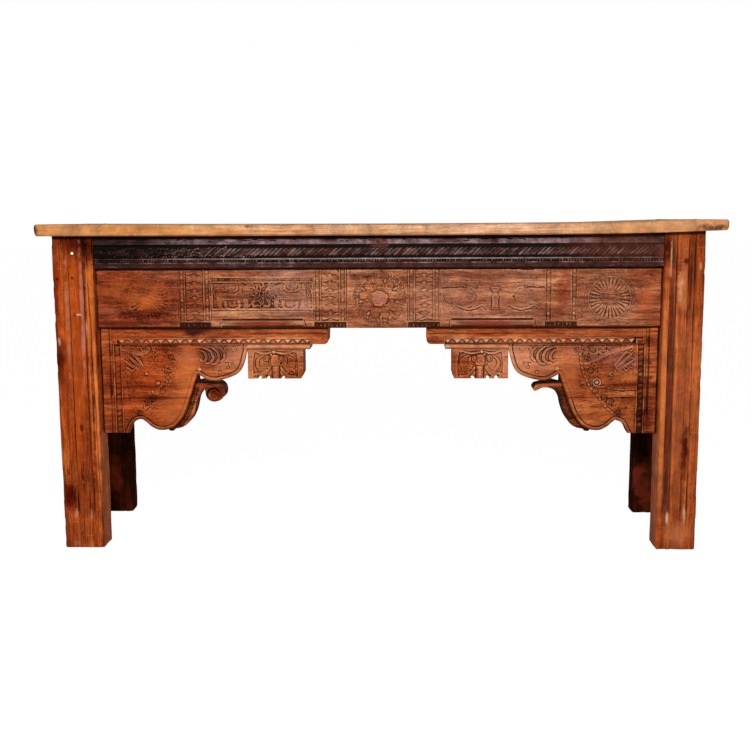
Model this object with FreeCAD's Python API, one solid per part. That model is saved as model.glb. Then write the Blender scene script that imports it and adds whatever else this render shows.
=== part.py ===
import FreeCAD, Part
import os
from FreeCAD import Vector

os.makedirs("parts", exist_ok=True)

# Carved console table of old timber: plank top, four posts, rails, frieze and corbels.
# Millimetres. X runs along the table, +Z is up, the carved front faces -Y.
# The origin is on the floor under the middle of the top.

# Table top
top_length = 1758.0
top_depth = 480.0
top_thickness = 30.0
top_end_bulge = 3.0
top_warp = 9.1
top_board_count = 3
top_station_shares = (0.0, 0.21, 0.522, 0.728, 0.831, 0.899, 0.966, 1.0)
top_warp_shares = (0.2, 0.055, 0.0, 0.0, 0.12, 0.385, 0.81, 1.0)
top_thickness_shares = (1.027, 0.99, 0.957, 0.97, 0.98, 1.01, 0.993, 0.91)

# Where the frame stands under the top
frame_height = 827.6
overhang_left = 33.5
overhang_right = 47.0
overhang_front = 30.0
overhang_rear = 25.0

# Posts
front_leg_width_left = 107.0
front_leg_width_right = 104.0
front_leg_depth = 80.0
rear_leg_width = 92.0
rear_leg_depth = 62.0
leg_arris = 2.5
flute_width = 15.0
flute_depth = 5.0
flute_stop_height = 84.0
quirk_width = 2.4
quirk_depth = 3.2
flute_centre_left_shares = (0.305, 0.675)
flute_centre_right_shares = (0.24, 0.685)

# Front top rail with its carved mouldings
rail_setback = 5.0
rail_thickness = 50.0
rail_height = 84.6
rail_lower_flat = 17.0
rail_bead_band = 7.0
rail_bead_depth = 2.5
rail_fillet = 3.0
rail_rope_band = 33.0
rail_rope_depth = 6.0
rail_groove = 3.0
rail_groove_depth = 5.0

# Frieze board
frieze_setback = 18.0
frieze_thickness = 36.0
frieze_height = 155.0
frieze_ground = 4.0
rosette_radius = 67.0
rosette_offset = 596.0
rosette_hub_radius = 14.0
rosette_ray_count = 16
medallion_radius = 64.0
medallion_disc_radius = 23.0
medallion_petal_count = 8
medallion_drop = 2.5
inner_band_offset = 122.0
outer_band_offset = 476.0
band_width = 84.0
band_strip_width = 18.0
band_margin = 5.0
panel_rim = 6.0
panel_top_drop = 22.0
panel_bar_height = 20.0
panel_bar_length = 211.0
panel_bar_bulge = 4.0

# Tenons and pegs
tenon_gap = 3.0
side_tenon_length = 38.0
tenon_thickness = 20.0
tenon_shoulder = 14.0
peg_radius = 4.0
peg_clearance = 0.1
peg_depth = 52.0
peg_high_drop = 42.6
peg_low_drop = 118.0

# Plain rails behind the front
side_rail_height = 120.0
side_rail_thickness = 30.0
side_rail_inset = 12.0
rear_rail_height = 130.0
rear_rail_thickness = 30.0
rear_rail_inset = 12.0

# Cleats under the top
cleat_width = 60.0
cleat_thickness = 25.0
cleat_gap = 4.0
cleat_offset = 500.0
screw_radius = 2.5
screw_head_radius = 5.0
screw_head_height = 3.0
screw_bite = 15.0

# Pegs that hold the top on the posts
top_peg_radius = 7.0
top_peg_bite = 31.0
top_peg_front_inset = 20.0
top_peg_rear_inset = 11.0

# Carved corbel brackets
bracket_setback = 28.0
bracket_gap = 256.5
bracket_drop = 280.0
bracket_plate_thickness = 22.0
bracket_body_thickness = 63.0
lobe_backing_thickness = 25.0
stile_width = 34.0
stile_chamfer = 6.0
beam_height = 43.0
beam_proud = 4.0
beam_fascia = 28.0
beam_step = 5.0
beam_end_length = 49.0
beam_end_radius = 12.0
bead_band = 14.0
bead_radius = 5.5
plate_joint_drop = 186.0
pendant_start_share = 0.646
pendant_width = 147.0
pendant_height = 78.0
pendant_setback = 4.0
pendant_notch = 7.0
dowel_radius = 5.0
dowel_length = 44.0
nail_radius = 1.5
nail_head_radius = 3.6
nail_head_height = 1.6
nail_length = 34.0
rail_nail_drop = 15.6
rail_nail_offset = 3.0
stile_nail_drop_left = 147.0
stile_nail_drop_right = 94.0
stile_nail_share = 0.7
scroll_eye_radius = 15.0
scroll_groove = 2.6
scroll_groove_depth = 6.0

overrun = 1.0

# Outlines of the corbel: share of the reach from the post, share of the drop from the top
lobe_shares = (
    (0.646, 0.204), (0.640, 0.254), (0.633, 0.314), (0.621, 0.382), (0.603, 0.429),
    (0.572, 0.464), (0.532, 0.489), (0.496, 0.500), (0.466, 0.486), (0.443, 0.457),
    (0.425, 0.432),
)
plate_edge_shares = ((0.425, 0.432), (0.417, 0.479), (0.407, 0.543), (0.395, 0.621), (0.388, 0.664))
belly_shares = (
    (0.388, 0.664), (0.379, 0.725), (0.365, 0.804), (0.345, 0.875), (0.319, 0.935),
    (0.284, 0.968), (0.248, 0.970), (0.217, 0.940), (0.195, 0.898), (0.180, 0.872),
)
notch_shares = {
    "left": ((0.180, 0.872), (0.165, 0.868), (0.150, 0.880)),
    "right": ((0.180, 0.872), (0.167, 0.884), (0.152, 0.898)),
}
foot_shares = {
    "left": ((0.150, 0.880), (0.137, 0.903), (0.126, 0.945), (0.114, 1.0)),
    "right": ((0.152, 0.898), (0.142, 0.935), (0.135, 0.968), (0.127, 1.0)),
}
body_side_share = 0.413
scroll_shares = (
    (0.413, 0.521), (0.433, 0.514), (0.456, 0.521), (0.483, 0.529), (0.509, 0.529),
    (0.526, 0.550), (0.536, 0.589), (0.537, 0.636), (0.529, 0.675), (0.511, 0.704),
    (0.488, 0.714), (0.468, 0.700), (0.456, 0.671), (0.451, 0.636), (0.450, 0.604),
)
scroll_under_shares = ((0.450, 0.604), (0.446, 0.591), (0.440, 0.600), (0.431, 0.629), (0.423, 0.654))
stub_shares = (
    (0.413, 0.536), (0.433, 0.524), (0.456, 0.521), (0.483, 0.529), (0.504, 0.543),
    (0.521, 0.554), (0.532, 0.582), (0.530, 0.609), (0.521, 0.611),
)
stub_under_shares = (
    (0.521, 0.611), (0.499, 0.586), (0.486, 0.579), (0.464, 0.582), (0.447, 0.596),
    (0.432, 0.625), (0.423, 0.654),
)
body_edge_shares = (
    (0.423, 0.654), (0.415, 0.686), (0.410, 0.729), (0.403, 0.793), (0.390, 0.864),
    (0.370, 0.925), (0.344, 0.961), (0.314, 0.975),
)
nub_shares = ((0.314, 0.975), (0.307, 0.993), (0.291, 0.996), (0.281, 0.979))
body_bottom_shares = ((0.281, 0.979), (0.248, 0.975), (0.220, 0.954), (0.195, 0.918), (0.179, 0.875))
body_foot_shares = ((0.179, 0.875), (0.172, 0.829), (0.145, 0.829), (0.099, 0.921), (0.099, 0.986))
backing_shares = (
    (0.636, 0.204), (0.630, 0.250), (0.617, 0.354), (0.598, 0.411), (0.569, 0.446),
    (0.529, 0.471), (0.496, 0.482), (0.469, 0.468), (0.446, 0.439), (0.426, 0.407),
)
scroll_eye_shares = (0.488, 0.646)
pendant_notch_shares = ((0.18, 0.24), (0.33, 0.39), (0.60, 0.66))
pendant_corner_share = 0.16

# Places worked out from the sizes above
top_left_x = -top_length / 2
top_right_x = top_length / 2
top_front_y = -top_depth / 2
top_rear_y = top_depth / 2
leg_front_y = top_front_y + overhang_front
leg_rear_y = top_rear_y - overhang_rear
front_leg_back_y = leg_front_y + front_leg_depth
rear_leg_front_y = leg_rear_y - rear_leg_depth
frame_left_x = top_left_x + overhang_left
frame_right_x = top_right_x - overhang_right
inner_left_x = frame_left_x + front_leg_width_left
inner_right_x = frame_right_x - front_leg_width_right
front_span = inner_right_x - inner_left_x
rail_bottom_z = frame_height - rail_height
centre_x = (inner_left_x + inner_right_x) / 2
rail_front_y = leg_front_y + rail_setback
rail_back_y = rail_front_y + rail_thickness
frieze_front_y = leg_front_y + frieze_setback
frieze_back_y = frieze_front_y + frieze_thickness
frieze_bottom_z = rail_bottom_z - frieze_height
frieze_middle_z = rail_bottom_z - frieze_height / 2 + medallion_drop
plate_front_y = leg_front_y + bracket_setback
plate_back_y = plate_front_y + bracket_plate_thickness
body_back_y = plate_back_y + bracket_body_thickness
beam_bottom_z = frieze_bottom_z - beam_height
bracket_reach = (front_span - bracket_gap) / 2
pendant_start = bracket_reach * pendant_start_share
rear_rail_back_y = leg_rear_y - rear_rail_inset
rear_rail_front_y = rear_rail_back_y - rear_rail_thickness
top_peak_z = frame_height + top_warp + top_thickness


def save(name, shape):
    """Write one named piece."""
    if isinstance(shape, (list, tuple)):
        shape = Part.makeCompound(list(shape))
    shape.exportStep("parts/" + name + ".step")


def box(x0, x1, y0, y1, z0, z1):
    """Box between two corners."""
    return Part.makeBox(x1 - x0, y1 - y0, z1 - z0, Vector(x0, y0, z0))


def rod(radius, length, start, direction):
    """Round rod from a start point along a direction."""
    return Part.makeCylinder(radius, length, start, direction)


def edge_through(points):
    """Straight edge for two points, smooth curve for more."""
    if len(points) == 2:
        return Part.LineSegment(points[0], points[1]).toShape()
    curve = Part.BSplineCurve()
    curve.interpolate(points)
    return curve.toShape()


def slab(stretches, y0, y1):
    """Solid between two Y planes with an outline in XZ given stretch by stretch."""
    edges = []
    for stretch in stretches:
        edges.append(edge_through([Vector(x, y0, z) for x, z in stretch]))
    face = Part.Face(Part.Wire(edges))
    return face.extrude(Vector(0, y1 - y0, 0))


def polygon_slab(corners, y0, y1):
    """Solid between two Y planes with a straight-sided outline in XZ."""
    points = [Vector(x, y0, z) for x, z in corners]
    points.append(points[0])
    return Part.Face(Part.makePolygon(points)).extrude(Vector(0, y1 - y0, 0))


def straight(points):
    """Split a chain of points into straight stretches."""
    return [(points[i], points[i + 1]) for i in range(len(points) - 1)]


def underside_points():
    """Underside of the warped top, from left to right."""
    return [
        (top_left_x + top_length * station, frame_height + top_warp * warp)
        for station, warp in zip(top_station_shares, top_warp_shares)
    ]


def upperside_points():
    """Upper side of the warped top, from left to right."""
    return [
        (x, z + top_thickness * thick)
        for (x, z), thick in zip(underside_points(), top_thickness_shares)
    ]


def top_profile(y0, y1):
    """Warped plank outline with slightly swelled ends, between two Y planes."""
    lower = underside_points()
    upper = upperside_points()
    lower[0] = (lower[0][0] + top_end_bulge, lower[0][1])
    upper[0] = (upper[0][0] + top_end_bulge, upper[0][1])
    lower[-1] = (lower[-1][0] - top_end_bulge, lower[-1][1])
    upper[-1] = (upper[-1][0] - top_end_bulge, upper[-1][1])
    right_end = (lower[-1], (top_right_x, (lower[-1][1] + upper[-1][1]) / 2), upper[-1])
    left_end = (upper[0], (top_left_x, (lower[0][1] + upper[0][1]) / 2), lower[0])
    edges = []
    for start, end in straight(lower):
        edges.append(edge_through([Vector(start[0], y0, start[1]), Vector(end[0], y0, end[1])]))
    edges.append(Part.Arc(*[Vector(x, y0, z) for x, z in right_end]).toShape())
    for start, end in straight(upper[::-1]):
        edges.append(edge_through([Vector(start[0], y0, start[1]), Vector(end[0], y0, end[1])]))
    edges.append(Part.Arc(*[Vector(x, y0, z) for x, z in left_end]).toShape())
    return Part.Face(Part.Wire(edges)).extrude(Vector(0, y1 - y0, 0))


def above_underside():
    """All the space over the underside of the top, for trimming what it rests on."""
    lower = underside_points()
    corners = lower + [(top_right_x, top_peak_z + top_thickness), (top_left_x, top_peak_z + top_thickness)]
    return polygon_slab(corners, top_front_y, top_rear_y)


def below_upperside():
    """All the space under the upper side of the top, for trimming its pegs."""
    upper = upperside_points()
    corners = upper + [(top_right_x, 0), (top_left_x, 0)]
    return polygon_slab(corners, top_front_y, top_rear_y)


def top_peg_places():
    """Place of the upright peg in each post's head, clear of the tenons."""
    inset = side_rail_inset + side_rail_thickness / 2
    places = []
    for y in (leg_front_y + top_peg_front_inset, leg_rear_y - top_peg_rear_inset):
        places += [(frame_left_x + inset, y), (frame_right_x - inset, y)]
    return places


def top_peg(x, y, clearance):
    """Upright peg through the top into a post, trimmed flush with the top."""
    bottom = frame_height - top_peg_bite
    blank = rod(top_peg_radius + clearance, top_peak_z - bottom, Vector(x, y, bottom), Vector(0, 0, 1))
    return blank.common(below_upperside())


def cleat_places():
    """Middle of each cleat along the table."""
    return {"left": -cleat_offset, "middle": 0.0, "right": cleat_offset}


def board_edges():
    """Front and rear of each plank of the top."""
    step = top_depth / top_board_count
    return [(top_front_y + step * i, top_front_y + step * (i + 1)) for i in range(top_board_count)]


def screw_places():
    """One screw through each cleat into each plank that it crosses."""
    places = []
    for x in cleat_places().values():
        for y0, y1 in board_edges():
            low = max(y0, rail_back_y + cleat_gap)
            high = min(y1, rear_rail_front_y - cleat_gap)
            places.append((x, (low + high) / 2))
    return places


def underside_height(x):
    """Height of the underside of the top at a place along the table."""
    points = underside_points()
    for (x0, z0), (x1, z1) in zip(points, points[1:]):
        if x0 <= x <= x1:
            return z0 + (z1 - z0) * (x - x0) / (x1 - x0)
    return points[-1][1]


def cleat_screw(x, y, clearance):
    """Screw from below: a plain shank under a flat head let into the cleat."""
    bottom = underside_height(x) - cleat_thickness
    up = Vector(0, 0, 1)
    head = rod(screw_head_radius + clearance, screw_head_height, Vector(x, y, bottom), up)
    shank = rod(screw_radius + clearance, cleat_thickness + screw_bite, Vector(x, y, bottom), up)
    return head.fuse(shank).removeSplitter()


def top_boards():
    """Planks of the top, edge to edge, with holes for pegs and screws."""
    names = ("front", "middle", "rear")
    pegs = [top_peg(x, y, peg_clearance) for x, y in top_peg_places()]
    screws = [cleat_screw(x, y, peg_clearance) for x, y in screw_places()]
    for name, (y0, y1) in zip(names, board_edges()):
        board = top_profile(y0, y1)
        for hole in pegs + screws:
            board = board.cut(hole)
        save("top_board_" + name, board)


def top_pegs():
    """Wooden pegs that hold the top on the posts."""
    save("top_pegs", [top_peg(x, y, 0) for x, y in top_peg_places()])


def top_cleats():
    """Battens across the planks, cut to the warp."""
    cover = above_underside()
    holes = [cleat_screw(x, y, peg_clearance) for x, y in screw_places()]
    for name, x in cleat_places().items():
        bottom = underside_height(x) - cleat_thickness
        cleat = box(
            x - cleat_width / 2, x + cleat_width / 2,
            rail_back_y + cleat_gap, rear_rail_front_y - cleat_gap,
            bottom, top_peak_z,
        ).cut(cover)
        for hole in holes:
            cleat = cleat.cut(hole)
        save("top_cleat_" + name, cleat)
    save("cleat_screws", [cleat_screw(x, y, 0) for x, y in screw_places()])


def flute_cutters(x0, width, centre_shares, quirk_on_both_sides):
    """Stopped hollows down the face of a post, with a fine quirk beside each."""
    half = flute_width / 2
    radius = (half * half + flute_depth * flute_depth) / (2 * flute_depth)
    axis_y = leg_front_y + flute_depth - radius
    length = top_peak_z - flute_stop_height
    cutters = []
    for share in centre_shares:
        x = x0 + width * share
        cutters.append(rod(radius, length, Vector(x, axis_y, flute_stop_height), Vector(0, 0, 1)))
        cutters.append(Part.makeSphere(radius, Vector(x, axis_y, flute_stop_height)))
        sides = (half, -half - quirk_width) if quirk_on_both_sides else (half,)
        for side in sides:
            cutters.append(box(
                x + side, x + side + quirk_width,
                leg_front_y - overrun, leg_front_y + quirk_depth,
                flute_stop_height, top_peak_z,
            ))
    return cutters


def upright_edges(shape):
    """The four long corners of a post."""
    long_edges = []
    for edge in shape.Edges:
        ends = edge.Vertexes
        if len(ends) == 2 and abs(ends[0].Z - ends[1].Z) > frame_height / 2:
            long_edges.append(edge)
    return long_edges


def post(x0, x1, y0, y1):
    """Square post with eased corners, up to the underside of the top."""
    blank = box(x0, x1, y0, y1, 0, top_peak_z)
    blank = blank.makeChamfer(leg_arris, upright_edges(blank))
    return blank.cut(above_underside())


def tenon_box(x0, x1, y_middle, z0, z1):
    """Tenon that runs along X."""
    half = tenon_thickness / 2
    return box(x0, x1, y_middle - half, y_middle + half, z0 + tenon_shoulder, z1 - tenon_shoulder)


def tenon_length(leg_width):
    """Length of a tenon along X, which stops short of the tenon of the side rail."""
    return leg_width - side_rail_inset - side_rail_thickness - tenon_gap


def front_tenons(x0, x1):
    """Tenons of the top rail and the frieze between two X planes."""
    rail_middle = (rail_front_y + rail_back_y) / 2
    frieze_middle = (frieze_front_y + frieze_back_y) / 2
    return [
        tenon_box(x0, x1, rail_middle, rail_bottom_z, frame_height),
        tenon_box(x0, x1, frieze_middle, frieze_bottom_z, rail_bottom_z),
    ]


def front_tenon_pairs():
    """Tenons at the left and at the right, each pair first the rail's and then the frieze's."""
    left_length = tenon_length(front_leg_width_left)
    right_length = tenon_length(front_leg_width_right)
    return (
        front_tenons(inner_left_x - left_length, inner_left_x + overrun),
        front_tenons(inner_right_x - overrun, inner_right_x + right_length),
    )


def rear_tenon(x0, x1):
    """Tenon of the rear rail between two X planes."""
    middle = (rear_rail_front_y + rear_rail_back_y) / 2
    return tenon_box(x0, x1, middle, frame_height - rear_rail_height, frame_height)


def side_rail_x(side):
    """Both faces of a side rail."""
    if side == "left":
        return frame_left_x + side_rail_inset, frame_left_x + side_rail_inset + side_rail_thickness
    return frame_right_x - side_rail_inset - side_rail_thickness, frame_right_x - side_rail_inset


def side_tenons(side):
    """Both tenons of a side rail, which run along Y into the posts."""
    x0, x1 = side_rail_x(side)
    middle = (x0 + x1) / 2
    half = tenon_thickness / 2
    z0 = frame_height - side_rail_height + tenon_shoulder
    z1 = frame_height - tenon_shoulder
    return [
        box(middle - half, middle + half, front_leg_back_y - side_tenon_length, front_leg_back_y, z0, z1),
        box(middle - half, middle + half, rear_leg_front_y, rear_leg_front_y + side_tenon_length, z0, z1),
    ]


def leg_peg(name, clearance):
    """Pegs through the front posts: from the front on the left, from behind on the right."""
    pegs = []
    for z in (frame_height - peg_high_drop, rail_bottom_z - peg_low_drop):
        if name == "left":
            x = frame_left_x + front_leg_width_left / 2
            start = Vector(x, leg_front_y, z)
            direction = Vector(0, 1, 0)
        else:
            x = frame_right_x - front_leg_width_right / 2
            start = Vector(x, front_leg_back_y, z)
            direction = Vector(0, -1, 0)
        pegs.append(rod(peg_radius + clearance, peg_depth, start, direction))
    return pegs


def side_peg(side, clearance):
    """Pegs from the outer side of the posts into the tenons of a side rail."""
    z = frame_height - side_rail_height / 2
    direction = 1 if side == "left" else -1
    x = frame_left_x if side == "left" else frame_right_x
    depth = side_rail_inset + side_rail_thickness
    pegs = []
    for y in (front_leg_back_y - side_tenon_length / 2, rear_leg_front_y + side_tenon_length / 2):
        pegs.append(rod(peg_radius + clearance, depth, Vector(x, y, z), Vector(direction, 0, 0)))
    return pegs


def rear_peg(side, clearance):
    """Peg from behind into the tenon of the rear rail, below the pegs of the side rails."""
    z = frame_height - rear_rail_height + tenon_shoulder + peg_radius * 3
    inner = tenon_length(rear_leg_width) / 2
    x = frame_left_x + rear_leg_width - inner if side == "left" else frame_right_x - rear_leg_width + inner
    depth = rear_rail_inset + rear_rail_thickness
    return rod(peg_radius + clearance, depth, Vector(x, leg_rear_y, z), Vector(0, -1, 0))


def front_leg(side):
    """Fluted front post with its mortises and peg holes."""
    if side == "left":
        x0, x1 = frame_left_x, inner_left_x
        cutters = flute_cutters(x0, front_leg_width_left, flute_centre_left_shares, False)
        mortises = front_tenons(inner_left_x - tenon_length(front_leg_width_left), inner_left_x)
    else:
        x0, x1 = inner_right_x, frame_right_x
        cutters = flute_cutters(x0, front_leg_width_right, flute_centre_right_shares, True)
        mortises = front_tenons(inner_right_x, inner_right_x + tenon_length(front_leg_width_right))
    leg = post(x0, x1, leg_front_y, front_leg_back_y)
    holes = leg_peg(side, peg_clearance) + side_peg(side, peg_clearance)
    holes += [top_peg(x, y, peg_clearance) for x, y in top_peg_places()]
    holes += [bracket_dowel(spot, peg_clearance) for spot in dowel_places(side)]
    for cutter in cutters + mortises + side_tenons(side) + holes:
        leg = leg.cut(cutter)
    save("front_leg_" + side, leg)


def rear_leg(side):
    """Plain rear post with its mortises and peg holes."""
    if side == "left":
        x0, x1 = frame_left_x, frame_left_x + rear_leg_width
        mortise = rear_tenon(x1 - tenon_length(rear_leg_width), x1)
    else:
        x0, x1 = frame_right_x - rear_leg_width, frame_right_x
        mortise = rear_tenon(x0, x0 + tenon_length(rear_leg_width))
    leg = post(x0, x1, rear_leg_front_y, leg_rear_y)
    holes = side_peg(side, peg_clearance) + [rear_peg(side, peg_clearance)]
    holes += [top_peg(x, y, peg_clearance) for x, y in top_peg_places()]
    for cutter in side_tenons(side) + [mortise] + holes:
        leg = leg.cut(cutter)
    save("rear_leg_" + side, leg)


def rail_section():
    """Moulded section of the top rail, as edges in YZ at the left post."""
    x = inner_left_x
    z1 = rail_bottom_z + rail_lower_flat
    z2 = z1 + rail_bead_band
    z3 = z2 + rail_fillet
    z4 = z3 + rail_rope_band
    z5 = z4 + rail_groove
    face = rail_front_y
    bead_face = face + rail_bead_depth
    rope_face = face + rail_rope_depth
    groove_face = face + rail_groove_depth
    corners = [
        (rail_back_y, rail_bottom_z), (face, rail_bottom_z), (face, z1), (bead_face, z1),
    ]
    edges = [
        Part.LineSegment(Vector(x, a[0], a[1]), Vector(x, b[0], b[1])).toShape()
        for a, b in straight(corners)
    ]
    bead_arc = (Vector(x, bead_face, z1), Vector(x, face, (z1 + z2) / 2), Vector(x, bead_face, z2))
    edges.append(Part.Arc(*bead_arc).toShape())
    step = [(bead_face, z2), (face, z2), (face, z3), (rope_face, z3)]
    for a, b in straight(step):
        edges.append(Part.LineSegment(Vector(x, a[0], a[1]), Vector(x, b[0], b[1])).toShape())
    rope_arc = (Vector(x, rope_face, z3), Vector(x, face, (z3 + z4) / 2), Vector(x, rope_face, z4))
    edges.append(Part.Arc(*rope_arc).toShape())
    rest = [
        (rope_face, z4), (groove_face, z4), (groove_face, z5), (face, z5),
        (face, top_peak_z), (rail_back_y, top_peak_z), (rail_back_y, rail_bottom_z),
    ]
    for a, b in straight(rest):
        edges.append(Part.LineSegment(Vector(x, a[0], a[1]), Vector(x, b[0], b[1])).toShape())
    return Part.Face(Part.Wire(edges))


def iron_nail(place, direction, clearance):
    """Hand-made nail: thin shank under a low round head."""
    x, y, z = place
    head_start = Vector(x, y - nail_head_height * direction, z)
    heading = Vector(0, direction, 0)
    head = rod(nail_head_radius, nail_head_height, head_start, heading)
    shank = rod(nail_radius + clearance, nail_length, Vector(x, y, z), heading)
    return head, shank


def rail_nail_place():
    """Nail in the plain band of the top rail, near its middle."""
    return centre_x + rail_nail_offset, rail_front_y, frame_height - rail_nail_drop


def stile_nail_place(side):
    """Nail in the face of a corbel's stile."""
    along = stile_width * stile_nail_share
    if side == "left":
        return inner_left_x + along, plate_front_y, frieze_bottom_z - stile_nail_drop_left
    return inner_right_x - along, plate_front_y, frieze_bottom_z - stile_nail_drop_right


def iron_nails():
    """All iron nails that show."""
    nails = []
    for place in (rail_nail_place(), stile_nail_place("left"), stile_nail_place("right")):
        head, shank = iron_nail(place, 1, 0)
        nails.append(head.fuse(shank).removeSplitter())
    save("iron_nails", nails)


def front_top_rail():
    """Dark carved rail under the top, tenoned into the front posts."""
    rail = rail_section().extrude(Vector(front_span, 0, 0)).cut(above_underside())
    for tenons in front_tenon_pairs():
        rail = rail.fuse(tenons[0])
    rail = rail.removeSplitter()
    shank = iron_nail(rail_nail_place(), 1, peg_clearance)[1]
    for hole in leg_peg("left", peg_clearance) + leg_peg("right", peg_clearance) + [shank]:
        rail = rail.cut(hole)
    save("front_top_rail", rail)


def rosette(x):
    """Rayed round flower: a disc with radial cuts, a rim and a hub."""
    z = frieze_middle_z
    into = Vector(0, 1, 0)
    disc = rod(rosette_radius, frieze_ground, Vector(x, frieze_front_y, z), into)
    inner = rosette_radius - band_margin
    for i in range(rosette_ray_count):
        angle = 360.0 * i / rosette_ray_count
        ray = box(rosette_hub_radius, inner, 0, frieze_ground / 2, -quirk_width / 2, quirk_width / 2)
        ray.rotate(Vector(0, 0, 0), into, angle)
        ray.translate(Vector(x, frieze_front_y, z))
        disc = disc.cut(ray)
    return disc


def medallion():
    """Round wreath of petals about a flat disc."""
    z = frieze_middle_z
    into = Vector(0, 1, 0)
    middle_radius = (medallion_radius + medallion_disc_radius) / 2
    petal_radius = (medallion_radius - medallion_disc_radius) / 2
    centre = Vector(centre_x, frieze_front_y, z)
    wreath = rod(medallion_disc_radius, frieze_ground, centre, into)
    ring = rod(middle_radius + petal_radius / 2, frieze_ground, centre, into)
    ring = ring.cut(rod(medallion_disc_radius + band_margin, frieze_ground, centre, into))
    for i in range(medallion_petal_count):
        petal = rod(petal_radius, frieze_ground, Vector(middle_radius, 0, 0), into)
        petal.rotate(Vector(0, 0, 0), into, 360.0 * i / medallion_petal_count)
        petal.translate(centre)
        ring = ring.fuse(petal)
    ring = ring.cut(rod(medallion_disc_radius + band_margin / 2, frieze_ground, centre, into))
    return [wreath, ring]


def frieze_reliefs():
    """Raised forms of the frieze: round flowers, upright bands, panel rims and bars."""
    y0, y1 = frieze_front_y, frieze_front_y + frieze_ground
    low, high = frieze_bottom_z + panel_bar_height, rail_bottom_z - band_margin
    reliefs = medallion() + [rosette(centre_x - rosette_offset), rosette(centre_x + rosette_offset)]
    for offset in (-outer_band_offset, -inner_band_offset, inner_band_offset, outer_band_offset):
        for side in (-1, 1):
            middle = centre_x + offset + side * (band_width - band_strip_width) / 2
            half = band_strip_width / 2
            reliefs.append(box(middle - half, middle + half, y0, y1, low, high))
    gap = band_margin
    for side in (-1, 1):
        near = inner_band_offset + band_width / 2 + gap
        far = outer_band_offset - band_width / 2 - gap
        x0 = centre_x + min(side * near, side * far)
        x1 = centre_x + max(side * near, side * far)
        z1 = rail_bottom_z - panel_top_drop
        rim = box(x0, x1, y0, y1, low, z1)
        rim = rim.cut(box(x0 + panel_rim, x1 - panel_rim, y0, y1, low + panel_rim, z1 - panel_rim))
        reliefs.append(rim)
    return reliefs


def frieze_board():
    """Carved board between the front posts, tenoned into them."""
    ground_y = frieze_front_y + frieze_ground
    board = box(inner_left_x, inner_right_x, ground_y, frieze_back_y, frieze_bottom_z, rail_bottom_z)
    plain_half = panel_bar_length / 2
    lower_edge = box(
        inner_left_x, inner_right_x, frieze_front_y, ground_y,
        frieze_bottom_z, frieze_bottom_z + panel_bar_height - band_margin,
    )
    board = board.fuse(lower_edge)
    middle_offset = (inner_band_offset + outer_band_offset) / 2
    bar_radius = (panel_bar_height - band_margin) / 2
    for side in (-1, 1):
        x = centre_x + side * middle_offset
        recess = box(
            x - plain_half, x + plain_half, frieze_front_y, frieze_front_y + panel_bar_bulge,
            frieze_bottom_z, frieze_bottom_z + panel_bar_height - band_margin,
        )
        start = Vector(x - plain_half, frieze_front_y + bar_radius, frieze_bottom_z + bar_radius)
        bar = rod(bar_radius, panel_bar_length, start, Vector(1, 0, 0))
        board = board.cut(recess).fuse(bar)
    for relief in frieze_reliefs():
        board = board.fuse(relief)
    board = board.common(box(
        inner_left_x, inner_right_x, frieze_front_y, frieze_back_y, frieze_bottom_z, rail_bottom_z,
    ))
    for tenons in front_tenon_pairs():
        board = board.fuse(tenons[1])
    board = board.removeSplitter()
    holes = leg_peg("left", peg_clearance) + leg_peg("right", peg_clearance)
    for side in ("left", "right"):
        holes += [bracket_dowel(spot, peg_clearance) for spot in dowel_places(side)]
    for hole in holes:
        board = board.cut(hole)
    save("frieze_board", board)


def rear_rail():
    """Plain board between the rear posts."""
    x0 = frame_left_x + rear_leg_width
    x1 = frame_right_x - rear_leg_width
    board = box(x0, x1, rear_rail_front_y, rear_rail_back_y, frame_height - rear_rail_height, top_peak_z)
    board = board.cut(above_underside())
    length = tenon_length(rear_leg_width)
    board = board.fuse(rear_tenon(x0 - length, x0)).fuse(rear_tenon(x1, x1 + length))
    board = board.removeSplitter()
    for side in ("left", "right"):
        board = board.cut(rear_peg(side, peg_clearance))
    save("rear_rail", board)


def side_rail(side):
    """Plain board between a front and a rear post."""
    x0, x1 = side_rail_x(side)
    board = box(x0, x1, front_leg_back_y, rear_leg_front_y, frame_height - side_rail_height, top_peak_z)
    board = board.cut(above_underside())
    for tenon in side_tenons(side):
        board = board.fuse(tenon)
    board = board.removeSplitter()
    for hole in side_peg(side, peg_clearance):
        board = board.cut(hole)
    save("side_rail_" + side, board)


def frame_pegs():
    """Pegs of the frame, grouped by where they are driven."""
    save("leg_pegs", leg_peg("left", 0) + leg_peg("right", 0))
    save("side_rail_pegs", side_peg("left", 0) + side_peg("right", 0))
    save("rear_rail_pegs", [rear_peg("left", 0), rear_peg("right", 0)])


def bracket_point(side, share):
    """Place on a corbel from its share of the reach and of the drop."""
    along = bracket_reach * share[0]
    x = inner_left_x + along if side == "left" else inner_right_x - along
    return x, frieze_bottom_z - bracket_drop * share[1]


def bracket_curve(side, shares):
    """Run of outline points of a corbel."""
    return [bracket_point(side, share) for share in shares]


def bracket_x(side, along):
    """Place along a corbel, measured from its post."""
    return inner_left_x + along if side == "left" else inner_right_x - along


def bracket_box(side, along0, along1, y0, y1, z0, z1):
    """Box on a corbel, measured along from its post."""
    x0, x1 = bracket_x(side, along0), bracket_x(side, along1)
    return box(min(x0, x1), max(x0, x1), y0, y1, z0, z1)


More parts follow.
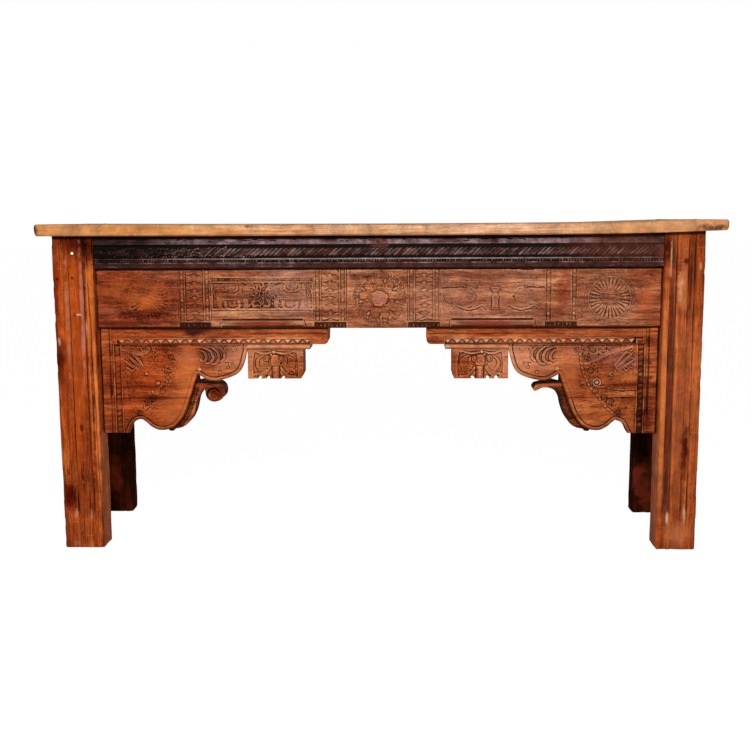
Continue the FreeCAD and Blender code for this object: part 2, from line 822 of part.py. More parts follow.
def dowel_places(side):
    """Dowels of a corbel: two up into the frieze and one across into the post."""
    middle_y = (frieze_front_y + frieze_back_y) / 2
    half = dowel_length / 2
    across_z = frieze_bottom_z - bracket_drop / 2
    across_y = (plate_front_y + front_leg_back_y) / 2
    inward = 1 if side == "left" else -1
    spots = []
    for along in (bracket_reach / 4, bracket_reach * 3 / 4):
        spots.append((Vector(bracket_x(side, along), middle_y, frieze_bottom_z - half), Vector(0, 0, 1)))
    spots.append((Vector(bracket_x(side, -half), across_y, across_z), Vector(inward, 0, 0)))
    return spots


def bracket_dowel(spot, clearance):
    """One hidden dowel."""
    start, direction = spot
    return rod(dowel_radius + clearance, dowel_length, start, direction)


def cut_dowels(shape, side):
    """Dowel holes of a corbel."""
    for spot in dowel_places(side):
        shape = shape.cut(bracket_dowel(spot, peg_clearance))
    return shape


def bracket_stile(side):
    """Upright strip against the post, with an eased corner beside it."""
    foot_z = frieze_bottom_z - bracket_drop
    stile = bracket_box(side, 0, stile_width, plate_front_y, body_back_y, foot_z, frieze_bottom_z)
    x = bracket_x(side, 0)
    inward = 1 if side == "left" else -1
    wedge = [
        Vector(x, plate_front_y, foot_z), Vector(x + inward * stile_chamfer, plate_front_y, foot_z),
        Vector(x, plate_front_y + stile_chamfer, foot_z), Vector(x, plate_front_y, foot_z),
    ]
    stile = stile.cut(Part.Face(Part.makePolygon(wedge)).extrude(Vector(0, 0, bracket_drop)))
    stile = cut_dowels(stile, side)
    stile = stile.cut(iron_nail(stile_nail_place(side), 1, peg_clearance)[1])
    save("bracket_stile_" + side, stile)


def bracket_beam(side):
    """Level arm along the top of a corbel, stepped for its carved band, with a rounded end."""
    start, end = stile_width, bracket_reach
    front = plate_front_y - beam_proud
    beam = bracket_box(side, start, end, front, body_back_y, beam_bottom_z, frieze_bottom_z)
    corner_x = bracket_x(side, end)
    inward = -1 if side == "left" else 1
    square = bracket_box(
        side, end - beam_end_radius, end, front, body_back_y, beam_bottom_z, beam_bottom_z + beam_end_radius,
    )
    round_axis = Vector(corner_x + inward * beam_end_radius, front, beam_bottom_z + beam_end_radius)
    rounded = rod(beam_end_radius, body_back_y - front, round_axis, Vector(0, 1, 0))
    beam = beam.cut(square.cut(rounded))
    step = bracket_box(
        side, start, end - beam_end_length, front, front + beam_step,
        beam_bottom_z, frieze_bottom_z - beam_fascia,
    )
    save("bracket_beam_" + side, cut_dowels(beam.cut(step), side))


def bracket_bead(side):
    """Half-round moulding between the arm and the hanging block."""
    start, end = pendant_start, bracket_reach - beam_end_length
    front = plate_front_y + pendant_setback
    bead = bracket_box(side, start, end, front, body_back_y, beam_bottom_z - bead_band, beam_bottom_z)
    low_x = min(bracket_x(side, start), bracket_x(side, end))
    axis = Vector(low_x, front, beam_bottom_z - bead_band / 2)
    save("bracket_bead_" + side, bead.fuse(rod(bead_radius, end - start, axis, Vector(1, 0, 0))))


def bracket_upper_board(side):
    """Upper carved board of a corbel, with its hanging lobe."""
    joint_z = frieze_bottom_z - plate_joint_drop
    lobe = bracket_curve(side, lobe_shares)
    edge = bracket_curve(side, plate_edge_shares)
    stile_x = bracket_x(side, stile_width)
    lobe[0] = (bracket_x(side, pendant_start), lobe[0][1])
    edge[-1] = (edge[-1][0], joint_z)
    chain = [
        [(stile_x, beam_bottom_z), (lobe[0][0], beam_bottom_z)],
        [(lobe[0][0], beam_bottom_z), lobe[0]],
        lobe,
        edge,
        [edge[-1], (stile_x, joint_z)],
        [(stile_x, joint_z), (stile_x, beam_bottom_z)],
    ]
    save("bracket_upper_board_" + side, slab(chain, plate_front_y, plate_back_y))


def bracket_lower_board(side):
    """Lower carved board of a corbel, with its belly and foot."""
    joint_z = frieze_bottom_z - plate_joint_drop
    belly = bracket_curve(side, belly_shares)
    belly[0] = (belly[0][0], joint_z)
    notch = bracket_curve(side, notch_shares[side])
    foot = bracket_curve(side, foot_shares[side])
    stile_x = bracket_x(side, stile_width)
    chain = [
        [(stile_x, joint_z), belly[0]],
        belly,
        notch,
        foot,
        [foot[-1], (stile_x, foot[-1][1])],
        [(stile_x, foot[-1][1]), (stile_x, joint_z)],
    ]
    save("bracket_lower_board_" + side, slab(chain, plate_front_y, plate_back_y))


def bracket_body(side):
    """Thick timber behind the carved boards; the left one keeps its scroll, the right one a stub."""
    if side == "left":
        arm, under = bracket_curve(side, scroll_shares), bracket_curve(side, scroll_under_shares)
    else:
        arm, under = bracket_curve(side, stub_shares), bracket_curve(side, stub_under_shares)
    side_x = bracket_x(side, bracket_reach * body_side_share)
    stile_x = bracket_x(side, stile_width)
    foot = bracket_curve(side, body_foot_shares)
    chain = [
        [(stile_x, beam_bottom_z), (side_x, beam_bottom_z)],
        [(side_x, beam_bottom_z), arm[0]],
        arm,
        under,
        bracket_curve(side, body_edge_shares),
        bracket_curve(side, nub_shares),
        bracket_curve(side, body_bottom_shares),
    ]
    chain += straight(foot)
    chain += [[foot[-1], (stile_x, foot[-1][1])], [(stile_x, foot[-1][1]), (stile_x, beam_bottom_z)]]
    body = slab(chain, plate_back_y, body_back_y)
    backing = bracket_curve(side, backing_shares)
    backing_chain = [
        [(side_x, beam_bottom_z), (backing[0][0], beam_bottom_z)],
        [(backing[0][0], beam_bottom_z), backing[0]],
        backing,
        [backing[-1], (side_x, backing[-1][1])],
        [(side_x, backing[-1][1]), (side_x, beam_bottom_z)],
    ]
    body = body.fuse(slab(backing_chain, plate_back_y, plate_back_y + lobe_backing_thickness))
    if side == "left":
        x, z = bracket_point(side, scroll_eye_shares)
        centre = Vector(x, plate_back_y, z)
        into = Vector(0, 1, 0)
        ring = rod(scroll_eye_radius + scroll_groove, scroll_groove_depth, centre, into)
        ring = ring.cut(rod(scroll_eye_radius, scroll_groove_depth, centre, into))
        upper = box(
            x - scroll_eye_radius * 2, x + scroll_eye_radius * 2,
            plate_back_y, plate_back_y + scroll_groove_depth, z, z + scroll_eye_radius * 2,
        )
        body = body.cut(ring.common(upper))
    save("bracket_body_" + side, body.removeSplitter())


def bracket_pendant(side):
    """Hanging block under the moulding, notched along its lower edge."""
    front = plate_front_y + pendant_setback
    top_z = beam_bottom_z - bead_band
    low_z = top_z - pendant_height
    start = pendant_start
    block = bracket_box(side, start, start + pendant_width, front, body_back_y, low_z, top_z)
    for near, far in pendant_notch_shares:
        block = block.cut(bracket_box(
            side, start + pendant_width * near, start + pendant_width * far,
            front, body_back_y, low_z, low_z + pendant_notch,
        ))
    far_x = bracket_x(side, start + pendant_width)
    inward = -1 if side == "left" else 1
    size = pendant_height * pendant_corner_share
    corner = [(far_x, low_z), (far_x + inward * size / 2, low_z), (far_x, low_z + size)]
    save("bracket_pendant_" + side, block.cut(polygon_slab(corner, front, body_back_y)))


def bracket(side):
    """Whole corbel of one side."""
    bracket_stile(side)
    bracket_beam(side)
    bracket_bead(side)
    bracket_upper_board(side)
    bracket_lower_board(side)
    bracket_body(side)
    bracket_pendant(side)


def bracket_dowels():
    """Hidden dowels of both corbels."""
    spots = dowel_places("left") + dowel_places("right")
    save("bracket_dowels", [bracket_dowel(spot, 0) for spot in spots])


top_boards()
top_pegs()
top_cleats()
for leg_side in ("left", "right"):
    front_leg(leg_side)
    rear_leg(leg_side)
    side_rail(leg_side)
    bracket(leg_side)
front_top_rail()
frieze_board()
rear_rail()
frame_pegs()
bracket_dowels()
iron_nails()
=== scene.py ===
import math
from functools import partial
import bpy
import numpy as np
from mathutils import Matrix, Vector
from mathutils.geometry import delaunay_2d_cdt


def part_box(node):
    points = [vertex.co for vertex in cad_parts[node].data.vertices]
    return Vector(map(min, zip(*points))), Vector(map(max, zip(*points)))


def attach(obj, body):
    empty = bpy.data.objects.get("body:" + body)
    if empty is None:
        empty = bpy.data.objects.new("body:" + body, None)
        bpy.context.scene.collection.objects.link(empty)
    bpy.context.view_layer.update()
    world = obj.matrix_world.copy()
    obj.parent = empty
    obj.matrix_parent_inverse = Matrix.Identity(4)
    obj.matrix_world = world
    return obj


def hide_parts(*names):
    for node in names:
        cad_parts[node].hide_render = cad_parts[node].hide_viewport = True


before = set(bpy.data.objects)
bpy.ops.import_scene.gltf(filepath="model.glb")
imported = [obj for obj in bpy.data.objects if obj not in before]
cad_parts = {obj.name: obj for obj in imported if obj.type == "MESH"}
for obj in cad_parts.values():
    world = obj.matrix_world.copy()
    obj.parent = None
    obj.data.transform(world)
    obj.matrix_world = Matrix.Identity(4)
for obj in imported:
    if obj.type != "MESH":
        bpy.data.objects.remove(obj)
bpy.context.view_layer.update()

# Carved console table of old timber. Sizes in the dictionaries are millimetres, meshes are metres.
mm = 0.001


# Small tools for numbers and lines

lattice = np.random.RandomState(7).rand(64, 64) * 2 - 1


# value held between 0 and 1
def unit(value):
    return np.clip(value, 0, 1)


# smooth random field from -1 to 1, one bump per cell
def cloud(u, v, cell, seed=0):
    a = np.asarray(u, float) / cell + seed * 7.31
    b = np.asarray(v, float) / cell + seed * 3.17
    i, j = np.floor(a).astype(int), np.floor(b).astype(int)
    fa, fb = a - i, b - j
    fa, fb = fa * fa * (3 - 2 * fa), fb * fb * (3 - 2 * fb)
    i0, i1, j0, j1 = i % 64, (i + 1) % 64, j % 64, (j + 1) % 64
    low = lattice[i0, j0] * (1 - fa) + lattice[i1, j0] * fa
    high = lattice[i0, j1] * (1 - fa) + lattice[i1, j1] * fa
    return low * (1 - fb) + high * fb


# long shallow ridges of weathered timber, about -1 to 1
def grainField(along, across, seed=0):
    broad = cloud(along / 18, across, 9, seed)
    fine = cloud(along / 14, across, 3.2, seed + 1)
    return broad * 0.6 + fine * 0.4


# curve through the given points
def smoothLine(points, steps=8, closed=False):
    p = np.asarray(points, float)
    if len(p) < 3:
        return p
    if closed:
        ext = np.vstack([p[-1], p, p[0], p[1]])
    else:
        ext = np.vstack([2 * p[0] - p[1], p, 2 * p[-1] - p[-2]])
    out = []
    for k in range(1, len(ext) - 2):
        a, b, c, d = ext[k - 1], ext[k], ext[k + 1], ext[k + 2]
        for t in np.arange(steps) / steps:
            out.append(0.5 * (2 * b + (c - a) * t + (2 * a - 5 * b + 4 * c - d) * t * t
                              + (3 * b - a - 3 * c + d) * t ** 3))
    if not closed:
        out.append(ext[-2])
    return np.array(out)


# points at even distances along a line
def spread(line, gap, closed=False):
    p = np.asarray(line, float)
    if closed:
        p = np.vstack([p, p[:1]])
    run = np.concatenate([[0], np.cumsum(np.linalg.norm(np.diff(p, axis=0), axis=1))])
    count = max(2, int(round(run[-1] / gap)))
    at = np.linspace(0, run[-1], count + 1)
    even = np.column_stack([np.interp(at, run, p[:, k]) for k in range(p.shape[1])])
    return even[:-1] if closed else even


# distance of each point to a line of straight pieces
def lineDistance(x, z, line):
    best = np.full(np.shape(x), 1e9)
    for (ax, az), (bx, bz) in zip(line[:-1], line[1:]):
        dx, dz = bx - ax, bz - az
        size = dx * dx + dz * dz + 1e-9
        t = unit(((x - ax) * dx + (z - az) * dz) / size)
        best = np.minimum(best, (x - ax - t * dx) ** 2 + (z - az - t * dz) ** 2)
    return np.sqrt(best)


# true where a point lies inside a closed outline
def insideLoop(x, z, loop):
    hit = np.zeros(np.shape(x), bool)
    for (ax, az), (bx, bz) in zip(loop, np.roll(loop, -1, axis=0)):
        if az == bz:
            continue
        crosses = (az > z) != (bz > z)
        hit ^= crosses & (x < (bx - ax) * (z - az) / (bz - az) + ax)
    return hit


# Meshes

# value of each point that the finish reads
def keepLayer(mesh, label, values):
    store = mesh.attributes.new(label, "FLOAT", "POINT")
    store.data.foreach_set("value", np.asarray(values, np.float32))


# object from points in mm, with the hollowness of each point kept for the finish
def meshPiece(name, points, faces, carve=None, sharpAngle=38):
    mesh = bpy.data.meshes.new(name)
    mesh.from_pydata((np.asarray(points) * mm).tolist(), [], faces)
    if carve is not None:
        keepLayer(mesh, "carve", carve)
    mesh.polygons.foreach_set("use_smooth", np.ones(len(mesh.polygons), bool))
    mesh.set_sharp_from_angle(angle=math.radians(sharpAngle))
    mesh.update()
    piece = bpy.data.objects.new(name, mesh)
    bpy.context.scene.collection.objects.link(piece)
    return piece


# give a finished piece its material, and let it stand for its nodes
def settle(piece, material, slotName, *nodes):
    if material is not None:
        piece.data.materials.clear()
        piece.data.materials.append(material)
    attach(piece, "root")
    if nodes:
        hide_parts(*nodes)
    return piece


# closed bar from rings of points, one after the other
def sweptBar(name, rings, carve=None, sharpAngle=38):
    rings = np.asarray(rings)
    count, size = rings.shape[:2]
    base = np.arange(count - 1)[:, None] * size
    i = np.arange(size)[None, :]
    j = (i + 1) % size
    quads = np.stack([base + i, base + j, base + size + j, base + size + i], axis=-1).reshape(-1, 4)
    centre = rings.reshape(-1, 3).mean(axis=0)
    flat = rings.reshape(-1, 3) - centre
    a, b, c = flat[quads[:, 0]], flat[quads[:, 1]], flat[quads[:, 2]]
    first, last = list(range(size))[::-1], list(range((count - 1) * size, count * size))
    if np.einsum("ij,ij->i", a, np.cross(b, c)).sum() < 0:
        quads = quads[:, ::-1]
        first, last = first[::-1], last[::-1]
    faces = quads.tolist() + [first, last]
    return meshPiece(name, rings.reshape(-1, 3), faces, carve, sharpAngle)


def nodeBox(name):
    low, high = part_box(name)
    return np.array(low) / mm, np.array(high) / mm


# Carving: heights painted on a fine grid, then taken up by a board's mesh

def newCanvas(x0, x1, z0, z1, level, step=1.0):
    x, z = np.meshgrid(np.arange(x0, x1 + step, step), np.arange(z0, z1 + step, step))
    # besides the heights: a layer of real dirt together with painted shade, and a layer of painted sheen
    # and painted shade together with dust
    return {"x": x, "z": z, "x0": x0, "z0": z0, "step": step, "h": np.full(x.shape, float(level)),
            "dirtAndShade": np.zeros(x.shape), "haze": np.zeros(x.shape)}


def patchOf(canvas, x0, x1, z0, z1):
    step = canvas["step"]
    rows = slice(max(0, int((z0 - canvas["z0"]) / step)), max(0, int((z1 - canvas["z0"]) / step) + 2))
    columns = slice(max(0, int((x0 - canvas["x0"]) / step)), max(0, int((x1 - canvas["x0"]) / step) + 2))
    return rows, columns


# bring the part of the canvas where distance is above zero to a level
def blendTo(canvas, part, distance, level, soft=1.6, dirtAndShade=None, haze=None):
    share = unit(distance / soft)
    for layer, value in (("h", level), ("dirtAndShade", dirtAndShade), ("haze", haze)):
        if value is not None:
            canvas[layer][part] = canvas[layer][part] * (1 - share) + value * share


def sinkBox(canvas, x0, x1, z0, z1, level, soft=1.6, dirtAndShade=None, haze=None):
    part = patchOf(canvas, x0, x1, z0, z1)
    x, z = canvas["x"][part], canvas["z"][part]
    distance = np.minimum(np.minimum(x - x0, x1 - x), np.minimum(z - z0, z1 - z))
    blendTo(canvas, part, distance, level, soft, dirtAndShade, haze)


def sinkDisc(canvas, x, z, radius, level, soft=1.6, dirtAndShade=None, haze=None):
    part = patchOf(canvas, x - radius, x + radius, z - radius, z + radius)
    distance = radius - np.hypot(canvas["x"][part] - x, canvas["z"][part] - z)
    blendTo(canvas, part, distance, level, soft, dirtAndShade, haze)


def dome(canvas, x, z, rx, rz, floor, height, turn=0.0, power=0.5):
    reach = max(rx, rz)
    part = patchOf(canvas, x - reach, x + reach, z - reach, z + reach)
    dx, dz = canvas["x"][part] - x, canvas["z"][part] - z
    c, s = math.cos(turn), math.sin(turn)
    inside = 1 - ((dx * c + dz * s) / rx) ** 2 - ((dz * c - dx * s) / rz) ** 2
    h = canvas["h"][part]
    h[...] = np.where(inside > 0, np.maximum(h, floor + height * unit(inside) ** power), h)


# rounded ridge along a line, or a cut into the ground; it narrows to its tips
def stroke(canvas, line, width, floor, height, tips=(0.35, 0.35), cut=False, power=0.6, smooth=True):
    line = smoothLine(line, 5) if smooth else np.asarray(line, float)
    low, high = line.min(axis=0) - width, line.max(axis=0) + width
    part = patchOf(canvas, low[0], high[0], low[1], high[1])
    x, z = canvas["x"][part], canvas["z"][part]
    count = len(line) - 1
    reach = np.full(x.shape, 9.0)
    for k in range(count):
        (ax, az), (bx, bz) = line[k], line[k + 1]
        dx, dz = bx - ax, bz - az
        t = unit(((x - ax) * dx + (z - az) * dz) / (dx * dx + dz * dz + 1e-9))
        along = (k + t) / count * 2 - 1
        tip = np.where(along < 0, tips[0], tips[1])
        half = width / 2 * (1 - (1 - tip) * np.abs(along) ** 1.6)
        reach = np.minimum(reach, np.hypot(x - ax - t * dx, z - az - t * dz) / half)
    bump = unit(1 - reach ** 2) ** power
    h = canvas["h"][part]
    h[...] = h - height * bump if cut else np.where(reach < 1, np.maximum(h, floor + height * bump), h)


def groove(canvas, line, width, depth, tips=(0.35, 0.35), smooth=True):
    stroke(canvas, line, width, 0, depth, tips, cut=True, smooth=smooth)


# raised pillow with a closed outline
def plateau(canvas, loop, floor, height, edge=5.0, smooth=True):
    loop = smoothLine(loop, 5, True) if smooth else np.asarray(loop, float)
    part = patchOf(canvas, loop[:, 0].min(), loop[:, 0].max(), loop[:, 1].min(), loop[:, 1].max())
    x, z = canvas["x"][part], canvas["z"][part]
    distance = lineDistance(x, z, np.vstack([loop, loop[:1]])) * insideLoop(x, z, loop)
    bump = floor + height * np.sqrt(unit(1 - (1 - unit(distance / edge)) ** 2))
    h = canvas["h"][part]
    h[...] = np.where(distance > 0, np.maximum(h, bump), h)


# points of a curl from one radius to another
def spiral(x, z, start, end, turns, fromAngle, flip=1):
    t = np.linspace(0, 1, int(14 * turns) + 2)
    angle = fromAngle + t * turns * 2 * math.pi
    radius = start + (end - start) * t
    return np.column_stack([x + flip * radius * np.cos(angle), z + radius * np.sin(angle)])


def placed(points, x, z, flip=1, size=1.0):
    p = np.asarray(points, float) * size
    return np.column_stack([x + flip * p[:, 0], z + p[:, 1]])


# shallow ridges of the grain over the whole carved face
def weather(canvas, seed, wave=0.3, fine=0.22):
    canvas["h"] += grainField(canvas["x"], canvas["z"], seed) * fine
    canvas["h"] += cloud(canvas["x"], canvas["z"], 70, seed + 2) * wave


# small cuts and dents of long use, mostly along the grain
def nicked(canvas, count, seed, depth=1.0):
    shake = np.random.RandomState(seed)
    x, z = canvas["x"], canvas["z"]
    for _ in range(count):
        cx, cz = shake.uniform(x.min(), x.max()), shake.uniform(z.min(), z.max())
        length, turn = shake.uniform(3, 15), shake.normal(0, 0.35)
        line = [(cx, cz), (cx + length * math.cos(turn), cz + length * math.sin(turn))]
        groove(canvas, line, shake.uniform(1.4, 3.0), depth * shake.uniform(0.4, 1.2), smooth=False)


# short curved leaf or curl, one of many that fill a carved ground
def comma(canvas, cx, cz, size, shake, floor, height):
    start, bow = shake.uniform(0, 6.28), shake.uniform(1.6, 3.6) * shake.choice((-1, 1))
    line = [(cx + size * math.cos(start + bow * t), cz + size * math.sin(start + bow * t))
            for t in np.linspace(0, 1, 6)]
    stroke(canvas, line, size * 0.62, floor, height, (1.0, 0.35))


# worn patches, where the carving is rubbed down to one level
def wornDown(canvas, mask, level):
    mask = unit(mask)
    canvas["h"] = canvas["h"] * (1 - mask) + level * mask


# dirt in every place of the mask that lies under a level
def settledDirt(canvas, mask, level, share):
    canvas["dirtAndShade"] += share * unit(level - canvas["h"]) * unit(mask)


# small lumps of old, rubbed carving
def lumpy(canvas, mask, seed, fine=0.5, coarse=0.4):
    x, z = canvas["x"], canvas["z"]
    canvas["h"] += (cloud(x, z, 5.5, seed) * fine + cloud(x, z, 12, seed + 1) * coarse) * unit(mask)


# field blurred over so many cells each way
def softened(field, cells):
    for axis in (0, 1):
        total, weight = np.zeros_like(field), 0.0
        for k in range(-cells, cells + 1):
            w = 1 - abs(k) / (cells + 1)
            pad = np.roll(field, k, axis=axis)
            total += pad * w
            weight += w
        field = total / weight
    return field


# how far each place lies under its surroundings, with the painted dirt and painted shade on top; the finish
# darkens hollows with it as painted shade and dirt, and lightens raised places as wear and painted
# highlight
def hollowness(canvas, calm=1.0):
    step = canvas["step"]
    near = softened(canvas["h"], int(2 / step)) - canvas["h"]
    wide = softened(canvas["h"], int(5 / step)) - canvas["h"]
    relief = (near * 1.7 + wide * 0.5) * calm
    return np.clip(np.where(relief < 0, relief * 0.62, relief) + canvas["dirtAndShade"], -1, 1.3)


def sampled(canvas, layer, x, z):
    step = canvas["step"]
    i = np.clip((x - canvas["x0"]) / step, 0, layer.shape[1] - 1.001)
    j = np.clip((z - canvas["z0"]) / step, 0, layer.shape[0] - 1.001)
    i0, j0 = i.astype(int), j.astype(int)
    fi, fj = i - i0, j - j0
    low = layer[j0, i0] * (1 - fi) + layer[j0, i0 + 1] * fi
    high = layer[j0 + 1, i0] * (1 - fi) + layer[j0 + 1, i0 + 1] * fi
    return low * (1 - fj) + high * fj


# triangles of a closed ring with loose points inside, as points and index triples
def triangulated(ring, inner):
    flat = np.vstack([ring, inner]) if len(inner) else ring
    size = len(ring)
    edges = [(i, (i + 1) % size) for i in range(size)]
    made = delaunay_2d_cdt([Vector(p) for p in flat.tolist()], edges, [], 1, 1e-6)
    origin = [source[0] if source else -1 for source in made[3]]
    points = np.array([(v.x, v.y) for v in made[0]])
    return points, np.array(made[2]), np.array(origin)


# closed board with a carved front; the outline runs anticlockwise in XZ as seen from the front
def carvedBoard(name, outline, canvas, frontY, backY, look):
    gap, ease, top = look["gap"], look.get("ease", 2.0), look["top"]
    ring = spread(outline, gap, True)
    low, high = ring.min(axis=0), ring.max(axis=0)
    x, z = np.meshgrid(np.arange(low[0] + gap * 0.7, high[0], gap),
                       np.arange(low[1] + gap * 0.7, high[1], gap))
    x, z = x.ravel(), z.ravel()
    shut = np.vstack([outline, outline[:1]])
    away = lineDistance(x, z, shut)
    keep = insideLoop(x, z, outline) & (away > gap * 0.6)
    inner = np.column_stack([x[keep], z[keep]])
    points, triangles, origin = triangulated(ring, inner)
    size, count = len(ring), len(points)
    isRing = (origin >= 0) & (origin < size)
    fromEdge = np.where(isRing, 0.0, lineDistance(points[:, 0], points[:, 1], shut))
    drop = ease - np.sqrt(np.clip(ease ** 2 - np.clip(ease - fromEdge, 0, ease) ** 2, 0, None))
    hollow = sampled(canvas, hollowness(canvas, look.get("calm", 1.0)), points[:, 0], points[:, 1])
    depth = top - sampled(canvas, canvas["h"], points[:, 0], points[:, 1]) + drop
    depth = np.maximum(depth, 0.05)
    front = np.column_stack([points[:, 0], frontY + depth, points[:, 1]])
    place = np.zeros(size, int)
    place[origin[isRing]] = np.flatnonzero(isRing)
    edge = front[place]
    following, before = np.roll(edge, -1, axis=0), np.roll(edge, 1, axis=0)
    along = following[:, [0, 2]] - before[:, [0, 2]]
    along /= np.linalg.norm(along, axis=1)[:, None] + 1e-9
    outward = np.column_stack([along[:, 1], -along[:, 0]])
    run = np.arange(size) * gap
    rows = [front]
    levels = np.linspace(0, 1, look.get("sideRows", 5) + 1)[1:]
    carve = [np.where(isRing, np.maximum(hollow, -0.2), hollow)]
    for share in levels:
        y = edge[:, 1] + (backY - edge[:, 1]) * share
        bite = look["sideCarve"](run, y - frontY) if "sideCarve" in look else np.zeros(size)
        bite = bite + (1 - cloud(run, y, 13, look.get("seed", 0))) * look.get("sideWear", 0.25)
        bite = bite * min(1.0, share * 4) * (1.0 if share < 1 else 0.4)
        if share == 1:
            bite = bite + 0.8
        rows.append(np.column_stack([edge[:, 0] - outward[:, 0] * bite, y,
                                     edge[:, 2] - outward[:, 1] * bite]))
        # side faces darkened
        carve.append(look.get("sideDarkening", 0.35) + bite * 0.12)
    faces = triangles.tolist()
    i = np.arange(size)
    j = (i + 1) % size
    upper = place
    for level in range(len(levels)):
        lower = count + level * size + i
        faces += np.stack([upper, lower, lower[j], upper[j]], axis=-1).tolist()
        upper = lower
    back, backTriangles, backOrigin = triangulated(rows[-1][:, [0, 2]], [])
    if len(back) == size:
        faces += upper[backOrigin[backTriangles]][:, ::-1].tolist()
    else:
        faces.append(upper[::-1].tolist())
    everything = np.vstack(rows)
    haze = np.zeros(len(everything))
    haze[:count] = sampled(canvas, canvas["haze"], points[:, 0], points[:, 1])
    piece = meshPiece(name, everything, faces, np.concatenate(carve), look.get("sharp", 55))
    keepLayer(piece.data, "haze", haze)
    return piece


# Nodes

# new node, its settings made, its sockets set or linked
def addNode(tree, kind, sockets=None, **settings):
    plainKind = kind.startswith(("GeometryNode", "FunctionNode"))
    node = tree.nodes.new(kind if plainKind else "ShaderNode" + kind)
    for key, value in settings.items():
        setattr(node, key, value)
    for socket, value in (sockets or {}).items():
        if isinstance(value, bpy.types.NodeSocket):
            tree.links.new(value, node.inputs[socket])
        else:
            node.inputs[socket].default_value = value
    return node


def outputsOf(tree, kind, sockets=None, **settings):
    return addNode(tree, kind, sockets, **settings).outputs


def sums(tree, operation, first, second=0.0, clamp=False):
    return addNode(tree, "Math", {0: first, 1: second}, operation=operation, use_clamp=clamp).outputs[0]


socketKinds = {float: "Float", int: "Int", tuple: "Vector"}


# empty tree with named inputs; a word instead of a value is a kind of socket without one
def blankTree(name, inputs, made):
    tree = bpy.data.node_groups.new(name, "GeometryNodeTree")
    for label, value in inputs.items():
        kind = value if isinstance(value, str) else socketKinds[type(value)]
        socket = tree.interface.new_socket(label, in_out="INPUT", socket_type="NodeSocket" + kind)
        if kind != value:
            socket.default_value = value
    tree.interface.new_socket(made, in_out="OUTPUT", socket_type="NodeSocketGeometry")
    return tree, tree.nodes.new("NodeGroupInput").outputs, tree.nodes.new("NodeGroupOutput").inputs


# Small repeated shapes along guide lines, made with Geometry Nodes

# one chip on every step of a guide line, turned with the line, sized and shaken a little
def chipTree(name, shape):
    tree, given, result = blankTree(name, {
        "Guide": "Geometry", "Gap": 0.01, "Size": (0.01, 0.01, 0.01), "Turn": 0.0, "Jitter": 0.1, "Seed": 1,
        "Hollowness": -0.2, "PaintedLightAndDust": 0.0, "Uneven": 0.0, "Bend": 0.0, "Finish": "Material"}, "Chips")
    add, maths = partial(outputsOf, tree), partial(sums, tree)
    pointed, jitter, uneven = shape == "tooth", given["Jitter"], given["Uneven"]

    def anyFrom(low, high):
        return add("FunctionNodeRandomValue", {2: low, 3: high, "Seed": given["Seed"]},
                   data_type="FLOAT")[1]

    curve = add("GeometryNodeMeshToCurve", {0: given["Guide"]})[0]
    steps = add("GeometryNodeResampleCurve", {"Curve": curve, "Length": given["Gap"]}, mode="LENGTH")[0]
    if pointed:
        sockets = {"Vertices": 3, "Radius Top": 0.34, "Radius Bottom": 0.58, "Depth": 1.0}
        chip = add("GeometryNodeMeshCone", sockets)["Mesh"]
    else:
        sockets = {"Segments": 8, "Rings": 6 if shape == "leaf" else 5, "Radius": 0.5}
        chip = add("GeometryNodeMeshUVSphere", sockets)["Mesh"]
    lying = (math.pi / 2, math.pi / 2 if pointed else 0.0, 0.0)
    chip = add("GeometryNodeTransform", {"Geometry": chip, "Rotation": lying})[0]
    # both ends of the chip lean over, in opposite ways
    x = add("SeparateXYZ", {0: add("GeometryNodeInputPosition")[0]})["X"]
    arch = maths("MULTIPLY", maths("MULTIPLY", x, maths("ABSOLUTE", x)), given["Bend"])
    lift = add("CombineXYZ", {"Z": arch})[0]
    chip = add("GeometryNodeSetPosition", {"Geometry": chip, "Offset": lift})[0]
    tangent = add("GeometryNodeInputTangent")[0]
    aim = add("FunctionNodeAlignRotationToVector", {"Vector": tangent}, axis="X", pivot_axis="Y")[0]
    angle = anyFrom(maths("MULTIPLY", jitter, -0.8), maths("MULTIPLY", jitter, 0.8))
    angle = add("CombineXYZ", {"Y": maths("ADD", angle, given["Turn"])})[0]
    spin = add("FunctionNodeEulerToRotation", {0: angle})[0]
    turned = add("FunctionNodeRotateRotation", {0: aim, 1: spin}, rotation_space="LOCAL")[0]
    grow = anyFrom(maths("SUBTRACT", 1.0, jitter), maths("ADD", 1.0, jitter))
    size = add("VectorMath", {0: given["Size"], "Scale": grow}, operation="SCALE")[0]
    chips = add("GeometryNodeInstanceOnPoints",
                {"Points": steps, "Instance": chip, "Rotation": turned, "Scale": size})[0]
    hollow = maths("ADD", anyFrom(maths("MULTIPLY", uneven, -1.0), uneven), given["Hollowness"])
    for label, value in (("carve", hollow), ("haze", given["PaintedLightAndDust"])):
        chips = add("GeometryNodeStoreNamedAttribute", {"Geometry": chips, "Name": label, "Value": value},
                    data_type="FLOAT", domain="INSTANCE")[0]
    chips = add("GeometryNodeRealizeInstances", {0: chips})[0]
    chips = add("GeometryNodeSetShadeSmooth", {"Geometry": chips, "Shade Smooth": not pointed})[0]
    chips = add("GeometryNodeSetMaterial", {"Geometry": chips, "Material": given["Finish"]})[0]
    tree.links.new(chips, result[0])
    return tree


chipTrees = {shape: chipTree(shape + "Row", shape) for shape in ("bead", "leaf", "tooth")}


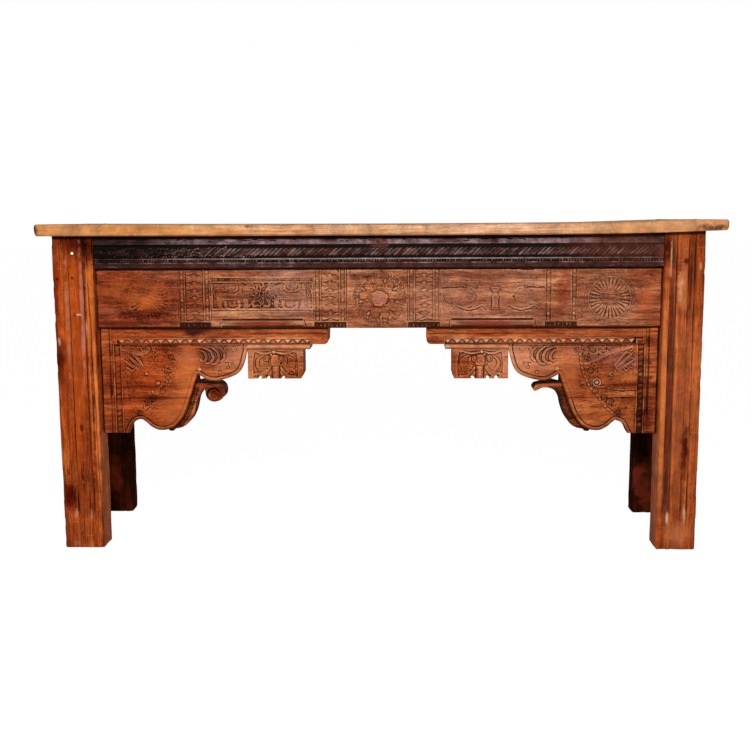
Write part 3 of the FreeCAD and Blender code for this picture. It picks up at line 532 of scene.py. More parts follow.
# plain mesh of the chips along some guide lines, each a list of (x, y, z) in mm
def chipRow(name, lines, shape, look, material):
    mesh = bpy.data.meshes.new(name + "_guide")
    points, edges = [], []
    for line in lines:
        first = len(points)
        points += [tuple(c * mm for c in p) for p in line]
        edges += [(k, k + 1) for k in range(first, len(points) - 1)]
    mesh.from_pydata(points, edges, [])
    values = {"Gap": look["gap"] * mm, "Size": [s * mm for s in look["size"]],
              "Turn": math.radians(look.get("turn", 0.0)), "Jitter": look.get("jitter", 0.12),
              "Seed": look.get("seed", 1), "Hollowness": look.get("hollowness", -0.25),
              "PaintedLightAndDust": look.get("haze", 0.0), "Uneven": look.get("uneven", 0.0),
              "Bend": look.get("bend", 0.0), "Finish": material}
    return grown(name, mesh, chipTrees[shape], values)


# plain object from what a node tree makes of a guide mesh
def grown(name, mesh, tree, values):
    guide = bpy.data.objects.new(name + "_guide", mesh)
    bpy.context.scene.collection.objects.link(guide)
    modifier = guide.modifiers.new("made", "NODES")
    modifier.node_group = tree
    for item in tree.interface.items_tree:
        if item.in_out == "INPUT" and item.name in values:
            modifier[item.identifier] = values[item.name]
    bpy.context.view_layer.update()
    evaluated = guide.evaluated_get(bpy.context.evaluated_depsgraph_get())
    plain = bpy.data.meshes.new_from_object(evaluated)
    plain.name = name
    bpy.data.objects.remove(guide)
    piece = bpy.data.objects.new(name, plain)
    bpy.context.scene.collection.objects.link(piece)
    return piece


def flatLine(points, y):
    return [(x, y, z) for x, z in points]


def arcPoints(x, z, radius, start, end, count=40):
    turn = np.radians(np.linspace(start, end, count))
    return [(x + radius * math.cos(t), z + radius * math.sin(t)) for t in turn]


# Finishes

# sRGB numbers from 0 to 255 as the linear colour that a socket takes
def tone(red, green, blue):
    return tuple(((c / 255 + 0.055) / 1.055) ** 2.4 if c > 10 else c / 255 / 12.92
                 for c in (red, green, blue)) + (1.0,)


def mixTone(tree, factor, under, over, mode="MIX"):
    sockets = {0: factor, 6: under, 7: over}
    return addNode(tree, "Mix", sockets, data_type="RGBA", blend_type=mode).outputs[2]


# value between low and high becomes toLow to toHigh
def fade(tree, value, low, high, toLow=0.0, toHigh=1.0):
    sockets = {"Value": value, "From Min": low, "From Max": high, "To Min": toLow, "To Max": toHigh}
    return addNode(tree, "MapRange", sockets).outputs["Result"]


def speckle(tree, vector, scale, detail=2.0, roughness=0.5, distortion=0.0):
    sockets = {"Vector": vector, "Scale": scale, "Detail": detail,
               "Roughness": roughness, "Distortion": distortion}
    return addNode(tree, "TexNoise", sockets).outputs["Fac"]


def rampTone(tree, factor, stops):
    ramp = addNode(tree, "ValToRGB", {"Fac": factor})
    elements = ramp.color_ramp.elements
    while len(elements) < len(stops):
        elements.new(0.5)
    for element, (place, colour) in zip(elements, stops):
        element.position = place
        element.color = colour
    return ramp.outputs["Color"]


# soft mask round a place on the piece, eaten into by noise
def spotMask(tree, coords, breakup, patch):
    vector = partial(outputsOf, tree, "VectorMath")
    away = vector({0: coords, 1: [c * mm for c in patch["at"]]}, operation="SUBTRACT")[0]
    away = vector({0: away, 1: [r * mm for r in patch["reach"]]}, operation="DIVIDE")[0]
    far = vector({0: away}, operation="LENGTH")["Value"]
    eaten = sums(tree, "MULTIPLY", sums(tree, "SUBTRACT", breakup, 0.5), patch.get("ragged", 1.2))
    return fade(tree, sums(tree, "ADD", far, eaten), 1.0, patch.get("core", 0.45), 0.0, patch["strength"])


# colour with the stains, painted light and painted shade of a list laid over it
def withSpots(tree, colour, coords, blotch, smear, patches):
    for patch in patches:
        mask = spotMask(tree, coords, blotch if patch.get("broad") else smear, patch)
        colour = mixTone(tree, mask, colour, patch["colour"], patch["mode"])
    return colour


# stain, rubbed place, painted light or painted shade on a wood: middle and reach in mm, colour, how strong
def spot(at, reach, colour, strength, mode="MIX", **more):
    return {"at": at, "reach": reach, "colour": tone(*colour), "strength": strength, "mode": mode, **more}


# the same, but it darkens what is there and keeps its grain
def shade(at, reach, colour, strength, **more):
    return spot(at, reach, colour, strength, "MULTIPLY", **more)


# a wood's look where its own dictionary says nothing else
commonWood = {
    "across": 10.0, "waver": 0.02, "streakScale": 5.0, "fibreScale": 26.0, "hairScale": 95.0,
    "blotchScale": 7.0,
    "smearScale": 34.0, "ringScale": 1.9, "dashScale": 40.0, "pitScale": 170.0, "scratchScale": 24.0,
    "mottleScale": 22.0, "waverScale": 5.0, "tintShare": 0.5, "ringShare": 0.28,
    "fibreShare": 0.55, "poreShare": 0.5, "dashShare": 0.6, "pitShare": 0.5, "scratchShare": 0.3,
    "paintedLightShare": 0.7, "grimeAndShadeFrom": 0.1, "grimeAndShadeTo": 0.62, "grimeAndShadeShare": 0.85, "wearAndHighlightShare": 0.6, "mottle": 0.3,
    "level": 1.0, "roughLow": 0.42, "roughHigh": 0.62, "bump": 0.55, "gloss": 0.03, "washes": (),
    "patches": (),
}


# old waxed timber: streaks, fibres, pores, dirt and painted shade in the hollows, pale worn high spots with
# a painted highlight, and painted sheen with dust where the piece's layer asks for it (painted shade in the
# legs' flutes)
def woodFinish(name, ownLook):
    look = {**commonWood, **ownLook}
    material = bpy.data.materials.new(name)
    material.use_nodes = True
    tree = material.node_tree
    tree.nodes.clear()
    add, maths, noise = partial(outputsOf, tree), partial(sums, tree), partial(speckle, tree)
    mix, ease = partial(mixTone, tree), partial(fade, tree)
    coords = add("TexCoord")["Object"]
    waver = add("TexNoise", {"Vector": coords, "Scale": look["waverScale"], "Detail": 1.0})["Color"]
    waver = add("VectorMath", {0: waver, 1: (0.5, 0.5, 0.5)}, operation="SUBTRACT")[0]
    waver = add("VectorMath", {0: waver, "Scale": look["waver"]}, operation="SCALE")[0]
    bent = add("VectorMath", {0: coords, 1: waver}, operation="ADD")[0]
    across, alongX = look["across"], look["grain"] == "X"
    stretch = (1.0, across, across) if alongX else (across, across, 1.0)
    grain = add("Mapping", {"Vector": bent, "Scale": stretch})[0]
    streaks = noise(grain, look["streakScale"], 3.0, 0.6, 0.4)
    fibre = noise(grain, look["fibreScale"], 3.0, 0.62)
    hair = noise(grain, look["hairScale"], 2.0, 0.6)
    blotch = noise(coords, look["blotchScale"], 3.0, 0.55, 0.3)
    smear = noise(coords, look["smearScale"], 3.0, 0.6)

    colour = rampTone(tree, streaks, look["ramp"])
    colour = mix(ease(blotch, 0.38, 0.66, 0.0, look["tintShare"]), colour, look["tint"])
    rings = {"Vector": grain, "Scale": look["ringScale"], "Distortion": 7.0, "Detail": 3.0,
             "Detail Scale": 1.2, "Detail Roughness": 0.6}
    rings = add("TexWave", rings, wave_type="BANDS", bands_direction="Y" if alongX else "X",
                wave_profile="SAW")["Fac"]
    colour = mix(ease(rings, 0.25, 1.0, 0.0, look["ringShare"]), colour, look["line"], "MULTIPLY")
    colour = mix(ease(fibre, 0.48, 0.62, 0.0, look["fibreShare"]), colour, look["line"], "MULTIPLY")
    pores = ease(hair, 0.55, 0.63, 0.0, look["poreShare"])
    dashes = ease(noise(grain, look["dashScale"], 1.0, 0.4), 0.62, 0.68, 0.0, look["dashShare"])
    pits = ease(noise(coords, look["pitScale"], 1.0), 0.66, 0.72, 0.0, look["pitShare"])
    for mask in (pores, dashes, pits):
        colour = mix(mask, colour, look["pore"])
    slanted = add("Mapping", {"Vector": coords, "Rotation": (0.3, 0.55, 0.2),
                              "Scale": (1.0, 20.0, 20.0)})[0]
    scratches = ease(noise(slanted, look["scratchScale"], 1.0), 0.67, 0.71, 0.0, look["scratchShare"])
    colour = mix(scratches, colour, look["wearAndHighlight"])
    # painted sheen from the piece's layer, with some dust; on the legs its colour is dark and it paints
    # shade in the flutes
    haze = maths("MULTIPLY", add("Attribute", attribute_name="haze")["Fac"],
                 ease(smear, 0.36, 0.58, 0.35, 1.0))
    colour = mix(maths("MULTIPLY", haze, look["paintedLightShare"], True), colour, look["haze"])
    colour = withSpots(tree, colour, coords, blotch, smear, look["washes"])

    # dirt in the hollows together with painted shade: crevices, grooves and gaps between parts darken by
    # the hollowness
    carve = add("Attribute", attribute_name="carve")["Fac"]
    grimeAndShade = maths("ADD", carve, maths("MULTIPLY", maths("SUBTRACT", smear, 0.5), 0.5))
    grimeAndShade = ease(grimeAndShade, look["grimeAndShadeFrom"], look["grimeAndShadeTo"], 0.0, look["grimeAndShadeShare"])
    # raised places lightened: wear together with a painted highlight on crests and edges
    wornHighlight = ease(maths("MULTIPLY", carve, -1.0), 0.05, 0.5, 0.0, look["wearAndHighlightShare"])
    colour = mix(maths("MULTIPLY", wornHighlight, ease(smear, 0.3, 0.62)), colour, look["wearAndHighlight"])
    colour = mix(grimeAndShade, colour, look["grimeAndShade"])
    colour = withSpots(tree, colour, coords, blotch, smear, look["patches"])
    level, uneven = look["level"], look["mottle"]
    mottle = noise(coords, look["mottleScale"], 5.0, 0.7, 0.4)
    value = ease(mottle, 0.32, 0.68, level * (1 - uneven), level * (1 + uneven))
    colour = add("HueSaturation", {"Color": colour, "Value": value})[0]

    rough = ease(fibre, 0.3, 0.7, look["roughLow"], look["roughHigh"])
    rough = maths("ADD", rough, maths("MULTIPLY", grimeAndShade, 0.25), True)
    height = maths("MULTIPLY", fibre, -0.6)
    for source, share in ((hair, -0.35), (pores, -0.5), (smear, 0.5)):
        height = maths("ADD", height, maths("MULTIPLY", source, share))
    bump = add("Bump", {"Height": height, "Strength": look["bump"], "Distance": 0.0009})["Normal"]
    shader = add("BsdfPrincipled", {"Base Color": colour, "Roughness": rough, "Normal": bump,
                                    "Specular IOR Level": look["gloss"]})["BSDF"]
    addNode(tree, "OutputMaterial", {"Surface": shader})
    return material


# iron or steel of a small fastener, with rust freckles
def metalFinish(name, look):
    material = bpy.data.materials.new(name)
    material.use_nodes = True
    tree = material.node_tree
    shader = tree.nodes["Principled BSDF"]
    coords = addNode(tree, "TexCoord").outputs["Object"]
    freckle = speckle(tree, coords, look["freckle"], 4.0, 0.65)
    colour = rampTone(tree, freckle, look["ramp"])
    tree.links.new(colour, shader.inputs["Base Color"])
    tree.links.new(fade(tree, freckle, 0.3, 0.7, look["roughLow"], look["roughHigh"]),
                   shader.inputs["Roughness"])
    bump = addNode(tree, "Bump", {"Height": freckle, "Strength": 0.4, "Distance": 0.0004})
    tree.links.new(bump.outputs["Normal"], shader.inputs["Normal"])
    shader.inputs["Metallic"].default_value = look["metal"]
    shader.inputs["Specular IOR Level"].default_value = look.get("gloss", 0.5)
    return material


topLook = {
    "grain": "X", "across": 30.0, "streakScale": 1.4, "fibreScale": 7.0, "hairScale": 24.0, "waver": 0.005,
    "ramp": ((0.36, tone(196, 134, 84)), (0.5, tone(212, 160, 116)), (0.64, tone(228, 186, 146))),
    "tint": tone(226, 188, 162), "tintShare": 0.5, "blotchScale": 3.0, "gloss": 0.05, "dashShare": 0.0,
    "line": tone(196, 140, 96), "pore": tone(140, 84, 44), "haze": tone(206, 168, 150),
    "fibreShare": 0.6, "poreShare": 0.4, "ringShare": 0.35, "pitShare": 0.35, "scratchShare": 0.3,
    "grimeAndShadeFrom": 0.3, "grimeAndShadeTo": 0.9, "mottle": 0.36, "mottleScale": 26.0, "level": 0.87,
    "grimeAndShade": tone(90, 50, 26), "wearAndHighlight": tone(232, 192, 150), "bump": 0.4,
    "patches": (
        spot((-700, -240, 840), (560, 500, 90), (190, 116, 58), 0.62, broad=True),
        shade((-700, -240, 840), (560, 500, 90), (255, 250, 214), 0.9),
        shade((-881, -215, 845), (9, 300, 60), (150, 84, 50), 0.95, ragged=0.6),
        shade((881, -215, 850), (9, 300, 60), (150, 80, 50), 0.95, ragged=0.6),
        spot((720, -240, 850), (330, 500, 90), (194, 130, 78), 0.65, broad=True),
        shade((836, -240, 842), (36, 200, 13), (120, 84, 76), 0.9, ragged=2.4),
        shade((-879, -240, 842), (12, 200, 30), (130, 84, 60), 0.9),
        shade((-332, -240, 852), (9, 60, 4), (150, 100, 76), 0.8, ragged=2.0),
        # painted shade along the lower edge of the top's front
        shade((0, -240, 829), (2000, 30, 4), (170, 120, 84), 0.7, ragged=0.5),
        shade((300, 60, 858), (120, 80, 30), (170, 120, 90), 0.5),
    ),
}
legLook = {
    "grain": "Z", "across": 14.0, "streakScale": 2.3, "fibreScale": 13.0, "hairScale": 52.0,
    "dashScale": 20.0,
    "ramp": ((0.36, tone(122, 44, 13)), (0.5, tone(166, 69, 22)), (0.64, tone(208, 108, 45))),
    "tint": tone(164, 80, 42), "tintShare": 0.3, "blotchScale": 5.0, "gloss": 0.012,
    "line": tone(128, 68, 36), "pore": tone(50, 18, 7), "haze": tone(96, 46, 34), "ringShare": 0.4,
    "fibreShare": 0.5, "poreShare": 0.45, "dashShare": 0.45, "mottle": 0.28, "ringScale": 3.0,
    "washes": (
        # painted light on the inner side faces of both front posts
        spot((-737, -168, 200), (7, 60, 420), (190, 104, 58), 0.5),
        spot((727, -168, 200), (6, 60, 420), (176, 96, 54), 0.4),
    ),
    "grimeAndShade": tone(30, 10, 5), "wearAndHighlight": tone(214, 138, 76), "bump": 0.6, "scratchShare": 0.28,
    "patches": (
        spot((-758, -210, 660), (22, 60, 160), (206, 112, 50), 0.55, broad=True, ragged=0.6),
        shade((-845, -210, 680), (20, 90, 230), (206, 140, 130), 0.9, ragged=0.8),
        spot((-806, -210, 560), (44, 60, 330), (182, 76, 16), 0.5, broad=True),
        shade((-842, -210, 530), (26, 90, 60), (150, 90, 84), 0.75),
        shade((-792, -210, 830), (100, 60, 66), (120, 80, 84), 0.9, broad=True),
        # purple-grey painted shade beside the inner quirk of the left post
        shade((-767, -210, 690), (7, 40, 120), (190, 150, 160), 0.9, ragged=2.0),
        spot((-806, -210, 560), (5, 40, 250), (190, 120, 84), 0.25, ragged=2.4),
        spot((-826, -210, 470), (22, 60, 110), (122, 48, 22), 0.5, ragged=1.6),
        spot((-790, -210, 500), (13, 60, 150), (130, 52, 24), 0.45, ragged=1.6),
        spot((-792, -210, 785), (9, 30, 9), (54, 20, 10), 0.85, ragged=0.6),
        spot((-764, -210, 592), (3, 30, 26), (222, 176, 140), 0.7, ragged=2.2),
        spot((-780, -210, 626), (12, 30, 3), (222, 180, 150), 0.6, ragged=2.4),
        spot((-836, -210, 556), (5, 30, 12), (214, 160, 130), 0.55, ragged=2.4),
        shade((-826, -210, 140), (24, 70, 50), (150, 84, 76), 0.9, ragged=0.5),
        spot((-811, -210, 12), (10, 20, 7), (110, 96, 92), 0.55, ragged=2.0),
        spot((-787, -210, 326), (7, 20, 13), (52, 20, 9), 0.85),
        spot((-789, -210, 192), (6, 20, 12), (60, 24, 12), 0.8),
        # painted light on the inner edge strip of the left post
        spot((-745, -210, 330), (8, 60, 330), (214, 116, 56), 0.75, ragged=1.0),
        spot((-760, -210, 420), (5, 40, 260), (204, 112, 56), 0.5, ragged=1.8),
        shade((-838, -210, 492), (22, 80, 46), (160, 110, 96), 0.85, ragged=1.4),
        spot((-812, -210, 610), (6, 30, 200), (176, 110, 80), 0.6, ragged=2.6),
        # painted shade in the outer quirk of the left post
        shade((-804.5, -210, 470), (2.6, 30, 350), (120, 84, 76), 0.85, ragged=1.0),
        spot((-773, -210, 640), (6, 30, 170), (170, 112, 96), 0.6, ragged=2.6),
        # painted shade in the inner quirk of the left post
        shade((-765.5, -210, 500), (2.4, 30, 330), (116, 80, 72), 0.85, ragged=1.0),
        spot((-834, -210, 719), (4, 20, 5), (40, 14, 8), 0.9),
        spot((-795, -210, 722), (4, 20, 5), (44, 16, 8), 0.9),
        spot((-763, -210, 696), (4, 20, 8), (40, 14, 8), 0.9),
        spot((-811, -210, 94), (5, 20, 16), (196, 140, 106), 0.6, ragged=1.8),
        spot((-771, -210, 96), (4, 20, 18), (190, 136, 104), 0.6, ragged=1.8),
        shade((-752, -190, 790), (20, 80, 52), (120, 84, 84), 0.85),
        spot((780, -210, 420), (70, 60, 460), (196, 112, 66), 0.3, broad=True),
        spot((778, -210, 690), (13, 50, 120), (210, 128, 76), 0.45, broad=True, ragged=2.0),
        shade((740, -200, 786), (20, 80, 46), (110, 76, 78), 0.9),
        shade((784, -210, 757), (8, 30, 12), (130, 84, 70), 0.9, ragged=2.0),
        # painted light on the inner edge strip of the right post
        spot((734, -210, 400), (11, 60, 400), (208, 118, 60), 0.65, ragged=0.9),
        # purple painted shade and dust in the first flute of the right post
        shade((751, -210, 400), (10, 60, 345), (184, 166, 186), 1.0, ragged=0.7, core=0.75),
        spot((745, -210, 770), (4, 40, 60), (220, 164, 124), 0.6, ragged=1.6),
        spot((770, -210, 690), (9, 40, 50), (226, 160, 108), 0.5, ragged=2.4),
        # painted shade on the upper part of the second flute of the right post
        shade((796, -210, 700), (6, 40, 90), (170, 130, 140), 0.85, ragged=1.4),
        shade((797, -210, 262), (15, 30, 88), (150, 104, 104), 0.9, ragged=1.6),
        shade((799, -210, 280), (6, 30, 44), (110, 70, 66), 0.7, ragged=2.4),
        spot((820, -210, 748), (3, 30, 14), (216, 160, 120), 0.5, ragged=1.8),
        spot((756, -210, 84), (5, 30, 22), (206, 172, 148), 0.8, ragged=1.2),
        spot((800, -210, 92), (4.5, 30, 32), (200, 156, 124), 0.7, ragged=1.2),
        spot((790, -210, 40), (44, 40, 44), (176, 106, 66), 0.5, broad=True),
    ),
}
plainLook = {
    "grain": "X", "across": 9.0, "streakScale": 4.0,
    "ramp": ((0.3, tone(84, 40, 20)), (0.5, tone(122, 64, 32)), (0.72, tone(150, 86, 46))),
    "tint": tone(120, 70, 46), "line": tone(120, 72, 44), "pore": tone(40, 18, 10),
    "haze": tone(120, 92, 80),
    "grimeAndShade": tone(46, 24, 14), "wearAndHighlight": tone(160, 104, 62), "roughLow": 0.55, "roughHigh": 0.75,
}
darkLook = {
    "grain": "X", "across": 12.0, "streakScale": 4.0, "fibreScale": 24.0,
    "ramp": ((0.36, tone(30, 14, 11)), (0.5, tone(66, 40, 35)), (0.64, tone(112, 82, 78))),
    "tint": tone(92, 40, 24), "tintShare": 0.6, "blotchScale": 9.0, "mottle": 0.6, "mottleScale": 50.0,
    "line": tone(90, 60, 54), "pore": tone(18, 8, 6), "haze": tone(142, 118, 120), "fibreShare": 0.6,
    "poreShare": 0.6, "grimeAndShade": tone(9, 5, 4), "wearAndHighlight": tone(150, 120, 112), "grimeAndShadeShare": 0.97, "bump": 0.65,
    "roughLow": 0.36, "roughHigh": 0.6, "gloss": 0.06, "wearAndHighlightShare": 0.75, "scratchShare": 0.45,
    "patches": (
        spot((0, -205, 749), (2000, 90, 15), (50, 20, 13), 0.72, ragged=3.4),
        # painted highlight along the fillet
        spot((60, -205, 768.6), (640, 60, 2.4), (150, 138, 130), 0.7, ragged=1.4),
        spot((722, -205, 782), (18, 60, 24), (98, 48, 32), 0.8, ragged=1.0),
        spot((620, -205, 800), (190, 90, 60), (92, 46, 32), 0.5, broad=True),
        spot((-5, -205, 806), (30, 90, 18), (112, 64, 54), 0.45, ragged=2.4),
        shade((-690, -205, 795), (200, 90, 60), (120, 84, 80), 0.9, broad=True),
    ),
}
friezeLook = {
    "grain": "X", "across": 12.0, "streakScale": 3.2, "fibreScale": 17.0, "hairScale": 70.0,
    "dashScale": 26.0,
    "ramp": ((0.36, tone(118, 54, 26)), (0.5, tone(156, 88, 54)), (0.64, tone(188, 126, 88))),
    "tint": tone(164, 110, 82), "tintShare": 0.4, "blotchScale": 5.5, "mottle": 0.26, "level": 1.06,
    "line": tone(126, 72, 46), "pore": tone(60, 26, 13), "haze": tone(162, 120, 106), "fibreShare": 0.55,
    "poreShare": 0.5, "dashShare": 0.45, "grimeAndShade": tone(42, 15, 6), "wearAndHighlight": tone(212, 158, 122), "bump": 0.6,
    "wearAndHighlightShare": 0.7, "grimeAndShadeShare": 0.92,
    "patches": (
        shade((-700, -192, 665), (300, 90, 150), (214, 158, 128), 0.95, broad=True, ragged=0.7),
        shade((715, -192, 660), (100, 90, 150), (244, 208, 188), 0.7, broad=True),
        spot((-300, -192, 600), (110, 40, 9), (112, 38, 14), 0.85, ragged=0.4),
        spot((293, -192, 600), (110, 40, 9), (126, 46, 22), 0.8, ragged=0.4),
        spot((-610, -192, 662), (46, 30, 34), (206, 106, 48), 0.4, ragged=1.6, core=0.2),
        spot((130, -192, 668), (60, 30, 76), (214, 150, 112), 0.12, broad=True),
        spot((-640, -192, 680), (100, 40, 50), (184, 92, 38), 0.28, ragged=3.0, core=0.1),
        spot((-700, -192, 690), (50, 40, 24), (176, 88, 38), 0.3, ragged=3.0),
        shade((-640, -192, 624), (86, 40, 14), (170, 140, 150), 0.9, ragged=3.4),
        spot((690, -192, 668), (26, 40, 60), (176, 84, 40), 0.35, ragged=2.4),
        shade((0.7, -192, 665), (60, 30, 58), (246, 206, 166), 0.5, ragged=1.6),
        spot((-3, -192, 668), (22, 30, 20), (170, 112, 96), 0.3, ragged=1.6),
        shade((-56, -192, 726), (60, 30, 14), (150, 130, 140), 0.9, ragged=2.6),
        shade((476, -192, 675), (24, 30, 76), (216, 170, 150), 0.85, ragged=1.4),
        spot((-470, -192, 596), (52, 40, 12), (40, 14, 8), 0.7),
    ),
}
bracketLook = {
    "grain": "X", "across": 11.0, "streakScale": 3.0, "fibreScale": 17.0, "hairScale": 70.0,
    "dashScale": 26.0,
    "ramp": ((0.36, tone(122, 46, 16)), (0.5, tone(164, 76, 34)), (0.64, tone(200, 112, 58))),
    "tint": tone(168, 90, 52), "tintShare": 0.35, "blotchScale": 6.5, "mottle": 0.28, "level": 1.03,
    "line": tone(126, 66, 36), "pore": tone(56, 22, 9), "haze": tone(206, 158, 134), "fibreShare": 0.5,
    "poreShare": 0.45, "dashShare": 0.45, "grimeAndShade": tone(38, 13, 5), "wearAndHighlight": tone(218, 154, 104), "bump": 0.6,
    "wearAndHighlightShare": 0.7, "grimeAndShadeShare": 0.92, "paintedLightShare": 0.8,
    "washes": (
        spot((-330, -182, 492), (90, 30, 60), (204, 132, 86), 0.3, broad=True),
        spot((330, -182, 492), (90, 30, 60), (210, 142, 102), 0.4, broad=True),
        spot((420, -182, 510), (80, 30, 60), (206, 136, 94), 0.35, broad=True),
        spot((640, -182, 500), (70, 30, 22), (150, 98, 92), 0.3, ragged=1.8),
        spot((560, -182, 526), (90, 30, 16), (176, 118, 100), 0.4, ragged=1.8),
    ),
    "patches": (
        shade((-660, -182, 450), (130, 160, 260), (250, 214, 176), 0.9, broad=True),
        spot((-508, -182, 470), (36, 30, 90), (198, 102, 46), 0.5, broad=True),
        spot((-545, -182, 370), (60, 30, 50), (172, 86, 38), 0.5, broad=True),
        spot((497, -182, 470), (34, 30, 90), (186, 98, 52), 0.45, broad=True),
        spot((-480, -186, 582), (44, 60, 17), (44, 15, 8), 0.9, ragged=1.8),
        spot((-600, -182, 402), (60, 60, 7), (52, 18, 8), 0.6),
        shade((693, -182, 345), (30, 60, 45), (150, 96, 84), 0.85),
        spot((700, -182, 455), (18, 60, 9), (70, 28, 16), 0.7),
        # painted shadow of the lobes on the tops of both arms
        shade((-440, -160, 442), (62, 90, 10), (90, 48, 38), 0.85, ragged=0.5),
        shade((430, -160, 442), (62, 90, 9), (90, 48, 38), 0.85, ragged=0.5),
        # painted shade on the scroll
        shade((-440, -140, 414), (54, 60, 44), (170, 136, 128), 0.95, ragged=1.4),
        shade((-488, -125, 380), (40, 32, 62), (176, 116, 96), 0.8, ragged=0.8),
        shade((478, -125, 370), (44, 32, 80), (120, 70, 56), 0.85, ragged=0.8),
    ),
}
topWood = woodFinish("topWood", topLook)
legWood = woodFinish("legWood", legLook)
# darker copy of the legs' finish: painted shade, the rear legs standing in the shadow of the frame
rearShadedWood = woodFinish("rearShadedWood", dict(legLook, **{
    "ramp": ((0.36, tone(34, 12, 5)), (0.5, tone(62, 25, 10)), (0.64, tone(92, 42, 20))),
    "tint": tone(44, 14, 6), "wearAndHighlight": tone(96, 48, 24), "gloss": 0.0, "patches": (
        # lighter reddish patches near the feet, where the painted shade eases
        spot((-806, 153, 108), (26, 60, 62), (120, 42, 26), 0.5, ragged=3.0),
        spot((-764, 153, 30), (22, 60, 50), (96, 34, 20), 0.4, ragged=3.0),
        spot((768, 153, 80), (30, 60, 84), (120, 44, 28), 0.5, ragged=3.0),
        # painted shadow of the frame over the upper part of both rear legs
        shade((-799, 153, 420), (90, 50, 210), (70, 50, 50), 0.95, ragged=0.6),
        shade((786, 153, 420), (90, 50, 210), (70, 50, 50), 0.95, ragged=0.6),
    )}))
plainWood = woodFinish("plainWood", plainLook)
darkWood = woodFinish("darkWood", darkLook)
friezeWood = woodFinish("friezeWood", friezeLook)
bracketWood = woodFinish("bracketWood", bracketLook)
pegWood = woodFinish("pegWood", dict(plainLook, grain="Z", bump=0.4, patches=(
    spot((-792, -210, 785), (7, 9, 7), (222, 200, 184), 1.0, ragged=0.4),
)))
nailIron = metalFinish("nailIron", {
    "ramp": ((0.3, tone(40, 24, 18)), (0.55, tone(76, 46, 34)), (0.8, tone(120, 62, 34))),
    "freckle": 900.0, "roughLow": 0.6, "roughHigh": 0.9, "metal": 0.0, "gloss": 0.08})
screwSteel = metalFinish("screwSteel", {
    "ramp": ((0.3, tone(110, 106, 100)), (0.55, tone(150, 146, 140)), (0.8, tone(120, 96, 78))),
    "freckle": 700.0, "roughLow": 0.3, "roughHigh": 0.55, "metal": 1.0})


# Top: three planks, warped up at the right end

topShape = {
    "length": 1758.0, "frameHeight": 827.6, "warp": 9.1, "thickness": 30.0,
    "stationShares": (0.0, 0.21, 0.522, 0.728, 0.831, 0.899, 0.966, 1.0),
    "warpShares": (0.2, 0.055, 0.0, 0.0, 0.12, 0.385, 0.81, 1.0),
    "thicknessShares": (1.027, 0.99, 0.957, 0.97, 0.98, 1.01, 0.993, 0.91),
    "endBulge": 3.0, "arris": 3.0, "stations": 330, "wear": 0.35,
}


def topUnder(x):
    share = np.asarray(x, float) / topShape["length"] + 0.5
    warp = np.interp(share, topShape["stationShares"], topShape["warpShares"])
    return topShape["frameHeight"] + topShape["warp"] * warp


def topOver(x):
    share = np.asarray(x, float) / topShape["length"] + 0.5
    thick = np.interp(share, topShape["stationShares"], topShape["thicknessShares"])
    return topUnder(x) + topShape["thickness"] * thick


# section of a plank in YZ: fine steps on the front edge, rounded corners
def plankRing(low, high, under, over, arris):
    def corner(y, z, start):
        turn = np.radians(np.linspace(start, start + 90, 5))
        return [(y + arris * math.cos(t), z + arris * math.sin(t)) for t in turn]
    ring = corner(high - arris, under + arris, 270) + corner(high - arris, over - arris, 0)
    ring += [(y, over) for y in np.linspace(high - arris, low + arris, 22)[1:-1]]
    ring += corner(low + arris, over - arris, 90)
    ring += [(low, z) for z in np.linspace(over - arris, under + arris, 16)[1:-1]]
    ring += corner(low + arris, under + arris, 180)
    ring += [(y, under) for y in np.linspace(low + arris, high - arris, 10)[1:-1]]
    return np.array(ring)


def topBoard(name, seed):
    low, high = nodeBox(name)
    half = topShape["length"] / 2
    # stations crowd together at both ends, where the corners are rounded
    easeIn = (0, 0.4, 1.2, 2.6, 4.5)
    inner = np.linspace(-half + 8, half - 8, topShape["stations"])
    stations = np.concatenate([[-half + e for e in easeIn], inner, [half - e for e in easeIn[::-1]]])
    rings, carve = [], []
    for x in stations:
        end = half - abs(x)
        pinch = 2.6 * max(0.0, 1 - end / 4.5) ** 2
        ring = plankRing(low[1] + 0.3 + pinch, high[1] - 0.3 - pinch,
                         topUnder(x) + pinch, topOver(x) - 0.4 - pinch, topShape["arris"])
        y, z = ring[:, 0], ring[:, 1]
        middle = (y.mean(), z.mean())
        dent = (cloud(x, y + z * 1.7, 22, seed) - 1) * topShape["wear"]
        dent += (cloud(x / 6, y * 1.5 + z, 4, seed + 3) - 1) * 0.2
        reach = np.hypot(y - middle[0], z - middle[1])
        y = y - (y - middle[0]) / reach * dent * -0.8
        z = z - (z - middle[1]) / reach * dent * -0.8
        bulge = topShape["endBulge"] * (unit(abs(z - middle[1]) / 15) ** 2)
        pushed = x + (bulge if x < 0 else -bulge) * max(0.0, 1 - end / 12)
        rings.append(np.column_stack([np.broadcast_to(pushed, y.shape), y, z]))
        carve.append(np.clip(-dent * 0.7 - 0.45, -0.5, 1))
    return sweptBar(name + "_wood", rings, np.concatenate(carve))


for boardName, boardSeed in (("top_board_front", 1), ("top_board_middle", 2), ("top_board_rear", 3)):
    settle(topBoard(boardName, boardSeed), topWood, "top_wood", boardName)
print("top boards made")


# Legs

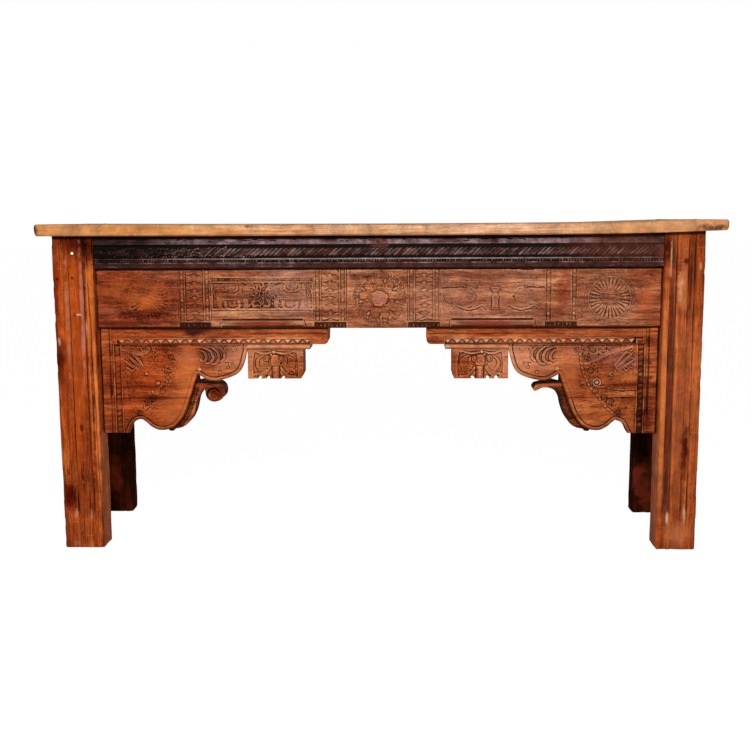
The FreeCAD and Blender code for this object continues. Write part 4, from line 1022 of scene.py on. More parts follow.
legShape = {
    "fluteWidth": 16.0, "fluteDepth": 4.2, "fluteStop": 84.0, "fluteFade": 26.0,
    "leftFlutes": (32.0, 72.0), "leftQuirks": (40.3, 83.0),
    "rightFlutes": (25.0, 71.0), "rightQuirks": (16.5, 32.0, 62.5, 78.5),
    "quirkWidth": 3.8, "quirkDepth": 4.8, "stationGap": 4.0, "arris": 2.8, "wear": 0.5,
    "leftPaintedLightAndDust": (0.3, 0.45), "rightPaintedLightAndDust": (1.3, 0.5), "shadowLine": 9.0,
}


# depth of the front face at x mm from the left edge of a front post
def fluteDepths(x, z, side):
    depth = np.zeros_like(x)
    stop = unit((z - legShape["fluteStop"]) / legShape["fluteFade"])
    narrow = 0.35 + 0.65 * stop
    for middle in legShape[side + "Flutes"]:
        reach = np.abs(x - middle) / (legShape["fluteWidth"] / 2 * narrow)
        depth += legShape["fluteDepth"] * np.sqrt(unit(1 - reach ** 2)) * stop ** 0.7
    for middle in legShape[side + "Quirks"]:
        there = np.clip(0.9 + 0.5 * cloud(np.full_like(x, middle), np.full_like(x, z), 55, 5), 0.6, 1.2)
        reach = np.abs(x - middle) / (legShape["quirkWidth"] / 2 * there)
        depth += legShape["quirkDepth"] * there * unit(1.3 - reach) * unit((z - 88) / 14)
    return depth


# split along the grain between two places (x, z)
def crackDepth(x, z, fromTop, toFoot, width, depth, seed):
    share = unit((fromTop[1] - z) / (fromTop[1] - toFoot[1]))
    middle = fromTop[0] + (toFoot[0] - fromTop[0]) * share + cloud(z, 0, 40, seed) * 1.6
    opening = width * (0.55 + 0.45 * cloud(z, 9, 60, seed + 1)) * unit((fromTop[1] - z) / 40)
    return depth * unit(1.2 - np.abs(x - middle) / np.maximum(opening, 0.3)) * (z > toFoot[1])


def legRing(x0, x1, y0, y1, frontCount, arris):
    corner = [(arris, 0.0), (arris * 0.29, arris * 0.29), (0.0, arris)]
    ring = [(x, y0) for x in np.linspace(x0 + arris, x1 - arris, frontCount)]
    ring += [(x1 - dx, y0 + dy) for dx, dy in corner[1:]]
    ring += [(x1, y) for y in np.linspace(y0 + arris, y1 - arris, 20)[1:-1]]
    ring += [(x1 - dx, y1 - dy) for dx, dy in corner[::-1]]
    ring += [(x, y1) for x in np.linspace(x1 - arris, x0 + arris, 20)[1:-1]]
    ring += [(x0 + dx, y1 - dy) for dx, dy in corner]
    ring += [(x0, y) for y in np.linspace(y1 - arris, y0 + arris, 20)[1:-1]]
    ring += [(x0 + dx, y0 + dy) for dx, dy in corner[::-1][:-1]]
    return np.array(ring)


def legBar(name, side, front, seed):
    low, high = nodeBox(name)
    count = 92 if front else 40
    ring = legRing(low[0], high[0], low[1], high[1], count, legShape["arris"])
    top = float(topUnder((low[0] + high[0]) / 2)) - 0.2
    stations = np.concatenate([[0, 0.8, 2.2, 4], np.arange(6, top - 4, legShape["stationGap"]), [top]])
    onFront = np.zeros(len(ring), bool)
    onFront[:count] = True
    mid = np.array([(low[0] + high[0]) / 2, (low[1] + high[1]) / 2])
    rings, carve, haze = [], [], []
    for z in stations:
        x, y = ring[:, 0].copy(), ring[:, 1].copy()
        around = np.arctan2(y - mid[1], x - mid[0]) * 50
        pinch = 1.6 * max(0.0, 1 - z / 4) ** 2
        chip = unit(cloud(around, 0, 9, seed + 5) - 0.3) * 5 * max(0.0, 1 - z / 26)
        worn = (1 - cloud(around, np.full_like(x, z / 3.0), 14, seed)) * legShape["wear"]
        worn += (1 - cloud(x * 1.3 + y * 2.1, np.full_like(x, z / 16), 3.4, seed + 2)) * 0.35
        cornerness = np.minimum(np.abs(x - low[0]), np.abs(x - high[0])) + np.minimum(
            np.abs(y - low[1]), np.abs(y - high[1]))
        worn += (cornerness < 4) * unit(cloud(around, z / 2, 11, seed + 7) - 0.1) * 2.4
        depth = np.zeros_like(x)
        if front:
            depth[onFront] = fluteDepths(x[onFront] - low[0], z, side)
            if side == "left":
                depth[onFront] += crackDepth(x[onFront], z, (-755.0, 742.0), (-741.5, 8.0), 2.4, 7.0, 3)
        # painted shade in the flutes, with some dust, of a different strength on each half of the post
        fluteShade = unit((depth - 0.4) / 2) * (depth <= legShape["fluteDepth"] + 0.01)
        fluteShadeShares = legShape[side + "PaintedLightAndDust"]
        fluteShade *= np.where(x < mid[0], fluteShadeShares[0], fluteShadeShares[1]) * (0.5 + 0.5 * unit((790 - z) / 40))
        move = worn + pinch + chip
        nx, nz = np.sign(x - mid[0]), np.sign(y - mid[1])
        sideFace = (np.abs(x - low[0]) < 3) | (np.abs(x - high[0]) < 3)
        frontFace = (np.abs(y - low[1]) < 3) | (np.abs(y - high[1]) < 3)
        x = x - nx * move * sideFace
        y = y - nz * move * frontFace + depth
        level = np.full_like(x, z) if z < top else topUnder(x) - 0.2
        rings.append(np.column_stack([x, y, level]))
        # the quirks darkened as painted shade and dirt in the grooves
        quirk = np.clip(depth - legShape["fluteDepth"] * 0.9, 0, None)
        carve.append(np.clip(quirk / 1.6 + (worn - 0.8) * 0.35, -0.5, 1.1))
        carve[-1] = np.maximum(carve[-1], unit((z - top) / legShape["shadowLine"] + 1) * 1.2)
        haze.append(fluteShade)
    leg = sweptBar(name + "_wood", rings, np.concatenate(carve), 50)
    keepLayer(leg.data, "haze", np.concatenate(haze))
    return leg


for legSide in ("left", "right"):
    settle(legBar("front_leg_" + legSide, legSide, True, 4 if legSide == "left" else 9), legWood,
           "leg_wood", "front_leg_" + legSide)
    settle(legBar("rear_leg_" + legSide, legSide, False, 6 if legSide == "left" else 12), rearShadedWood,
           "leg_wood", "rear_leg_" + legSide)
print("legs made")


# Pieces joined into one, plain bars and worn blocks

def anticlockwise(loop):
    loop = np.asarray(loop, float)
    x, z = loop[:, 0], loop[:, 1]
    area = (x * np.roll(z, -1) - np.roll(x, -1) * z).sum()
    return loop if area > 0 else loop[::-1]


# one object from several, under the name of the first
def joined(first, *others):
    pieces = [first] + list(others)
    with bpy.context.temp_override(active_object=first, object=first, selected_objects=pieces,
                                   selected_editable_objects=pieces):
        bpy.ops.object.join()
    return first


# worn block between two corners, long along its longest side
def block(name, low, high, gap, seed, look=None):
    look = look or {}
    low, high = np.asarray(low, float), np.asarray(high, float)
    run = int(np.argmax(high - low))
    a, b = [k for k in range(3) if k != run]
    arris = look.get("arris", 1.6)
    size = high - low

    def ladder(length):
        return np.linspace(arris, length - arris, max(2, int(length / look.get("sideGap", 6.0))))

    corner = [(arris * 0.3, arris * 0.3)]
    ring = [(p, 0.0) for p in ladder(size[a])] + [(size[a] - c, d) for c, d in corner]
    ring += [(size[a], p) for p in ladder(size[b])] + [(size[a] - c, size[b] - d) for c, d in corner]
    ring += [(p, size[b]) for p in ladder(size[a])[::-1]] + [(c, size[b] - d) for c, d in corner]
    ring += [(0.0, p) for p in ladder(size[b])[::-1]] + [(c, d) for c, d in corner]
    ring = np.array(ring)
    middle = size[[a, b]] / 2
    stations = np.concatenate([[0, 0.6, 1.6], np.arange(3.5, size[run] - 3, gap),
                               [size[run] - 1.6, size[run] - 0.6, size[run]]])
    rings, carve = [], []
    for s in stations:
        end = min(s, size[run] - s)
        pinch = 1.4 * max(0.0, 1 - end / 1.6) ** 2
        away = ring - middle
        around = np.arctan2(away[:, 1], away[:, 0]) * 30
        worn = (1 - cloud(around, np.full(len(ring), s / 3), 12, seed)) * look.get("wear", 0.35)
        worn += (1 - cloud(around * 2, np.full(len(ring), s / 14), 5, seed + 1)) * 0.2
        worn[[len(ring) - 1]] += 0.3
        flat = middle + away * (1 - (worn + pinch)[:, None] / np.maximum(np.abs(away), middle * 0.6))
        points = np.zeros((len(ring), 3))
        points[:, a], points[:, b] = low[a] + flat[:, 0], low[b] + flat[:, 1]
        points[:, run] = low[run] + s
        extra = 0
        if "shape" in look:
            points, extra = look["shape"](points)
        rings.append(points)
        carve.append(np.clip((worn - 0.5) * 0.5 + look.get("dirtAndShade", 0.0) + extra, -0.5, 1.2))
    return sweptBar(name, rings, np.concatenate(carve), look.get("sharp", 50))


# Front top rail: lower flat, bead, fillet, rope of slanting leaves, groove, fascia with a painted grey
# sheen

railLook = {
    "face": -205.0, "back": -155.0, "low": 743.0, "left": -738.5, "right": 728.0,
    "flatTop": 760.0, "beadTop": 767.0, "filletTop": 770.0, "ropeTop": 803.0, "grooveTop": 806.0,
    "beadSink": 2.6, "ropeSink": 5.6, "grooveSink": 5.0, "gap": 2.1, "top": 6.5, "ease": 1.2, "sideRows": 5,
    "worn": (-738.0, -560.0), "nailAt": (-2.25, 812.0), "plainEnd": 20.0,
    "leaf": {"gap": 11.8, "size": (36.0, 9.0, 8.2), "turn": -54.0, "jitter": 0.14, "seed": 4,
             "hollowness": -0.12,
             "uneven": 0.3, "bend": -3.4},
    "wornLeaf": {"gap": 11.8, "size": (27.0, 8.0, 8.0), "turn": -50.0, "jitter": 0.45, "seed": 4,
                 "hollowness": 0.1, "uneven": 0.45, "bend": -2.6},
    # pale veins on the leaves: painted highlight on their crests
    "vein": {"gap": 11.8, "size": (30.0, 4.8, 2.4), "turn": -54.0, "jitter": 0.14, "seed": 4,
             "hollowness": -0.45,
             "uneven": 0.9, "bend": -11.6},
    "dash": {"gap": 7.2, "size": (4.6, 5.6, 7.0), "turn": 0.0, "jitter": 0.25, "seed": 2,
             "hollowness": -0.15,
             "uneven": 0.6},
    # pale specks on the worn part of the rope: painted highlights
    "crumb": {"gap": 7.5, "size": (8.0, 4.4, 3.2), "turn": -40.0, "jitter": 0.7, "seed": 12,
              "hollowness": -0.7,
              "uneven": 0.7},
}


def railCanvas(look):
    top = look["top"]
    canvas = newCanvas(look["left"] - 2, look["right"] + 2, look["low"] - 2, 840, top - 0.5)
    x, z, h = canvas["x"], canvas["z"], canvas["h"]
    everyX = (look["left"] - 5, look["right"] + 5)
    # painted shade along the lower edge of the rail, over the recessed frieze
    sinkBox(canvas, *everyX, 735, look["low"] + 4.5, top - 2.6, 1.5, dirtAndShade=0.95)
    sinkBox(canvas, *everyX, look["flatTop"], look["filletTop"] - 2.4, top - look["beadSink"] - 1.2, 0.8,
            dirtAndShade=0.75)
    sinkBox(canvas, *everyX, look["filletTop"], look["grooveTop"], top - look["ropeSink"], 0.8, dirtAndShade=0.95)
    middle = (look["filletTop"] + look["ropeTop"]) / 2
    half = (look["ropeTop"] - look["filletTop"]) / 2
    swell = np.sqrt(unit(1 - ((z - middle) / half) ** 2)) * 2.6
    h += np.where(np.abs(z - middle) < half, swell, 0)
    sinkBox(canvas, *everyX, look["ropeTop"], look["grooveTop"], top - look["grooveSink"] - 1, 0.8,
            dirtAndShade=0.8)
    # painted grey sheen on the fascia and on the fillet
    canvas["haze"][...] = np.where(z > look["grooveTop"], 0.9, np.where((z > 766) & (z < 770.5), 0.7, 0.05))
    plain = unit((x - look["right"] + look["plainEnd"] + 8) / 6)
    canvas["dirtAndShade"] *= 1 - plain * (z > look["flatTop"]) * 0.75
    dark = unit((look["worn"][1] - x) / 60) * 0.4
    canvas["dirtAndShade"] += dark * (0.7 + 0.6 * cloud(x, z, 26, 5)) * (z > 760)
    canvas["haze"] *= 1 - unit((look["worn"][1] - x) / 60) * 0.75
    canvas["haze"] *= 1 - unit((x - 520) / 60) * 0.75
    nicks = np.random.RandomState(3)
    for _ in range(90):
        cx, cz = nicks.uniform(look["left"], look["right"]), nicks.uniform(808, 828)
        length, slope = nicks.uniform(5, 26), nicks.uniform(-0.12, 0.12)
        line = [(cx, cz), (cx + length, cz + length * slope)]
        groove(canvas, line, nicks.uniform(1.2, 2.6), nicks.uniform(0.4, 1.2), smooth=False)
    for cx in (560.0, 585.0, 610.0, 640.0, 668.0, 700.0):
        stroke(canvas, [(cx, 807), (cx + 8, 820), (cx + 20, 824)], 5, top - 1.2, 1.0)
    # painted shadow of the top's overhang along the upper edge of the fascia
    canvas["dirtAndShade"] += 1.2 * unit((z - topUnder(x) + 9) / 3)
    blotch = cloud(x, z, 34, 15) * 0.6 + cloud(x, z * 1.6, 13, 16) * 0.4
    canvas["dirtAndShade"] += 0.75 * unit(blotch - 0.05) * (z > look["grooveTop"])
    canvas["haze"] *= 1 - 0.8 * unit(cloud(x, z * 2, 26, 18) * 2)
    weather(canvas, 11, 0.35, 0.35)
    sinkDisc(canvas, look["nailAt"][0], look["nailAt"][1], 5.5, top - 1.4, 1.5, dirtAndShade=0.9)
    return canvas


def makeRail(look):
    canvas = railCanvas(look)
    over = [(x, float(topUnder(x)) - 0.25) for x in np.linspace(look["right"], look["left"], 40)]
    outline = [(look["left"], look["low"]), (look["right"], look["low"])] + over
    rail = carvedBoard("front_top_rail_wood", anticlockwise(outline), canvas, look["face"], look["back"],
                       look)
    left, right = look["left"] + 6, look["right"] - 6
    rope = (look["filletTop"] + look["ropeTop"]) / 2
    bead = (look["flatTop"] + look["beadTop"]) / 2
    far = right - look["plainEnd"]
    clear = left + look["leaf"]["gap"] * 24
    leafLine = [(clear, look["face"] + 4.6, rope), (far, look["face"] + 4.6, rope)]
    wornLine = [(left, look["face"] + 4.8, rope), (clear - 8, look["face"] + 4.8, rope)]
    veinLine = [(clear - 2.6, look["face"] + 2.6, rope + 0.6), (far - 2.6, look["face"] + 2.6, rope + 0.6)]
    shake = np.random.RandomState(31)
    crumbs = []
    for height, end in ((-9.0, clear + 150), (0.0, clear), (8.0, clear + 60), (-4.0, clear)):
        crumbs.append([(x, look["face"] + 2.4, rope + height + shake.uniform(-4, 4))
                       for x in np.arange(left + 50, end, 9.0)])
    dashLine = [(left, look["face"] + 2.4, bead), (right, look["face"] + 2.4, bead)]
    rows = [chipRow("railLeaves", [leafLine], "leaf", look["leaf"], darkWood),
            chipRow("railWornLeaves", [wornLine], "leaf", look["wornLeaf"], darkWood),
            chipRow("railVeins", [veinLine], "leaf", look["vein"], darkWood),
            chipRow("railCrumbs", crumbs, "bead", look["crumb"], darkWood),
            chipRow("railDashes", [dashLine], "bead", look["dash"], darkWood)]
    rail.data.materials.append(darkWood)
    joined(rail, *rows)
    settle(rail, darkWood, "dark_wood", "front_top_rail")


makeRail(railLook)
print("rail made")


# Frieze: wheel flowers, pearl strips with leaf columns, two figure panels, wreath medallion

friezeShape = {
    "front": -192.0, "back": -156.0, "low": 588.0, "high": 743.0, "left": -738.5, "right": 728.0,
    "middle": -5.25, "centreZ": 664.5, "calm": 0.8, "gap": 1.75, "top": 5.2, "ease": 1.4, "sideRows": 4,
    "seed": 5,
    "rosettes": (-596.0, 600.0), "rosetteRadius": 66.0, "medallionRadius": 71.0, "discRadius": 21.0,
    "bands": (-476.0, -122.0, 122.0, 476.0), "bandWear": (0.7, 0.85, 0.95, 0.0), "bandWidth": 84.0,
    "stripWidth": 18.0,
    "ground": 1.5, "plain": 3.4, "bandLow": 608.0, "panelLow": 636.5, "panelHigh": 707.0,
    "brightLeaves": ((117, 687), (116, 660), (114, 636), (114, 612)), "barLow": 594.0, "barHigh": 609.0,
    "barLength": 214.0, "panelOffset": 299.0,
    "pearl": {"gap": 11.2, "size": (10.0, 4.4, 6.6), "jitter": 0.2, "seed": 6, "hollowness": -0.25,
              "uneven": 0.35},
    "ringDash": {"gap": 6.4, "size": (9.0, 3.6, 3.0), "turn": 64.0, "jitter": 0.3, "seed": 3,
                 "hollowness": -0.15,
                 "uneven": 0.4},
    "wreathDash": {"gap": 7.6, "size": (8.6, 4.4, 3.8), "turn": 50.0, "jitter": 0.22, "seed": 13,
                   "hollowness": -0.25, "uneven": 0.45},
    "topPearl": {"gap": 6.6, "size": (4.4, 3.2, 4.6), "jitter": 0.3, "seed": 8, "hollowness": 0.0,
                 "uneven": 0.5},
}


# round flower of many low rays, with a notched ring outside
def paintWheel(canvas, cx, cz, look, worn, seed):
    radius, ground = look["rosetteRadius"], look["ground"]
    sinkDisc(canvas, cx, cz, radius + 2, ground + 1.3, 2.0, dirtAndShade=0.0)
    ring = np.hypot(canvas["x"] - cx, canvas["z"] - cz)
    canvas["dirtAndShade"] += 0.22 * unit(1 - np.abs(ring - radius + 4) / 6)
    for r, height in ((radius - 11, 2.6), (21.5, 1.7)):
        stroke(canvas, arcPoints(cx, cz, r, 0, 360, 60), 3.0, ground, height - worn * 0.3, (1, 1),
               smooth=False)
    rays, shake = 29, np.random.RandomState(seed)
    for k in range(rays):
        turn = 2 * math.pi * k / rays + shake.uniform(-0.03, 0.03)
        c, s = math.cos(turn), math.sin(turn)
        low = worn * max(0.0, s + 0.35) * 1.3
        dome(canvas, cx + 37 * c, cz + 37 * s, 17.0, 3.9, ground + 0.7, max(0.8, 2.3 - low), turn, 0.5)
        ring = turn + math.pi / rays
        line = [(cx + 20 * math.cos(ring), cz + 20 * math.sin(ring)),
                (cx + 52 * math.cos(ring), cz + 52 * math.sin(ring))]
        groove(canvas, line, 2.2, max(0.45, 0.9 - low * 0.3), (0.5, 0.9), smooth=False)
    dome(canvas, cx, cz, 18, 18, ground, 2.5, 0, 0.3)
    for k in range(3 + int(worn * 5)):
        z = cz + 22 - k * (13 - worn * 4.5)
        wave = [(cx - 52 + j * 13, z + shake.uniform(-1.5, 1.5) + worn * 7 * math.sin(j * 0.75 + k * 0.25)
                 - abs(j - 4) * 1.2) for j in range(9)]
        groove(canvas, wave, 2.6, 0.7 + 0.6 * worn, (0.3, 0.3))


# wreath: smooth lobes round a rough disc, pointed leaf tips between them
def paintMedallion(canvas, cx, cz, look):
    ground = look["ground"]
    sinkDisc(canvas, cx, cz, look["medallionRadius"], ground + 0.3, 3.0, dirtAndShade=0.02)
    shake = np.random.RandomState(2)
    lobes = 9
    for k in range(lobes):
        turn = 2 * math.pi * (k + 0.3) / lobes + shake.uniform(-0.06, 0.06)
        reach = 39 + shake.uniform(-1.5, 1.5)
        px, pz = cx + reach * math.cos(turn), cz + reach * math.sin(turn)
        between = turn + math.pi / lobes
        for r, width in ((33, 5.0), (48, 6.5)):
            dome(canvas, cx + r * math.cos(between), cz + r * math.sin(between), 6.5, width / 2, ground,
                 2.4, between)
        dome(canvas, px, pz, 15.6, 12.6, ground - 0.5, 4.3 * shake.uniform(0.85, 1.0), turn, 0.8)
        arc = [(px + 8.5 * math.cos(turn + a), pz + 8.5 * math.sin(turn + a))
               for a in np.linspace(1.2, 4.6, 9)]
        groove(canvas, arc, 2.0, 0.8, (0.4, 0.4), smooth=False)
    sinkDisc(canvas, cx, cz, look["discRadius"] + 2, ground + 0.3, 3.0, dirtAndShade=0.03)
    rim = [(look["discRadius"] * (1 + 0.09 * math.sin(3 * a + 1) + 0.05 * math.sin(8 * a)), a)
           for a in np.linspace(0, 2 * math.pi, 40)[:-1]]
    plateau(canvas, [(cx + r * math.cos(a), cz + r * math.sin(a)) for r, a in rim], ground, 2.6, 4,
            smooth=False)
    for _ in range(40):
        turn, r = shake.uniform(0, 6.28), 19 * shake.uniform(0, 1) ** 0.5
        px, pz = cx + r * math.cos(turn), cz + r * math.sin(turn)
        dome(canvas, px, pz, shake.uniform(2, 5), shake.uniform(1.2, 2.4), ground + 2.0, 1.2,
             shake.normal(0, 0.4))
    away = np.hypot(canvas["x"] - cx, canvas["z"] - cz)
    # painted pale sheen on the middle disc
    canvas["haze"] += 0.5 * unit((24 - away) / 6)
    settledDirt(canvas, (away < look["medallionRadius"] - 14) * 1.0, ground + 1.2, 0.14)
    canvas["dirtAndShade"] += 0.24 * unit(1 - np.abs(away - look["medallionRadius"] + 8) / 9)
    for sx in (-1, 1):
        for sz in (-1, 1):
            ox, oz = cx + sx * 78, cz + sz * 66
            for lean, length in ((0.3, 22), (1.2, 22)):
                c, s = math.cos(lean), math.sin(lean)
                line = [(ox, oz), (ox - sx * length * c, oz - sz * (length * s - 3))]
                groove(canvas, line, 2.0, 0.6)


# leaf column between two strips that carry pearls; without wear share the middle stays plain
def paintBand(canvas, cx, look, worn, seed):
    half, low, high = look["bandWidth"] / 2, look["bandLow"], look["high"] - 3
    ground, strip = look["ground"], look["stripWidth"]
    if worn > 0:
        sinkBox(canvas, cx - half - 2, cx + half + 2, low - 2, high + 2, ground + 0.7, 1.5, dirtAndShade=0.04)
    shake = np.random.RandomState(seed)
    for side in (-1, 1):
        middle = cx + side * (half - strip / 2)
        sinkBox(canvas, middle - strip / 2, middle + strip / 2, low, high, ground + 0.7, 1.2, dirtAndShade=0.14)
        for edge in (-1, 1):
            x = middle + edge * (strip / 2 - 1.2)
            line = [(x + shake.uniform(-0.5, 0.5), z) for z in np.linspace(low, high, 9)]
            stroke(canvas, line, 3.2, ground, 2.6, (1, 1))
    column = half - strip - 1.5
    for z in np.arange(low + 9, high - 4, 19.5) if worn > 0 else ():
        for side in (-1, 1):
            droop = shake.uniform(-1.2, 1.2)
            dome(canvas, cx + side * column * 0.5, z, column * 0.55, 6.4, ground + 0.4, 2.7 * worn,
                 -side * 0.3, 0.6)
            dome(canvas, cx + side * column * 0.72, z + 8.5, column * 0.34, 4.4, ground + 0.4, 2.0 * worn,
                 side * 0.5)
            edge = [(cx + side * 2, z - 3.5), (cx + side * column * 0.5, z - 7 + droop),
                    (cx + side * column, z - 9.5 + droop)]
            groove(canvas, edge, 3.0, 1.2 * worn, (0.8, 0.5))
            groove(canvas, [(cx + side * 3, z + 1), (cx + side * column * 0.8, z - 2 + droop)], 1.8,
                   0.7 * worn,
                   (0.8, 0.3))
        dome(canvas, cx, z + 8, 4.2, 6.0, ground + 0.4, 2.4 * worn, 0, 0.5)
    settledDirt(canvas, (np.abs(canvas["x"] - cx) < column) * (canvas["z"] > low) * 1.0, ground + 1.2,
                0.16 * worn)
    # block of uneven notches under the band, its sunk ground painted nearly black
    sinkBox(canvas, cx - half, cx + half, look["low"] - 2, 604, ground - 0.8, 1.2, dirtAndShade=0.95)
    for k in range(8):
        x = cx - half + (k + 0.5 + shake.uniform(-0.2, 0.2)) * look["bandWidth"] / 8
        width, rise = shake.uniform(1.6, 3.6), shake.uniform(596, 602)
        plateau(canvas, [(x - width, 589), (x + width, 589), (x + width * 0.7, rise),
                         (x - width * 0.7, rise)],
                ground - 0.6, shake.uniform(1.6, 3.6), 1.6, smooth=False)
        sinkDisc(canvas, x + shake.uniform(-3, 3), shake.uniform(591, 601), 1.8, ground, 1.0, dirtAndShade=0.1)


elephantForm = {
    "body": ((-35, 22), (-40, 40), (-36, 58), (-21, 67), (4, 69), (26, 68), (40, 60), (45, 43), (38, 27),
             (20, 22), (0, 21), (-21, 21)),
    "legs": (((-30, 34), (-31, 16), (-27, 1), 14), ((-14, 26), (-14, 12), (-10, 1), 10),
             ((20, 26), (22, 12), (18, 1), 10), ((37, 34), (40, 14), (37, 1), 14)),
    "trunk": ((59, 56), (66, 44), (65, 30), (58, 18), (60, 8), (67, 8)), "tusk": ((57, 38), (66, 33)),
    "tail": ((-37, 58), (-44, 46), (-41, 32)), "head": (50, 51, 15, 18), "ear": (41, 48, 9, 14),
    "cloth": ((-25, 66), (-27, 54), (-14, 45), (3, 43), (16, 46), (22, 54), (20, 66)),
    "innerCloth": ((-17, 64), (-17, 56), (-8, 51), (4, 50), (12, 54), (12, 64)),
    "girth": ((-27, 54), (-40, 46)), "crown": ((38, 68), (50, 72), (61, 63)),
    "belly": ((-28, 25), (0, 23), (30, 26)),
}


def paintElephant(canvas, cx, cz, flip, look, form):
    ground = look["ground"]

    def at(points):
        return placed(points, cx, cz, flip)

    for leg in form["legs"]:
        stroke(canvas, at(leg[:3]), leg[3], ground, 2.4, (0.9, 0.85))
        foot = at([(leg[2][0] - 5, 3), (leg[2][0] + 5, 3)])
        stroke(canvas, foot, 4.5, ground + 0.4, 2.4, (0.8, 0.8), smooth=False)
    plateau(canvas, at(form["body"]), ground, 3.0, 11)
    stroke(canvas, at(form["tail"]), 3.4, ground, 2.2)
    stroke(canvas, at(form["trunk"]), 10.5, ground, 3.0, (1.0, 0.4))
    hx, hz, rx, rz = form["head"]
    (px, pz), = at([(hx, hz)])
    dome(canvas, px, pz, rx, rz, ground, 3.5, 0, 0.4)
    ex, ez, rx, rz = form["ear"]
    (px, pz), = at([(ex, ez)])
    ring = [(px + (rx + 1.4) * math.cos(a), pz + (rz + 1.4) * math.sin(a))
            for a in np.linspace(0, 6.28, 22)]
    groove(canvas, ring, 2.4, 0.9, (1, 1), smooth=False)
    dome(canvas, px, pz, rx, rz, ground + 0.4, 3.2, flip * 0.25, 0.5)
    stroke(canvas, at(form["tusk"]), 4.0, ground + 1, 2.8, (1, 0.3))
    (px, pz), = at([(54, 54)])
    sinkDisc(canvas, px, pz, 2.0, ground + 1.6, 0.8, dirtAndShade=0.7)
    for key, width in (("cloth", 3.0), ("innerCloth", 2.2), ("girth", 2.0), ("belly", 2.2)):
        groove(canvas, at(form[key]), width, 1.35, (1, 1))
    stroke(canvas, at(form["crown"]), 4.4, ground + 1.4, 1.8, (0.7, 0.7))
    for k in range(4):
        (px, pz), = at([(-8 + k * 5.4 - 3, 50 + (k % 2) * 6)])
        dome(canvas, px, pz, 2.6, 2.6, ground + 2.7, 1.1)


def paintPanelFrame(canvas, cx, look, share=1.0):
    inner = look["bands"][2] + look["bandWidth"] / 2
    outer = look["bands"][3] - look["bandWidth"] / 2
    left = look["middle"] + (inner if cx > 0 else -outer)
    right = look["middle"] + (outer if cx > 0 else -inner)
    ground = look["ground"]
    sinkBox(canvas, left + 3, right - 3, look["panelLow"] - 24, look["panelLow"], look["plain"] + 0.6, 1.2)
    if share == 1:
        sinkBox(canvas, left + 5, right - 5, look["panelLow"] + 3, look["panelHigh"], ground, 1.6,
                dirtAndShade=0.12)
    for z in (look["panelLow"] + 1, look["panelHigh"] + 1.5, look["panelHigh"] + 14):
        stroke(canvas, [(left + 2, z), (right - 2, z)], 2.8, ground + 0.8, 1.6 + share, (1, 1),
               smooth=False)
        groove(canvas, [(left + 2, z - 2.8), (right - 2, z - 2.8)], 2.2, 1.2 * share, (1, 1),
               smooth=False)
    if share == 1:
        sinkBox(canvas, left + 2, right - 2, look["panelHigh"] + 4, look["panelHigh"] + 11, ground + 0.2,
                1.2,
                dirtAndShade=0.2)
    # half-round bar in its recess
    x0, x1 = cx - look["barLength"] / 2, cx + look["barLength"] / 2
    sinkBox(canvas, x0, x1, look["low"] - 2, look["barHigh"] + 5, ground - 1.0, 1.0, dirtAndShade=0.7)
    part = patchOf(canvas, x0 + 1, x1 - 1, look["barLow"], look["barHigh"])
    middle, radius = (look["barLow"] + look["barHigh"]) / 2, (look["barHigh"] - look["barLow"]) / 2
    roundness = np.sqrt(unit(1 - ((canvas["z"][part] - middle) / radius) ** 2))
    canvas["h"][part] = np.maximum(canvas["h"][part], ground - 1 + 4.4 * roundness)
    canvas["dirtAndShade"][part] *= 1 - roundness
    # painted highlight along the top of the bar
    canvas["haze"][part] += 0.9 * unit(1 - np.abs(canvas["z"][part] - look["barHigh"] + 2.4) / 1.7)
    for end, lean in ((x0 - 2, -1), (x1 + 2, 1)):
        groove(canvas, [(end + lean * 5, look["low"]), (end, look["barHigh"] + 4)], 2.6, 1.4, (1, 0.5),
               smooth=False)
    return left, right


def paintElephantPanel(canvas, cx, look):
    _, right = paintPanelFrame(canvas, cx, look)
    base = look["panelLow"] + 1
    paintElephant(canvas, cx - 82, base, 1, look, elephantForm)
    paintElephant(canvas, cx + 76, base, -1, look, elephantForm)
    ground = look["ground"]
    thicket = np.random.RandomState(17)
    for _ in range(46):
        px, pz = cx + thicket.uniform(-46, 46), base + thicket.uniform(3, 44)
        comma(canvas, px, pz, thicket.uniform(3, 5.5), thicket, ground + 0.4, 2.9)
    middleOf = unit(1 - np.abs(canvas["x"] - cx) / 48) * unit((base + 50 - canvas["z"]) / 10)
    canvas["dirtAndShade"] += 0.5 * middleOf * (canvas["z"] > base)
    stem = placed([(-6, 2), (-3, 20), (-8, 36), (-4, 54), (-7, 66)], cx, base)
    stroke(canvas, stem, 4.2, ground, 2.2, (1, 0.5))
    for z, side in ((14, 1), (26, -1), (38, 1), (50, -1), (60, 1)):
        curl = placed([(-5, z - 4), (-5 + side * 7, z), (-5 + side * 9, z + 7), (-5 + side * 4, z + 8)], cx,
                      base)
        stroke(canvas, curl, 4.2, ground, 2.0, (0.8, 0.5))
    stroke(canvas, placed([(118, 66), (126, 56), (130, 40), (131, 4)], cx, base), 3.0, ground, 2.8,
           (0.6, 1))
    for x in (-136, 112):
        stroke(canvas, placed([(x, 2), (x + 2, 20), (x - 2, 44), (x + 2, 66)], cx, base), 5, ground, 2.4)
    # painted pale sheen over the right part of the panel
    zone = unit((canvas["x"] - cx + 10) / 40) * unit((right - canvas["x"]) / 10)
    zone *= unit((canvas["z"] - look["panelLow"] + 22) / 20)
    canvas["haze"] += zone * 0.65 * (0.75 + 0.35 * cloud(canvas["x"], canvas["z"], 30, 3))


